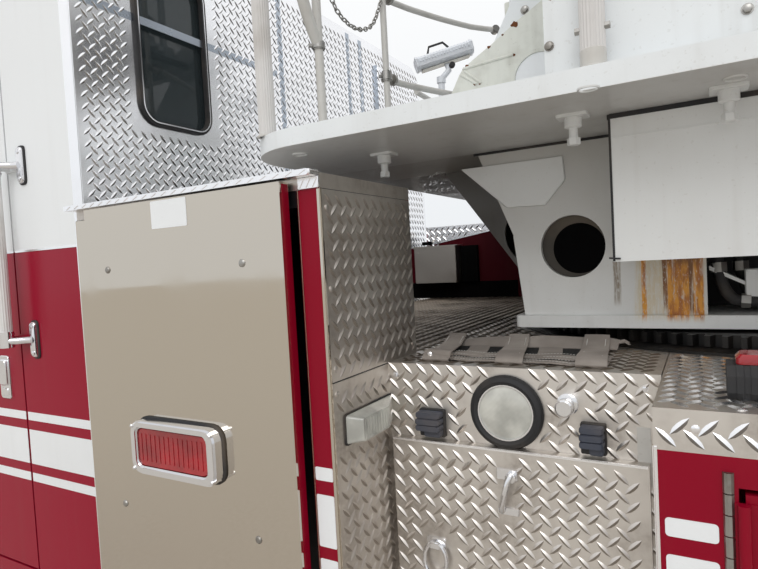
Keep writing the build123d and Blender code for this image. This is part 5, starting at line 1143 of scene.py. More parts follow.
# Recess between the column and the body
def recess_details():
    """Lamp, knob, catches, latch and ring on the recess wall and its door."""
    wall = side_face(RECESS)
    door = side_face(1.0585)
    grommet = Work()
    ring(grommet, wall, 5.2815, 1.253, [(0.058, 0), (0.077, 0), (0.0775, 0.006), (0.074, 0.013),
                                        (0.066, 0.017),
                                        (0.06, 0.014), (0.057, 0.006)], 44)
    for s0, s1 in ((5.084, 5.144), (5.429, 5.476)):
        bar(grommet, wall, s0, s1, 1.186, 1.247, 0, 0.012, 0.003)
    make_both("recess_rubbers", grommet, M_RUBBER)

    blocks = Work()
    for s0, s1 in ((5.086, 5.142), (5.431, 5.474)):
        for i in range(3):
            z = 1.2045 + 0.0135 * i
            bar(blocks, wall, s0, s1, z, z + 0.013, 0.01, 0.04 - 0.004 * (i == 2), 0.004)
        bar(blocks, wall, s0 + 0.016, s1 - 0.001, 1.19, 1.206, 0.01, 0.03, 0.004)
    make_both("recess_catches", blocks, M_CATCH)

    glass = Work()
    turned(glass, wall, 5.2815, 1.253, [(0.0575, 0.002), (0.0565, 0.0085), (0.048, 0.0125), (0.03, 0.0155),
                                        (0.008, 0.017)], 40)
    make_both("recess_lamp_lenses", glass, M_CLEAR)

    bright = Work()
    ring(bright, wall, 5.2815, 1.253, [(0.0585, 0.006), (0.0585, 0.0125), (0.0555, 0.0125), (0.0555, 0.006)],
         40)
    turned(bright, wall, 5.406, 1.279, [(0.021, 0), (0.021, 0.004), (0.017, 0.006), (0.012, 0.007),
                                        (0.012, 0.02),
                                        (0.016, 0.021), (0.017, 0.024), (0.017, 0.04), (0.014, 0.0425)], 24)
    hex_bolt(bright, wall, 5.024, 1.318, 0.005, 0.004)
    hex_bolt(bright, wall, 5.545, 1.318, 0.005, 0.004)
    make_both("recess_bright_parts", bright, M_CHROME)

    tape = Work()
    bar(tape, wall, 5.529, 5.5525, 1.135, 1.245, 0, 0.002)
    make_both("recess_tapes", tape, M_RAIL, "chassis", "white_paint")

    latch = Work()
    bar(latch, door, 5.262, 5.306, 1.045, 1.06, 0, 0.004, 0.002)
    bar(latch, door, 5.262, 5.306, 1.118, 1.14, 0, 0.004, 0.002)
    tube(latch, [spot(5.292, 1.0605, 1.13), spot(5.294, 1.072, 1.132), spot(5.29, 1.078, 1.122),
                 spot(5.282, 1.078, 1.092), spot(5.274, 1.074, 1.068), spot(5.271, 1.064, 1.052)], 0.0065, 10)
    turned(latch, door, 5.293, 1.126, [(0.011, 0), (0.011, 0.012), (0.008, 0.014)], 16)
    loop = [spot(5.117 + 0.026 * sin(t), 1.0665 + 0.004 * (1 - cos(t)), 0.919 + 0.036 * cos(t))
            for t in (2 * pi * i / 28 for i in range(29))]
    tube(latch, loop, 0.0048, 10)
    slab(latch, door, rounded(5.094, 5.14, 0.938, 0.966, 0.006), 0, 0.004, 0.001)
    bar(latch, door, 5.104, 5.13, 0.944, 0.956, 0.003, 0.014, 0.003)
    make_both("recess_door_fittings", latch, M_CHROME, "recess_door_left", "mirror_steel")

    lip = Work()
    bar(lip, door, 5.021, 5.549, 1.1755, 1.1795, 0, 0.003, 0.001)
    bar(lip, door, 5.021, 5.549, 0.6355, 0.6395, 0, 0.003, 0.001)
    make_both("recess_door_lips", lip, M_TREAD, "recess_door_left")


def body_front_edge():
    """Trims, screws and the loose lamp at the front of the body."""
    side = side_face(BODY_SIDE)
    trim = Work()
    bar(trim, side, 5.5755, 5.58, 0.562, 1.288, 0, 0.003, 0.001)
    bar(trim, front_face(5.575), 1.262, 1.2705, 0.562, 1.288, 0, 0.0015)
    for s in (5.63, 6.2, 6.8, 7.4):
        screw(trim, side, s, 1.318)
    screw(trim, top_face(DECK), 5.687, 1.252)
    make_both("body_front_trims", trim, M_TREAD)

    hinge = Work()
    low, high, count = 0.63, 1.262, 21
    step = (high - low) / count
    for i in range(count):
        z = low + step * i
        tube(hinge, [spot(5.668, 1.2705, z + 0.0008), spot(5.668, 1.2705, z + step - 0.0008)], 0.0072, 10)
    make_both("hinge_knuckles", hinge, M_STEEL)

    base = Work()
    outline = [(0, 0.012), (0.01, 0), (0.075, 0), (0.085, 0.012), (0.085, 0.036), (0.07, 0.05),
               (0.015, 0.05), (0, 0.036)]
    corner = spot(5.672, 1.116, DECK)
    face = Face(corner, LEFT, UP, BACK)
    slab(base, face, outline, 0, 0.19, 0.004)
    for i in range(10):
        grown = [(0.0425 + (a - 0.0425) * 1.03, 0.025 + (b - 0.025) * 1.03) for a, b in outline]
        slab(base, face, grown, 0.012 + 0.018 * i, 0.022 + 0.018 * i, 0.001)
    make("deck_lamp_base", base, M_RUBBER)
    cap = Work()
    slab(cap, Face(corner, BACK, LEFT, UP), rounded(0.012, 0.178, 0.018, 0.067, 0.01),
         0.051, 0.066, 0.006)
    make("deck_lamp_lens", cap, M_RED_LENS)


# Turntable
def turntable_details():
    """Raised gussets, seams, collars, pipes and gap strips of the turntable."""
    plates = Work()
    side = side_face(0.715)
    slab(plates, side, [(5.084, 1.813), (5.206, 1.699), (5.303, 1.697), (5.354, 1.754), (5.35, 1.813)], 0,
         0.007, 0.002)
    bar(plates, side_face(0.93), 5.49, 6.495, 1.8, 1.803, 0, 0.0015)
    under = under_face(TABLE_UNDER)
    for s, y in ((5.426, 0.976), (5.692, 0.989), (6.2, 0.989), (4.95, 0.9)):
        slab(plates, under, rounded(s - 0.03, s + 0.03, y - 0.024, y + 0.024, 0.006), 0, 0.006, 0.001)
        turned(plates, under, s, y, [(0.017, 0.006), (0.017, 0.024), (0.013, 0.026), (0.009, 0.027),
                                     (0.009, 0.046)], 18)
        turned(plates, under, s, y, [(0.013, 0.046), (0.013, 0.058), (0.011, 0.06)], 6)
    for s, y in ((5.486, 1.156), (5.7, 1.05), (4.8, 1.05)):
        ring(plates, under, s, y, [(0.015, 0), (0.0185, 0), (0.018, 0.003), (0.0155, 0.003)], 24)
    make_both("turntable_plates", plates, M_TABLE, "turntable")

    gaps = Work()
    bar(gaps, side_face(0.93), 5.487, 6.498, 1.84, 1.8495, 0, 0.002)
    bar(gaps, front_face(5.485), 0.717, 0.929, 1.84, 1.8495, 0, 0.002)
    bar(gaps, side_face(0.715), 5.12, 5.484, 1.843, 1.8495, 0, 0.0015)
    make_both("turntable_gap_seals", gaps, M_RUBBER, "turntable")

    seam = Work()
    bar(seam, side_face(0.93), 5.485, 5.4895, 1.553, 1.849, 0, 0.0012)
    tube(seam, [spot(5.478, 0.934, 1.56), spot(5.5, 0.934, 1.558)], 0.0018, 6)
    make_both("turntable_box_seams", seam, M_RUBBER, "turntable")

    # Painted shade: a flat dark grey disc stands for the shaded inside of the hollow in the base's web, and
    # black discs are painted shadow for the dark openings.
    hollow, dark = Work(), Work()
    turned(hollow, side_face(0.6995), 5.364, 1.59, [(0.0768, 0), (0.0768, 0.0008)], 40)
    turned(dark, side_face(0.7003), 5.3775, 1.5845, [(0.0625, 0), (0.0625, 0.0006)], 40)
    turned(dark, side_face(0.447), 5.215, 1.64, [(0.0995, 0), (0.0995, 0.0008)], 40)
    make_both("base_hollow_shades", hollow, M_INNER, "turntable", "white_paint")
    foot = Work()
    slab(foot, side_face(0.7), [(5.2175, 1.625), (5.24, 1.4203), (5.32, 1.4203), (5.232, 1.625)], 0,
         0.0153)
    slab(foot, top_face(1.3905), rounded(5.218, 5.26, 0.64, 0.7295, 0.012), 0, 0.029, 0.002)
    make_both("base_gussets", foot, M_TABLE, "turntable")
    make_both("base_shadow_discs", dark, M_SHADOW, "turntable")

    rng = random.Random(11)
    beads = Work()
    s = 5.405
    while s < 6.24:
        length = rng.uniform(0.004, 0.03)
        bar(beads, side_face(CONSOLE_SIDE), s, s + length, 1.8902, 1.8902 + rng.uniform(0.0006, 0.0018), 0,
            0.0012)
        s += length + rng.uniform(0.002, 0.022)
    s = 5.08
    while s < 5.39:
        length = rng.uniform(0.003, 0.016)
        bar(beads, side_face(0.658), s, s + length, 1.93, 1.9312, 0, 0.005)
        s += length + rng.uniform(0.004, 0.02)
    make("console_foot_gaps", beads, M_INNER, "turntable", "dark_plastic")

    heel = Work()
    out = side_face(0.65)
    for i, (s, z) in enumerate(((5.43, 1.955), (5.7, 1.955), (6, 1.955), (6.3, 1.955), (5.35, 2.55),
                                (5.6, 2.55))):
        hex_bolt(heel, out, s, z, 0.013, 0.012)
    turned(heel, out, 5.35, 3, [(0.085, 0), (0.085, 0.012), (0.06, 0.016), (0.06, 0.03),
                                     (0.048, 0.034)], 30)
    make_both("heel_bolts", heel, M_STEEL, "turntable")


stripes()
column_cladding()
cover_details()
recess_details()
body_front_edge()
turntable_details()

# Cab
SHIELD = Face(spot(0.5, 0, 1.52), LEFT, (-0.1609, 0, 0.987), (0.987, 0, 0.1609))
WINDOWS = (
    # piece, body, stations
    ("side_window", "chassis", 1.72, 2.74),
    ("front_door_window", "front_door_left", 0.83, 1.455),
    ("crew_door_window", "crew_door_left", 3.005, 3.63),
)


def window_trims():
    """Rubber gaskets with a bright bead around the cab's glass."""
    for name, body, s0, s1 in WINDOWS:
        seal, bead = Work(), Work()
        face = side_face(CAB_SIDE)
        gasket(seal, face, s0 + 0.012, s1 - 0.012, 1.732, 2.278, 0.05, 0.024, -0.006, 0.006)
        gasket(bead, face, s0 + 0.004, s1 - 0.004, 1.724, 2.286, 0.056, 0.005, 0.005, 0.0085)
        make_both(name + "_gaskets", seal, M_RUBBER, body)
        make_both(name + "_beads", bead, M_CHROME, body)
    seal, bead = Work(), Work()
    wall = rear_face(CAB_BACK)
    gasket(seal, wall, 0.661, 0.93, 2.076, 2.584, 0.052, 0.017, -0.008, 0.01)
    gasket(bead, wall, 0.657, 0.934, 2.072, 2.588, 0.054, 0.004, 0.009, 0.013)
    gasket(seal, SHIELD, 0.052, 0.998, 0.096, 0.822, 0.05, 0.018, -0.006, 0.006)
    make_both("cab_gaskets", seal, M_RUBBER)
    make_both("cab_beads", bead, M_CHROME)


def cab_wall_trims():
    """Seams and edge strips of the cab's chequer rear wall."""
    wall = rear_face(CAB_BACK)
    seams = Work()
    bar(seams, wall, 0.245, 1.15, 2.378, 2.404, 0, 0.0006)
    for y in (0.215, -0.33, -0.45):
        bar(seams, wall, y - 0.016, y + 0.016, 1.05, 2.74, 0, 0.0006)
    bar(seams, wall, -0.5985, -0.597, 2.01, 2.65, 0, 0.0166)
    make("cab_wall_seams", seams, M_SEAM)
    strips = Work()
    bar(strips, wall, -0.992, -0.598, 2.008, 2.652, 0, 0.0165, 0.012)
    bar(strips, side_face(CAB_SIDE), 4.088, 4.099, 1.02, 2.5, 0, 0.003, 0.001)
    bar(strips, side_face(-CAB_SIDE), 4.088, 4.099, 1.02, 2.5, -0.003, 0, 0.001)
    bar(strips, side_face(CAB_SIDE), 3.725, 4.087, 1.67, 1.676, 0, 0.0015)
    bar(strips, side_face(-CAB_SIDE), 3.725, 4.087, 1.67, 1.676, -0.0015, 0)
    make("cab_wall_strips", strips, M_TREAD)


def door_hardware():
    """Paddle latches, break strips and hinges of the cab doors."""
    for name, body, s0, s1, hinge in (("front_door", "front_door_left", 0.744, 1.541, 0.74),
                                      ("crew_door", "crew_door_left", 2.919, 3.716, 2.915)):
        face = side_face(CAB_SIDE)
        bright = Work()
        plate = rounded(s1 - 0.135, s1 - 0.075, 1.19, 1.334, 0.012)
        slab(bright, face, plate, 0, 0.006, 0.002)
        slab(bright, face, rounded(s1 - 0.127, s1 - 0.083, 1.235, 1.322, 0.01), 0.006, 0.014, 0.004)
        bar(bright, face, s1 - 0.123, s1 - 0.087, 1.2, 1.226, 0.006, 0.009, 0.004)
        bar(bright, face, s0, s1, 1.67, 1.676, 0, 0.0015)
        for z in (0.75, 1.45, 2.2):
            tube(bright, [spot(hinge + 0.004, CAB_SIDE + 0.002, z),
                          spot(hinge + 0.004, CAB_SIDE + 0.002, z + 0.09)], 0.007, 12)
        make_both(name + "_hardware", bright, M_CHROME, body)


def cab_front_details():
    """Lamps, grille frame, wipers and light bar lenses."""
    nose = front_face(0.474)
    bezel, clear, amber, red = Work(), Work(), Work(), Work()
    for z0, z1, lower in ((0.96, 1.14, True), (1.16, 1.34, False)):
        band(bezel, nose, rounded(0.622, 0.918, z0 + 0.002, z1 - 0.002, 0.022),
             rounded(0.64, 0.9, z0 + 0.018, z1 - 0.018, 0.014), 0, 0.016)
        middle = (z0 + z1) / 2
        if lower:
            for y in (0.705, 0.835):
                turned(clear, nose, y, middle,
                       [(0.06, 0), (0.06, 0.006), (0.05, 0.014), (0.03, 0.019), (0.008, 0.021)], 28)
                ring(bezel, nose, y, middle, [(0.061, 0), (0.067, 0), (0.066, 0.011), (0.061, 0.012)], 28)
        else:
            slab(amber, nose, rounded(0.643, 0.765, z0 + 0.022, z1 - 0.022, 0.012), 0, 0.014, 0.004)
            slab(red, nose, rounded(0.775, 0.897, z0 + 0.022, z1 - 0.022, 0.012), 0, 0.014, 0.004)
    back = rear_face(11.126)
    for z0, work in ((0.86, clear), (1.01, amber), (1.16, red)):
        band(bezel, back, rounded(0.902, 1.118, z0 + 0.002, z0 + 0.118, 0.016),
             rounded(0.918, 1.102, z0 + 0.016, z0 + 0.104, 0.01), 0, 0.012)
        slab(work, back, rounded(0.917, 1.103, z0 + 0.015, z0 + 0.105, 0.01), 0, 0.012, 0.004)
    frame_face = front_face(0.5)
    band(bezel, frame_face, rounded(-0.52, 0.52, 0.94, 1.46, 0.03),
         rounded(-0.482, 0.482, 0.978, 1.422, 0.012), 0, 0.014)
    make_both("lamp_bezels", bezel, M_CHROME)
    make_both("lamp_clear_lenses", clear, M_CLEAR)
    make_both("lamp_amber_lenses", amber, M_AMBER)
    make_both("lamp_red_lenses", red, M_RED_LENS)

    wipers = Work()
    for y in (0.3, 0.78):
        foot = SHIELD.at(y, 0.055, 0.01)
        mid = SHIELD.at(y - 0.1, 0.3, 0.03)
        tip = SHIELD.at(y - 0.17, 0.46, 0.02)
        tube(wipers, [foot, mid, tip], 0.007, 8)
        tube(wipers, [SHIELD.at(y - 0.3, 0.34, 0.012), SHIELD.at(y - 0.04, 0.58, 0.012)], 0.006, 8)
        turned(wipers, SHIELD, y, 0.055, [(0.018, 0), (0.018, 0.012), (0.012, 0.018)], 14)
    make_both("wipers", wipers, M_RUBBER)

    red_bar, clear_bar = Work(), Work()
    ahead, behind, above = front_face(0.86), rear_face(1.16), top_face(2.63)
    for i in range(8):
        y0 = 0.012 + 0.108 * i
        y1 = y0 + 0.102
        work = clear_bar if i in (0, 4) else red_bar
        for face in (ahead, behind):
            slab(work, face, rounded(y0, y1, 2.545, 2.622, 0.01), -0.001, 0.008, 0.004)
        slab(work, above, rounded(0.872, 1.148, y0, y1, 0.012), -0.001, 0.008, 0.005)
    make_both("light_bar_red", red_bar, M_RED_LENS)
    make_both("light_bar_clear", clear_bar, M_CLEAR)


# Wheels
def tyre_section(inner, outer, shoulder):
    """Closed profile of a ribbed tyre, radius and distance in from its outer face."""
    wide = 0.3
    half = [(inner, 0.02), (inner + 0.012, 0.006), (inner + 0.03, 0), (inner + 0.06, -0.002),
            (inner + 0.066, 0.002),
            (inner + 0.12, -0.002), (inner + 0.15, 0.002), (inner + 0.156, -0.001),
            (outer - shoulder - 0.016, 0),
            (outer - shoulder, 0.002), (outer - 0.03, 0.008), (outer - 0.016, 0.016)]
    crown = [(outer - 0.016, 0.052)]
    for k in range(4):
        start = 0.056 + 0.048 * k
        crown += [(outer, start), (outer, start + 0.038), (outer - 0.014, start + 0.0395),
                  (outer - 0.014, start + 0.0465)]
    crown = crown[:-2] + [(outer - 0.016, 0.248)]
    return [(r, -max(c, 0)) for r, c in half] + [(r, -c) for r, c in crown] + \
        [(r, -(wide - max(c, 0))) for r, c in half[::-1]]


def tyres():
    """Ribbed road tyres with shoulder blocks in place of the plain ones."""
    for name, node, body, station, faces in (
            ("front_tyre", "tyre_front", "wheel_front", FRONT_AXLE, (1.215,)),
            ("rear_tyres", "tyres_rear", "wheels_rear", REAR_AXLE, (1.215, 0.881))):
        for side, sign in SIDES:
            work = Work()
            for y in faces:
                face = side_face(y)
                ring(work, face, station, WHEEL_HEIGHT, tyre_section(0.286, 0.538, 0.046), 96)
                for i in range(52):
                    turn = 2 * pi * (i + 0.25) / 52
                    for c0, c1 in ((-0.012, -0.05), (-0.25, -0.288)):
                        shoulder_block(work, face, station, turn, c0, c1)
            piece = make(name + "_" + side, work if sign > 0 else work.mirrored(), M_TYRE, body + "_" + side)
            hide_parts(node + "_" + side)


def shoulder_block(work, face, station, turn, c0, c1):
    """One lug of a tyre's shoulder."""
    half = 0.02
    outline = ((0.512, half), (0.5375, half), (0.5375, -half), (0.512, -half))
    points = []
    for c, drop in ((c0, 0.008 if abs(c0) < 0.1 else 0), (c1, 0 if abs(c0) < 0.1 else 0.008)):
        for r, t in outline:
            reach = r - (drop if r > 0.53 else 0)
            a = station + reach * cos(turn) - t * sin(turn)
            b = WHEEL_HEIGHT + reach * sin(turn) + t * cos(turn)
            points.append((a, b, c))
    work.add(face, points, [[0, 1, 2, 3], [7, 6, 5, 4], [0, 4, 5, 1], [1, 5, 6, 2], [2, 6, 7, 3],
                            [3, 7, 4, 0]])


def rim_trims():
    """Bright rings on the rims of the wheels."""
    for name, body, station, rim in (("front_wheel", "wheel_front_left", FRONT_AXLE, "rim_front_left"),
                                     ("rear_wheel", "wheels_rear_left", REAR_AXLE, "rims_rear_left")):
        work = Work()
        ring(work, side_face(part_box(rim)[1][1]), station, WHEEL_HEIGHT,
             [(0.255, -0.004), (0.284, -0.002), (0.284, -0.008), (0.255, -0.01)], 64)
        make_both(name + "_trims", work, M_CHROME, body, "wheel_alloy")


# Seats
def cushion(work, centre, half, crown, count=10):
    """Crowned closed pad whose sides pull in between its corners."""
    points, polygons, index = [], [], {}

    def put(u, v, w):
        key = (round(u, 5), round(v, 5), round(w, 5))
        if key not in index:
            pull = 1 - 0.045 * (1 - (v * v if abs(u) == 1 else u * u if abs(v) == 1 else 1))
            edge = (1 - u ** 4) * (1 - v ** 4)
            x = half[0] * u * (pull if abs(u) == 1 else 1)
            y = half[1] * v * (pull if abs(v) == 1 else 1)
            z = half[2] * w * (0.72 + 0.28 * edge) + crown * edge * max(w, 0)
            groove = 0.007 * max(0, 1 - abs(abs(v) - 0.45) / 0.09) if w > 0.9 else 0
            index[key] = len(points)
            points.append((x, y, z - groove))
        return index[key]

    steps = [-1 + 2 * i / count for i in range(count + 1)]
    for w in (-1, 1):
        for i in range(count):
            for j in range(count):
                quad = [put(steps[i], steps[j], w), put(steps[i + 1], steps[j], w),
                        put(steps[i + 1], steps[j + 1], w),
                        put(steps[i], steps[j + 1], w)]
                polygons.append(quad if w > 0 else quad[::-1])
    for w0, w1 in ((-1, 0), (0, 1)):
        for i in range(count):
            for side in (-1, 1):
                quad = [put(steps[i], side, w0), put(steps[i + 1], side, w0), put(steps[i + 1], side, w1),
                        put(steps[i], side, w1)]
                polygons.append(quad if side < 0 else quad[::-1])
                quad = [put(side, steps[i], w0), put(side, steps[i], w1), put(side, steps[i + 1], w1),
                        put(side, steps[i + 1], w0)]
                polygons.append(quad if side < 0 else quad[::-1])
    work.add(centre, points, polygons)


SEATS = ((1.75, 0.56, 1.25), (3.56, 0.15, 1.3), (3.56, 0.64, 1.3))


def seats():
    """Cloth pads on the seats of the driver, officer and crew."""
    work = Work()
    for front, inner, height in SEATS:
        middle = inner + 0.23
        base = Face(spot(front + 0.228, middle, height + 0.066), BACK, LEFT, UP)
        cushion(work, base, (0.222, 0.226, 0.062), 0)
        back = Face(spot(front + 0.4, middle, height + 0.42), UP, LEFT, AHEAD)
        cushion(work, back, (0.29, 0.222, 0.05), 0)
    piece = make("seat_pads", work.doubled(), M_CLOTH, sharp=60)
    piece.modifiers.new("rounded", "SUBSURF").levels = 1
    piece.modifiers["rounded"].render_levels = 1
    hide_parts("seats")


window_trims()
cab_wall_trims()
door_hardware()
cab_front_details()
tyres()
rim_trims()
seats()


# Rails, grips and floodlight on the turntable
def clamp(work, centre, along, radius, half=0.022):
    """Split collar on a tube, with its screw."""
    centre, along = Vector(centre), Vector(along).normalized()
    tube(work, [centre - along * half, centre + along * half], radius + 0.006, 18)
    tube(work, [centre - along * half * 0.7, centre + along * half * 0.7], radius + 0.009, 18)
    side = along.orthogonal().normalized()
    tube(work, [centre + side * radius, centre + side * (radius + 0.018)], 0.006, 6)


def turntable_rails():
    """Round posts, handrails and the curved rail to the heel plate."""
    tubes, joints, sleeves = Work(), Work(), Work()
    top = TABLE_TOP + 1
    for s, y, radius in ((4.745, 1.1, 0.019), (5.49, 1.116, 0.019), (4.694, 0.79, 0.013),
                         (4.692, 0.379, 0.0112),
                         (4.97, -1.116, 0.016), (5.6, -1.116, 0.016)):
        tube(tubes, [spot(s, y, TABLE_TOP), spot(s, y, top - 0.02), spot(s, y, top)], radius, 20)
    tube(tubes, [spot(4.965, -0.24, TABLE_TOP), spot(4.965, -0.24, 2.532)], 0.016, 20)
    tube(tubes, arc_path(spot(4.692, 0.92, 2.62), spot(4.692, 0.885, 2.325), spot(4.694, 0.795, 2.218), 8),
         0.0165, 18)
    tube(tubes, [spot(4.745, 1.1, 2.872), spot(4.694, 0.92, 2.872), spot(4.692, 0.92, 2.62)], 0.015, 16)
    curve = ((4.68, 0.372), (4.69, 0.292), (4.713, 0.213), (4.743, 0.133), (4.776, 0.05), (4.808, -0.02),
             (4.843, -0.091),
             (4.882, -0.145), (4.923, -0.194), (4.965, -0.24))
    for z, radius in ((2.512, 0.0105), (2.226, 0.0115)):
        tube(tubes, [spot(s, y, z) for s, y in curve], radius, 16)
    for z in (2.39, 2.872):
        tube(tubes, [spot(4.97, -1.116, z), spot(5.6, -1.116, z)], 0.015, 16)
    piece = make("rail_tubes", tubes, M_RAIL, "turntable", sharp=50)
    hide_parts("turntable_rails")

    clamp(joints, spot(4.694, 0.79, 2.21), UP, 0.0105, 0.012)
    clamp(joints, spot(4.692, 0.379, 2.226), UP, 0.0095, 0.018)
    clamp(joints, spot(4.692, 0.379, 2.512), UP, 0.0095, 0.014)
    for z in (2.226, 2.512):
        clamp(joints, spot(4.69, 0.33, z), LEFT, 0.011, 0.01)
        clamp(joints, spot(4.914, -0.184, z), (0.043, -0.049, 0), 0.0078, 0.016)
    for s in (4.97, 5.6):
        clamp(joints, spot(s, -1.116, 2.39), UP, 0.016, 0.018)

    tube(sleeves, [spot(4.745, 1.1, 1.895), spot(4.745, 1.1, 2.86)], 0.0207, 44, 0.0011)
    tube(sleeves, [spot(5.49, 1.116, 1.922), spot(5.49, 1.116, 2.86)], 0.0215, 44, 0.0015)
    make("rail_sleeves", sleeves, M_SLEEVE, "turntable", sharp=20)
    feet = Work()
    for s, y in ((5.49, 1.116), (5.6, -1.116), (4.97, -1.116)):
        turned(feet, top_face(TABLE_TOP), s, y,
               [(0.024, 0), (0.024, 0.003), (0.0222, 0.005), (0.0222, 0.032), (0.0205, 0.034)], 28)
        tube(joints, [spot(s - 0.029, y, 1.96), spot(s - 0.027, y, 1.96), spot(s + 0.027, y, 1.96),
                      spot(s + 0.029, y, 1.96)], 0.0068, 6)
    for s, y in ((4.745, 1.1), (4.694, 0.79), (4.692, 0.379), (4.965, -0.24)):
        turned(feet, top_face(TABLE_TOP), s, y, [(0.026, 0), (0.026, 0.003), (0.019, 0.006)], 20)
    make("rail_feet", feet, M_RAIL, "turntable")
    make("rail_clamps", joints, M_STEEL, "turntable", "rail_alloy", sharp=50)


def safety_chain():
    """Chain hanging between two posts at the front of the deck."""
    ends = ((0.79, 2.52), (0.705, 2.373), (0.632, 2.332), (0.542, 2.336), (0.459, 2.382), (0.395, 2.478))
    smooth = []
    for i in range(len(ends) - 1):
        before, after = ends[max(i - 1, 0)], ends[min(i + 2, len(ends) - 1)]
        for k in range(8):
            t = k / 8
            smooth.append(tuple(
                0.5 * (2 * p1 + (p2 - p0) * t + (2 * p0 - 5 * p1 + 4 * p2 - p3) * t * t
                       + (3 * p1 - p0 - 3 * p2 + p3) * t ** 3)
                for p0, p1, p2, p3 in zip(before, ends[i], ends[i + 1], after)))
    smooth.append(ends[-1])
    links, way = Work(), 0
    pitch, long_half, wide_half, wire_radius = 0.019, 0.013, 0.0065, 0.0022
    at, count = 0, 0
    for (y0, z0), (y1, z1) in zip(smooth, smooth[1:]):
        step = hypot(y1 - y0, z1 - z0)
        while way + step >= at:
            t = (at - way) / step
            centre = spot(4.6935, y0 + (y1 - y0) * t, z0 + (z1 - z0) * t)
            along = Vector((0, y1 - y0, z1 - z0)).normalized()
            across = Vector(AHEAD) if count % 2 else Vector(AHEAD).cross(along)
            loop = []
            for i in range(13):
                turn = 2 * pi * i / 12
                loop.append(centre + along * (long_half * cos(turn)) + across * (wide_half * sin(turn)))
            tube(links, loop, wire_radius, 6)
            at += pitch
            count += 1
        way += step
    make("safety_chain", links, M_STEEL, "turntable", "rail_alloy", sharp=60)


def floodlight():
    """Ribbed floodlight with its handle, on a swivel at the front rail."""
    across = Vector((-0.837, -0.481, 0.259)).normalized()
    up = Vector(UP)
    up = (up - across * up.dot(across)).normalized()
    out = up.cross(across).normalized()
    face = Face(spot(4.668, -0.216, 2.462), across, up, -out)
    body, dark, glass = Work(), Work(), Work()
    trough = [(-0.044, 0.017), (-0.03, 0.027), (0.03, 0.027), (0.042, 0.016), (0.035, -0.012),
              (0.019, -0.023), (-0.019, -0.023),
              (-0.035, -0.012)]
    ends = Face(face.at(-0.124, 0, 0), face.out, face.up, face.across)
    slab(body, ends, trough, 0, 0.248, 0.003)
    for i in range(17):
        grown = [(a * 1.05, b * 1.05) for a, b in trough if b > 0]
        grown = [(grown[0][0], 0.004)] + grown + [(grown[-1][0], 0.004)]
        slab(body, ends, grown[::-1], 0.01 + 0.0138 * i, 0.016 + 0.0138 * i)
    for c0 in (-0.006, 0.242):
        slab(body, ends, [(a * 1.1, b * 1.12) for a, b in trough], c0, c0 + 0.012, 0.003)
    foot = spot(4.655, -0.205, 2.236)
    turned(body, Face(foot, AHEAD, LEFT, UP), 0, 0,
           [(0.026, 0), (0.026, 0.01), (0.016, 0.014), (0.014, 0.11), (0.02, 0.114), (0.02, 0.14)], 20)
    tube(body, [foot + Vector((0, 0, 0.13)), face.at(0.004, -0.06, 0), face.at(0.004, -0.026, 0)], 0.013,
         14)
    make("floodlight", body, M_LAMP_BODY, "turntable", sharp=40)
    tube(dark, [face.at(-0.064, 0.036, 0), face.at(-0.05, 0.064, 0), face.at(0.014, 0.064, 0),
                face.at(0.032, 0.036, 0)], 0.005, 8)
    turned(dark, Face(face.at(0.02, -0.048, 0.012), face.across, face.up, face.out), 0, 0,
           [(0.013, 0), (0.013, 0.016), (0.01, 0.02)], 12)
    make("floodlight_handle", dark, M_RUBBER, "turntable")
    slab(glass, Face(face.at(0, -0.028, 0), face.across, face.out, -face.up),
         rounded(-0.112, 0.112, -0.02, 0.02, 0.005), 0, 0.004, 0.002)
    make("floodlight_lens", glass, M_CLEAR, "turntable")
    arm = Work()
    tube(arm, [spot(4.692, 0.14, 2.226), spot(4.672, -0.03, 2.236), spot(4.655, -0.205, 2.236)], 0.01, 12)
    make("floodlight_arm", arm, M_RAIL, "turntable")


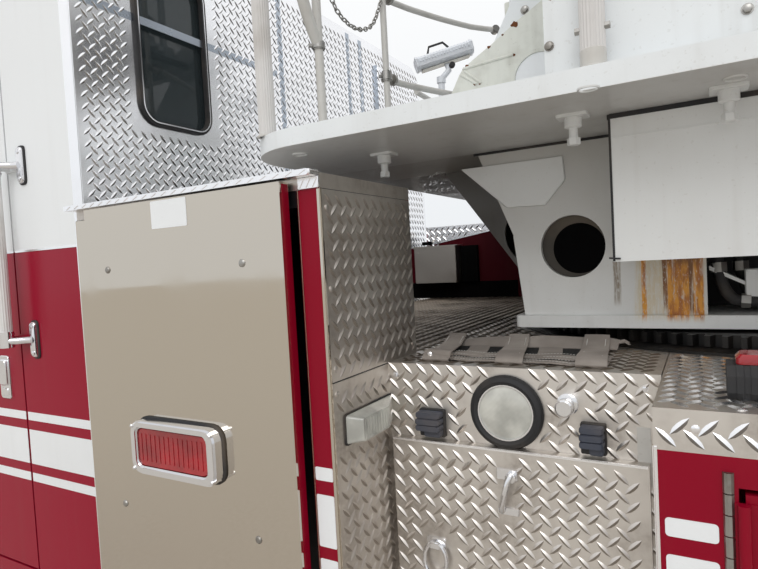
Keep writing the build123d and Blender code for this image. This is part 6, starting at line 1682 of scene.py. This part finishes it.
def heel_plate_details():
    """Toe plates, weld strips, openings, bolts and rust at the foot of the ladder's heel plates."""
    plates = Work()
    side = side_face(0.63)
    edge = [(5.025, 1.892), (5.03, 2), (5.045, 2.041), (5.068, 2.083), (5.081, 2.0996), (5.1256, 2.125),
            (5.1605, 2.1437),
            (5.189, 2.161), (5.231, 2.187), (5.263, 2.204), (5.292, 2.2196), (5.42, 2.29), (5.42, 1.892)]
    slab(plates, side, edge, 0, 0.028, 0.002)
    for path, radius in (([(5.0816, 2.0969), (5.2225, 2.1049)], 0.0042),
                         ([(5.0833, 2.0909), (5.1304, 2.0487)], 0.0034),
                         ([(5.074, 2.0819), (5.1181, 2.0484)], 0.0034),
                         ([(5.056, 1.935), (5.4, 1.935)], 0.004)):
        tube(plates, [spot(s, 0.658, z) for s, z in path], radius, 8)
    ring(plates, side_face(0.658), 5.2872, 2.0336,
         [(0.062, 0), (0.073, 0), (0.072, 0.004), (0.063, 0.004)], 40)
    bar(plates, side_face(0.56), 5.192, 5.262, 2.175, 2.262, 0, 0.058, 0.004)
    make_both("heel_toes", plates, M_HEEL, "turntable")
    pale = Work()
    turned(pale, side_face(0.6582), 5.2872, 2.0336, [(0.062, 0), (0.062, 0.0006)], 40)
    make_both("heel_openings", pale, M_WHITE, "turntable")
    rng = random.Random(3)
    flecks = Work()
    for s, z, size in ((5.23, 2.1815, 0.0095), (5.1575, 2.139, 0.0045), (5.0927, 2.1025, 0.0045),
                       (5.083, 2.096, 0.004),
                       (5.1132, 2.0494, 0.0045), (5.2242, 2.1029, 0.004), (5.196, 2.162, 0.003),
                       (5.127, 2.047, 0.003)):
        outline = [(s + size * rng.uniform(0.7, 1.3) * cos(pi * i / 5),
                    z + size * rng.uniform(0.5, 1.1) * sin(pi * i / 5))
                   for i in range(10)]
        slab(flecks, side_face(0.658), outline, 0, 0.0009 if size < 0.009 else 0.0004)
    make_both("heel_rust", flecks, M_RUSTY, "turntable")
    heads = Work()
    hex_bolt(heads, side_face(0.65), 5.256, 2.214, 0.0085, 0.01)
    make_both("heel_edge_bolts", heads, M_STEEL, "turntable")
    console = Work()
    for s, z in ((5.409, 1.958), (5.717, 1.945), (6.05, 1.945)):
        hex_bolt(console, side_face(CONSOLE_SIDE), s, z, 0.0068, 0.006)
    make("console_bolts", console, M_STEEL, "turntable")


# Webbing net on the deck
def strip(work, path, across, thick=0.0024):
    """Flat webbing along a path, as wide as its across vectors."""
    path = [Vector(p) for p in path]
    across = [Vector(a) for a in across] if isinstance(across, list) else [Vector(across)] * len(path)
    points, polygons = [], []
    for k, p in enumerate(path):
        before, after = path[max(k - 1, 0)], path[min(k + 1, len(path) - 1)]
        lift = across[k].cross(after - before).normalized()
        lift = lift if lift.z > 0 else -lift
        half = across[k] * 0.5
        for u in (-1, -0.5, 0, 0.5, 1):
            points.append(p + half * u + lift * (0.0006 * (1 - u * u)))
        for u in (1, 0.5, 0, -0.5, -1):
            points.append(p + half * u - lift * thick)
    n = 10
    for k in range(len(path) - 1):
        for i in range(n):
            j = (i + 1) % n
            polygons.append([n * k + i, n * (k + 1) + i, n * (k + 1) + j, n * k + j])
    polygons.append(list(range(n)))
    polygons.append([n * (len(path) - 1) + i for i in range(n)][::-1])
    work.add(None, points, polygons)


def cargo_net():
    """Sewn webbing net lying folded on the deck edge, with rolled ends, over a near-black sheet of painted
    shadow.
    """
    rng = random.Random(7)
    net, stitches = Work(), Work()
    back = [(5.04, 1.355), (5.1, 1.36), (5.151, 1.3652), (5.2, 1.368), (5.24, 1.3665),
            (5.29, 1.3714), (5.34, 1.3706),
            (5.4, 1.368), (5.445, 1.369), (5.47, 1.364)]
    path, wide = [], []
    for s, z in back:
        path.append(spot(s, 0.776, (z + 1.3492) / 2 + 0.0015))
        wide.append(Vector((0, -0.048, z - 1.3492)))
    strip(net, path, wide)
    for y0, y1, z in ((0.905, 0.95, 1.3525), (0.957, 0.988, 1.3495)):
        path = [spot(s, (y0 + y1) / 2 + 0.003 * sin(s * 40), z + 0.0016 * sin(s * 55 + y0 * 9)) for s in
                (5.105 + 0.037 * i for i in range(11))]
        strip(net, path, (0, y1 - y0, 0))
    for s_back, s_front, width in ((5.143, 5.18, 0.052), (5.32, 5.35, 0.055)):
        path = [spot(s_back, 0.792, 1.3515), spot((s_back * 2 + s_front) / 3, 0.84, 1.35),
                spot((s_back + s_front * 2) / 3, 0.89, 1.3515), spot(s_front, 0.95, 1.3545)]
        strip(net, path, (width, 0, 0))
    for s_back, s_front, w_back, w_front in ((5.067, 5.11, 0.046, 0.066), (5.2325, 5.28, 0.052, 0.06),
                                             (5.42, 5.446, 0.056, 0.061)):
        last = 1
        steps = ((0.752, 1.376), (0.79, 1.3665), (0.84, 1.359), (0.9, 1.361), (0.95, 1.3635),
                 (0.985, 1.362), (last, 1.356),
                 (1.004, 1.35), (last, 1.3475), (0.96, 1.347))
        path, wide = [], []
        for y, z in steps:
            t = min(1, (y - 0.752) / 0.248)
            path.append(spot(s_back + (s_front - s_back) * t, y, z + rng.uniform(-0.0008, 0.0008)))
            wide.append(Vector((w_back + (w_front - w_back) * t, 0, 0.002 * sin(9 * t))))
        strip(net, path, wide)
    spiral, wide = [], []
    for i in range(22):
        turn = 0.62 * i
        radius = 0.0105 - 0.0003 * i
        spiral.append(spot(5.111, 0.985 + radius * sin(turn), 1.3585 + radius * cos(turn)))
        wide.append(Vector((-0.07, 0.012, 0)))
    strip(net, spiral, wide, 0.0018)
    for i in range(7):
        s, y = 5.468 + 0.001 * i, 0.76 + 0.006 * i
        tube(net, [spot(s, y, 1.364), spot(s + 0.012, y - 0.002, 1.367 + 0.002 * sin(i * 3)),
                        spot(s + 0.02 + 0.004 * cos(i * 5), y + 0.003, 1.361)], 0.0008, 5)
    for y, z in ((0.909, 1.3542), (0.946, 1.3542), (0.961, 1.3513), (0.984, 1.3513)):
        for i in range(52):
            s = 5.115 + 0.0068 * i
            wave = 0.0016 * sin(s * 55 + (8.145 if y < 0.955 else 8.613))
            bar(stitches, top_face(z + wave), s, s + 0.0044, y - 0.0006, y + 0.0006, 0, 0.0007)
    for s_back, s_front in ((5.067, 5.11), (5.2325, 5.28), (5.42, 5.446)):
        for i in range(24):
            t = 0.12 + 0.03 * i
            y = 0.752 + 0.248 * t
            z = 1.376 - 0.019 * min(1, t / 0.35) + 0.0045 * max(0, (t - 0.35) / 0.45)
            for offset in (-0.02, 0.02):
                s = s_back + (s_front - s_back) * t + offset
                bar(stitches, top_face(z), s - 0.0006, s + 0.0006, y, y + 0.0042, -0.001, 0.0013)
    # Painted shadow: a near-black sheet under the net's windows.
    shadow_sheet = Work()
    strip(shadow_sheet, [spot(s, 0.868, 1.3485 + 0.0003 * sin(30 * s)) for s in (5.075, 5.16, 5.25, 5.34, 5.425)],
          (0, 0.15, 0), 0.0012)
    under = make("cargo_net_shadow_sheet", shadow_sheet, M_NET_SHADOW, sharp=50)
    piece = make("cargo_net", net, M_WEBBING, sharp=50)
    seams = make("cargo_net_stitches", stitches, M_RAIL, "chassis", "seat_cloth", sharp=50)
    rivet = Work()
    turned(rivet, side_face(0.9965), 5.094, 1.36,
           [(0.0065, 0), (0.0065, 0.0012), (0.0045, 0.0028), (0.0015, 0.0032)], 14)
    make("cargo_net_rivet", rivet, M_CHROME)


def column_inner_faces():
    """Red sheets of painted shade, black sheets of painted shadow, chequer top and fillers on the columns'
    inner faces.
    """
    red, dark, bright, lugs = Work(), Work(), Work(), Work()
    face = inner_face(0.885)
    # Painted shade: dark red sheets over the inner face and its filler.
    bar(red, face, 4.237, 5.003, 1.3455, 1.7265, 0, 0.0015)
    slab(red, face, [(4.106, 1.437), (4.2365, 1.437), (4.2365, 1.652), (4.106, 1.64)], -0.003, 0.0015)
    # Painted shadow: a black sheet low on the inner face.
    bar(dark, face, 4.106, 4.76, 1.3455, 1.4365, -0.002, 0.004)
    top = [(4.237, 1.652), (4.545, 1.7), (4.8, 1.742), (4.8, 1.757), (4.237, 1.757)]
    slab(bright, face, top, 0, 0.004)
    tread_lugs(lugs, inner_face(0.881), 4.226, 4.79, 1.64, 1.768, lambda a,
               b: 1.668 + 0.16 * (a - 4.237) < b < 1.75)
    make_both("column_inner_shade_sheets", red, M_SHADE_RED)
    make_both("column_inner_shadow_panels", dark, M_SHADOW)
    make_both("column_inner_tops", bright, M_TREAD)
    make_both("column_inner_lugs", lugs, M_LUG)


def far_column_box():
    """Stainless box, black panels of painted shadow and chrome ring on the inner face of the right column."""
    face = side_face(-0.885)
    box, dark, bright = Work(), Work(), Work()
    slab(box, face, rounded(4.192, 4.446, 1.437, 1.64, 0.006), 0.002, 0.1, 0.003)
    bar(box, face, 4.188, 4.45, 1.636, 1.648, 0.002, 0.108, 0.003)
    for s in (4.215, 4.425):
        hex_bolt(box, side_face(-0.785), s, 1.61, 0.006, 0.004)
    make("column_box", box, M_STEEL_BOX)
    # Painted shadow: black panels beside the box and near the ring.
    bar(dark, face, 4.45, 4.545, 1.437, 1.64, 0.0015, 0.03, 0.003)
    bar(dark, face, 4.205, 4.262, 1.656, 1.676, 0.0015, 0.02, 0.003)
    make("column_shadow_panels", dark, M_SHADOW)
    ring(bright, face, 4.287, 1.665, [(0.015, 0.002), (0.023, 0.002), (0.024, 0.008), (0.02, 0.014),
                                      (0.015, 0.01)], 28)
    make("column_ring", bright, M_CHROME)


def slewing_ring():
    """Black toothed ring and hydraulic fittings under and inside the turntable's base."""
    teeth = Work()
    centre = spot(TURN_STATION, 0, 0)
    count = 150
    ring(teeth, top_face(DECK), TURN_STATION, 0,
         [(0.52, 0.0005), (RING_RADIUS, 0.0005), (RING_RADIUS, 0.006), (0.838, 0.01), (0.8, 0.011),
                                                   (0.8, 0.038), (0.52, 0.038)], 96)
    for i in range(count):
        turn = 2 * pi * i / count
        across = Vector((-sin(turn), cos(turn), 0))
        outward = Vector((cos(turn), sin(turn), 0))
        face = Face(centre + outward * 0.798 + Vector((0, 0, DECK + 0.0115)), across, UP, outward)
        points = [(-0.01, 0, 0), (0.01, 0, 0), (0.01, 0.026, 0), (-0.01, 0.026, 0),
                  (-0.0055, 0.001, 0.022), (0.0055, 0.001, 0.022), (0.0055, 0.025, 0.022),
                  (-0.0055, 0.025, 0.022)]
        teeth.add(face, points, [[4, 5, 6, 7], [0, 1, 5, 4], [1, 2, 6, 5], [2, 3, 7, 6], [3, 0, 4, 7]])
    make("slewing_teeth", teeth, M_GREASE)

    hoses, pale, steel = Work(), Work(), Work()
    for y, shift in ((0.655, 0), (0.6, 0.045)):
        path = arc_path(spot(5.672 + shift, y, 1.545), spot(5.676 + shift, y + 0.01, 1.462),
                        spot(5.706 + shift, y + 0.02, 1.449), 6)
        path += arc_path(spot(5.722 + shift, y + 0.02, 1.447), spot(5.765 + shift, y + 0.02, 1.445),
                         spot(5.8 + shift, y, 1.44), 5)
        tube(hoses, path, 0.0125, 14)
        tube(steel, [spot(5.675 + shift, y + 0.003, 1.512), spot(5.674 + shift, y + 0.002, 1.534)], 0.0165, 6)
        tube(steel, [spot(5.715 + shift, y + 0.02, 1.448), spot(5.733 + shift, y + 0.02, 1.4465)], 0.0165,
             6)
    for i in range(5):
        y = 0.5 + 0.035 * i
        tube(hoses, [spot(5.8, y, 1.432), spot(5.95, y, 1.47), spot(6.12, y, 1.466)], 0.011, 12)
    bar(hoses, side_face(0.5), 5.6, 6.2, 1.4215, 1.55, 0, 0.003)
    make("base_hoses", hoses.doubled(), M_RUBBER, "turntable", sharp=60)
    bar(pale, side_face(0.64), 5.724, 5.764, 1.448, 1.518, 0, 0.04, 0.004)
    slab(pale, side_face(0.56), [(5.655, 1.518), (5.735, 1.476), (5.735, 1.484), (5.655, 1.528)], 0, 0.11)
    bar(pale, side_face(0.56), 5.86, 6.02, 1.44, 1.52, 0, 0.06, 0.006)
    make_both("base_blocks", pale, M_TABLE, "turntable")
    make_both("base_fittings", steel, M_STEEL, "turntable")


# Cab fittings
GRAB_STATIONS = (1.632, 3.735)
GRAB_SIDE = 1.212


def grab_bars():
    """Ribbed white sleeves, chrome ends and bracket covers of the cab's hand bars."""
    sleeves, bright, pads = Work(), Work(), Work()
    face = side_face(CAB_SIDE)
    for s in GRAB_STATIONS:
        tube(sleeves, [spot(s, GRAB_SIDE, 1.418), spot(s, GRAB_SIDE, 1.913)], 0.0185, 32, 0.0012)
        for z, reach in ((1.392, 1), (1.939, -1)):
            end = z - 0.02 * reach
            tube(bright, [spot(s, GRAB_SIDE, end), spot(s, GRAB_SIDE, end + 0.003 * reach),
                          spot(s, GRAB_SIDE, z + 0.03 * reach)],
                 0.0205, 24)
            ring(bright, Face(spot(s, GRAB_SIDE, z + 0.022 * reach), AHEAD, LEFT, UP), 0, 0,
                 [(0.0195, -0.003), (0.0222, -0.003), (0.0222, 0.003), (0.0195, 0.003)], 24)
            arm = [spot(s + 0.012, GRAB_SIDE - 0.002, z), spot(s + 0.03, GRAB_SIDE - 0.016, z),
                   spot(s + 0.052, CAB_SIDE + 0.016, z),
                   spot(s + 0.068, CAB_SIDE + 0.01, z)]
            tube(bright, arm, 0.0115, 14)
            slab(bright, face, rounded(s + 0.054, s + 0.084, z - 0.056, z + 0.056, 0.012), 0.003, 0.0125,
                 0.004)
            for dz in (-0.042, 0.042):
                turned(bright, side_face(CAB_SIDE + 0.0125), s + 0.069, z + dz,
                       [(0.0075, 0), (0.007, 0.002), (0.003, 0.0032)], 12)
            slab(pads, face, rounded(s + 0.05, s + 0.09, z - 0.061, z + 0.061, 0.014), 0, 0.0045, 0.001)
    make_both("grab_sleeves", sleeves, M_SLEEVE_WHITE, sharp=20)
    make_both("grab_chrome", bright, M_CHROME, sharp=50)
    make_both("grab_gaskets", pads, M_RUBBER)


# Shutters, horns, mirrors, seat frames and wheel nuts
SHUTTERS = ((6.68, 7.42, 0.62, 1.24), (7.82, 9.28, 1.42, 2.15), (9.4, 10.96, 1.42, 2.15))


def shutters():
    """Slats, tracks, lift bars and locks of the roll-up shutters."""
    slats, tracks, bright, dark = Work(), Work(), Work(), Work()
    face = side_face(1.252)
    for s0, s1, z0, z1 in SHUTTERS:
        count = round((z1 - z0) / 0.046)
        pitch = (z1 - z0) / count
        for i in range(count):
            z = z0 + pitch * i
            outline = [(z + 0.004, 0), (z + 0.007, 0.003), (z + pitch * 0.45, 0.0042),
                       (z + pitch - 0.01, 0.003), (z + pitch - 0.007, 0)]
            slab(slats, Face(spot(s0 + 0.014, 1.252, 0), UP, LEFT, BACK), outline, 0, s1 - s0 - 0.028)
        for a, b in ((s0, s0 + 0.02), (s1 - 0.02, s1)):
            bar(tracks, face, a, b, z0, z1, 0, 0.012, 0.003)
        bar(tracks, face, s0 + 0.02, s1 - 0.02, z1 - 0.028, z1, 0, 0.015, 0.004)
        middle = (s0 + s1) / 2
        low = z0 + pitch
        bar(bright, face, middle - 0.18, middle + 0.18, low + 0.004, low + 0.026, 0.01, 0.0165, 0.003)
        turned(dark, side_face(1.2665), middle, low + 0.015,
               [(0.0085, 0), (0.0085, 0.002), (0.005, 0.003)], 16)
        bar(dark, face, s0 + 0.02, s1 - 0.02, z0 + 0.001, z0 + 0.01, 0, 0.008, 0.002)
    make_both("shutter_slats", slats, M_SHUTTER)
    make_both("shutter_tracks", tracks, M_SHUTTER)
    make_both("shutter_bars", bright, M_CHROME)
    make_both("shutter_seals", dark, M_RUBBER)


def locker_jambs():
    """Corner plates behind the upper corners of the front lower lockers' doors."""
    plates = Work()
    for s in (5.672, 6.578):
        bar(plates, side_face(1.215), s, s + 0.03, 1.196, 1.238, 0, 0.002)
    make_both("locker_jamb_plates", plates, M_RED)


def bumper_details():
    """Well lid, horns and edge strip of the front bumper."""
    lid, bright, dark = Work(), Work(), Work()
    bar(lid, top_face(0.78), 0.075, 0.466, -0.448, 0.448, 0.125, 0.131, 0.004)
    for y in (-0.446, 0.44):
        bar(lid, top_face(0.78), 0.085, 0.46, y, y + 0.006, 0, 0.126)
    bar(lid, top_face(0.78), 0.078, 0.084, -0.446, 0.446, 0, 0.126)
    lugs = Work()
    tread_lugs(lugs, top_face(0.911), 0.08, 0.46, -0.445, 0.445)
    make("bumper_lid", lid, M_TREAD)
    make("bumper_lid_lugs", lugs, M_LUG)
    for y in (-0.25, 0.25):
        bar(dark, top_face(0.911), 0.1, 0.15, y - 0.03, y + 0.03, 0, 0.01, 0.003)
    make("bumper_latches", dark, M_RUBBER)
    horn = Face(spot(0.42, 0.76, 0.862), LEFT, UP, AHEAD)
    profile = [(0.03, 0), (0.03, 0.045), (0.014, 0.055), (0.016, 0.12), (0.022, 0.19), (0.034, 0.24),
               (0.054, 0.275),
               (0.06, 0.28), (0.052, 0.279), (0.03, 0.25), (0.016, 0.2)]
    turned(bright, horn, 0, 0, profile, 36)
    for s in (0.395, 0.25):
        bar(bright, top_face(0.78), s - 0.012, s + 0.012, 0.748, 0.772, 0, 0.066)
    make_both("air_horns", bright, M_CHROME)


def mirror_faces():
    """Glass and black housings of the door mirrors."""
    glass, dark = Work(), Work()
    back = rear_face(0.695)
    band(dark, back, rounded(1.232, 1.418, 1.782, 2.198, 0.028), rounded(1.243, 1.407, 1.793, 2.187, 0.02),
         0, 0.004)
    slab(glass, back, rounded(1.244, 1.406, 1.915, 2.186, 0.018), 0, 0.003, 0.001)
    slab(glass, back, rounded(1.244, 1.406, 1.794, 1.903, 0.018), 0, 0.005, 0.003)
    bar(dark, back, 1.243, 1.407, 1.904, 1.914, 0, 0.0035)
    make_both("mirror_glasses", glass, M_GLASS_BACK)
    make_both("mirror_rims", dark, M_RUBBER)


def seat_frames():
    """Pedestals and back shells of the cab seats."""
    frames = Work()
    for front, inner, height in SEATS:
        if height > 1.26:
            bar(frames, top_face(1.041), front + 0.06, front + 0.44, inner + 0.04, inner + 0.42, 0,
                height - 1.043, 0.02)
        bar(frames, top_face(height), front + 0.01, front + 0.44, inner + 0.015, inner + 0.445, -0.004,
            0.012, 0.01)
        slab(frames, rear_face(front + 0.444),
             rounded(inner + 0.02, inner + 0.44, height + 0.08, height + 0.712, 0.05), 0, 0.014, 0.006)
    make("seat_frames", frames.doubled(), M_PLASTIC)


def wheel_nuts():
    """Nuts, studs and hub caps of the wheels."""
    for name, body, station, disc, hub in (("front_wheel", "wheel_front_left", FRONT_AXLE, 1.165, 1.205),
                                           ("rear_wheel", "wheels_rear_left", REAR_AXLE, 1.015, 1.155)):
        nuts, caps = Work(), Work()
        for i in range(10):
            turn = 2 * pi * i / 10
            s, z = station + 0.168 * cos(turn), WHEEL_HEIGHT + 0.168 * sin(turn)
            face = side_face(disc)
            turned(nuts, face, s, z, [(0.024, 0), (0.024, 0.005)], 20)
            turned(nuts, face, s, z, [(0.018, 0.005), (0.018, 0.026), (0.015, 0.03)], 6)
            turned(nuts, face, s, z, [(0.01, 0.03), (0.01, 0.04), (0.008, 0.042)], 12)
        cap = side_face(hub)
        turned(caps, cap, station, WHEEL_HEIGHT,
               [(0.086, -0.001), (0.086, 0.003), (0.07, 0.0065), (0.03, 0.0085)] if hub > 1.2 else
               [(0.086, -0.001), (0.086, 0.006), (0.07, 0.014), (0.03, 0.018)], 40)
        for i in range(8):
            turn = 2 * pi * (i + 0.5) / 8
            hex_bolt(caps, cap, station + 0.076 * cos(turn), WHEEL_HEIGHT + 0.076 * sin(turn), 0.0055,
                     0.0045, 0.003)
        make_both(name + "_nuts", nuts, M_STEEL, body, "wheel_alloy")
        make_both(name + "_caps", caps, M_CHROME, body, "wheel_alloy")


# Ladder
LADDER = (
    # body, front, back, half width, bottom
    ("ladder_base", 5.25, 11.6, 0.56, 2.87),
    ("ladder_second", 5.48, 11.7, 0.48, 2.962),
    ("ladder_third", 5.56, 11.8, 0.4, 3.036),
    ("ladder_fly", 5.64, 11.9, 0.322, 3.108),
)


def ladder_details():
    """Ribbed rung sleeves, end caps, pads, pipes and tip lamps of the ladder sections."""
    for body, s0, s1, half, bottom in LADDER:
        rungs, caps = Work(), Work()
        inner = half - 0.064
        for i in range(int((s1 - s0 - 0.2) / 0.355) + 1):
            s = s0 + 0.15 + 0.355 * i
            tube(rungs, [spot(s, -inner, bottom + 0.033), spot(s, inner, bottom + 0.033)], 0.0205, 24, 0.0014)
        make(body + "_rung_sleeves", rungs, M_RUNG, body, sharp=20)
        for y in (-half + 0.001, half - 0.061):
            bar(caps, rear_face(s1 - 0.004), y, y + 0.06, bottom + 0.001, bottom + 0.065, 0, 0.0035, 0.002)
            bar(caps, front_face(s0 + 0.004), y, y + 0.06, bottom + 0.001, bottom + 0.065, 0, 0.0035,
                0.002)
        make(body + "_end_caps", caps, M_RUBBER, body)
    pipes, clips = Work(), Work()
    for y in (0.488, 0.462):
        tube(pipes, [spot(6.1, y, 2.858), spot(10.25, y, 2.858)], 0.009, 12)
    for i in range(9):
        s = 6.2 + 0.48 * i
        bar(clips, under_face(2.87), s - 0.012, s + 0.012, 0.45, 0.502, 0, 0.0215, 0.003)
    make_both("ladder_pipes", pipes, M_CHROME, "ladder_base")
    make_both("ladder_pipe_clips", clips, M_RUBBER, "ladder_base")
    lamps, faces = Work(), Work()
    out = rear_face(11.8)
    turned(lamps, out, 0.24, 3.47, [(0.02, -0.05), (0.036, -0.036), (0.042, -0.01), (0.042, 0)], 28)
    turned(faces, out, 0.24, 3.47, [(0.038, 0), (0.037, 0.002), (0.022, 0.005)], 28)
    bar(lamps, out, 0.236, 0.302, 3.424, 3.436, -0.04, -0.02)
    make_both("tip_lamps", lamps, M_LAMP_BODY, "ladder_fly")
    make_both("tip_lamp_lenses", faces, M_CLEAR, "ladder_fly")


# Rear and sides
def rear_details():
    """Beacons, reflectors, side marker lamps and the lamps' plate at the back of the body."""
    red, amber, bright = Work(), Work(), Work()
    for s, y in ((11, 1.15), (7.8, 1.15)):
        turned(bright, top_face(BOX_TOP), s, y, [(0.07, 0), (0.07, 0.014), (0.06, 0.02)], 32)
        turned(red, top_face(BOX_TOP), s, y,
               [(0.058, 0.02), (0.056, 0.07), (0.044, 0.092), (0.018, 0.1)], 32)
    side = side_face(BODY_SIDE)
    for s, z, work in ((11.05, 0.72, red), (7.56, 0.9, amber)):
        slab(work, side, rounded(s - 0.045, s + 0.045, z - 0.02, z + 0.02, 0.015), 0, 0.012, 0.005)
    turned(red, rear_face(BODY_BACK), 0.76, 0.7, [(0.038, 0), (0.038, 0.006), (0.034, 0.009)], 28)
    band(bright, rear_face(BODY_BACK), rounded(0.64, 0.86, 1.9, 2.08, 0.02),
         rounded(0.655, 0.845, 1.915, 2.065, 0.012), 0, 0.014)
    slab(red, rear_face(BODY_BACK), rounded(0.656, 0.844, 1.916, 2.064, 0.012), 0, 0.012, 0.004)
    make_both("rear_red_lamps", red, M_RED_LENS)
    make_both("side_amber_lamps", amber, M_AMBER)
    make_both("beacon_feet", bright, M_CHROME)


def console_panel():
    """Levers, knobs and gauges on the sloping face of the turntable's console."""
    face = Face(spot(0, CONSOLE_SIDE, 2.46), BACK, (0, -0.3672, 0.9301), (0, 0.9301, 0.3672))
    panel, knobs, bright, lit = Work(), Work(), Work(), Work()
    slab(panel, face, rounded(5.44, 6.21, 0.014, 0.19, 0.012), 0, 0.003, 0.001)
    for s in (5.56, 5.7, 5.84):
        turned(panel, face, s, 0.06, [(0.026, 0.003), (0.024, 0.01), (0.012, 0.02), (0.008, 0.024)], 24)
        turned(bright, face, s, 0.06, [(0.005, 0.02), (0.005, 0.07)], 12)
        turned(knobs, face, s, 0.06, [(0.008, 0.066), (0.014, 0.074), (0.015, 0.088), (0.01, 0.097),
                                       (0.004, 0.099)], 20)
    for s in (5.5, 5.6, 5.7, 5.8):
        ring(bright, face, s, 0.142, [(0.026, 0.003), (0.031, 0.003), (0.031, 0.009), (0.026, 0.009)], 28)
        turned(lit, face, s, 0.142, [(0.026, 0.003), (0.026, 0.006)], 28)
    for i in range(6):
        turned(knobs, face, 5.93 + 0.045 * i, 0.06, [(0.012, 0.003), (0.011, 0.01), (0.006, 0.012)], 16)
        turned(bright, face, 5.93 + 0.045 * i, 0.13, [(0.008, 0.003), (0.006, 0.016), (0.004, 0.024)], 12)
    make("console_panel", panel, M_RUBBER, "turntable")
    make("console_knobs", knobs, M_CATCH, "turntable")
    make("console_bright_parts", bright, M_CHROME, "turntable")
    make("console_dials", lit, M_CLEAR, "turntable")
    seam, handle = Work(), Work()
    side = side_face(CONSOLE_SIDE)
    band(seam, side, rounded(5.52, 6.14, 2.23, 2.43, 0.012), rounded(5.523, 6.137, 2.233, 2.427, 0.011),
         0, 0.0008)
    tube(handle, [spot(5.78, 1.083, 2.4), spot(5.78, 1.105, 2.4), spot(5.88, 1.105, 2.4),
                  spot(5.88, 1.083, 2.4)], 0.006, 10)
    make("console_seams", seam, M_RUBBER, "turntable")
    make("console_handle", handle, M_CHROME, "turntable")


shutters()
locker_jambs()
bumper_details()
mirror_faces()
seat_frames()
wheel_nuts()
ladder_details()
rear_details()
console_panel()

turntable_rails()
safety_chain()
floodlight()
heel_plate_details()
cargo_net()
column_inner_faces()
far_column_box()
slewing_ring()
grab_bars()
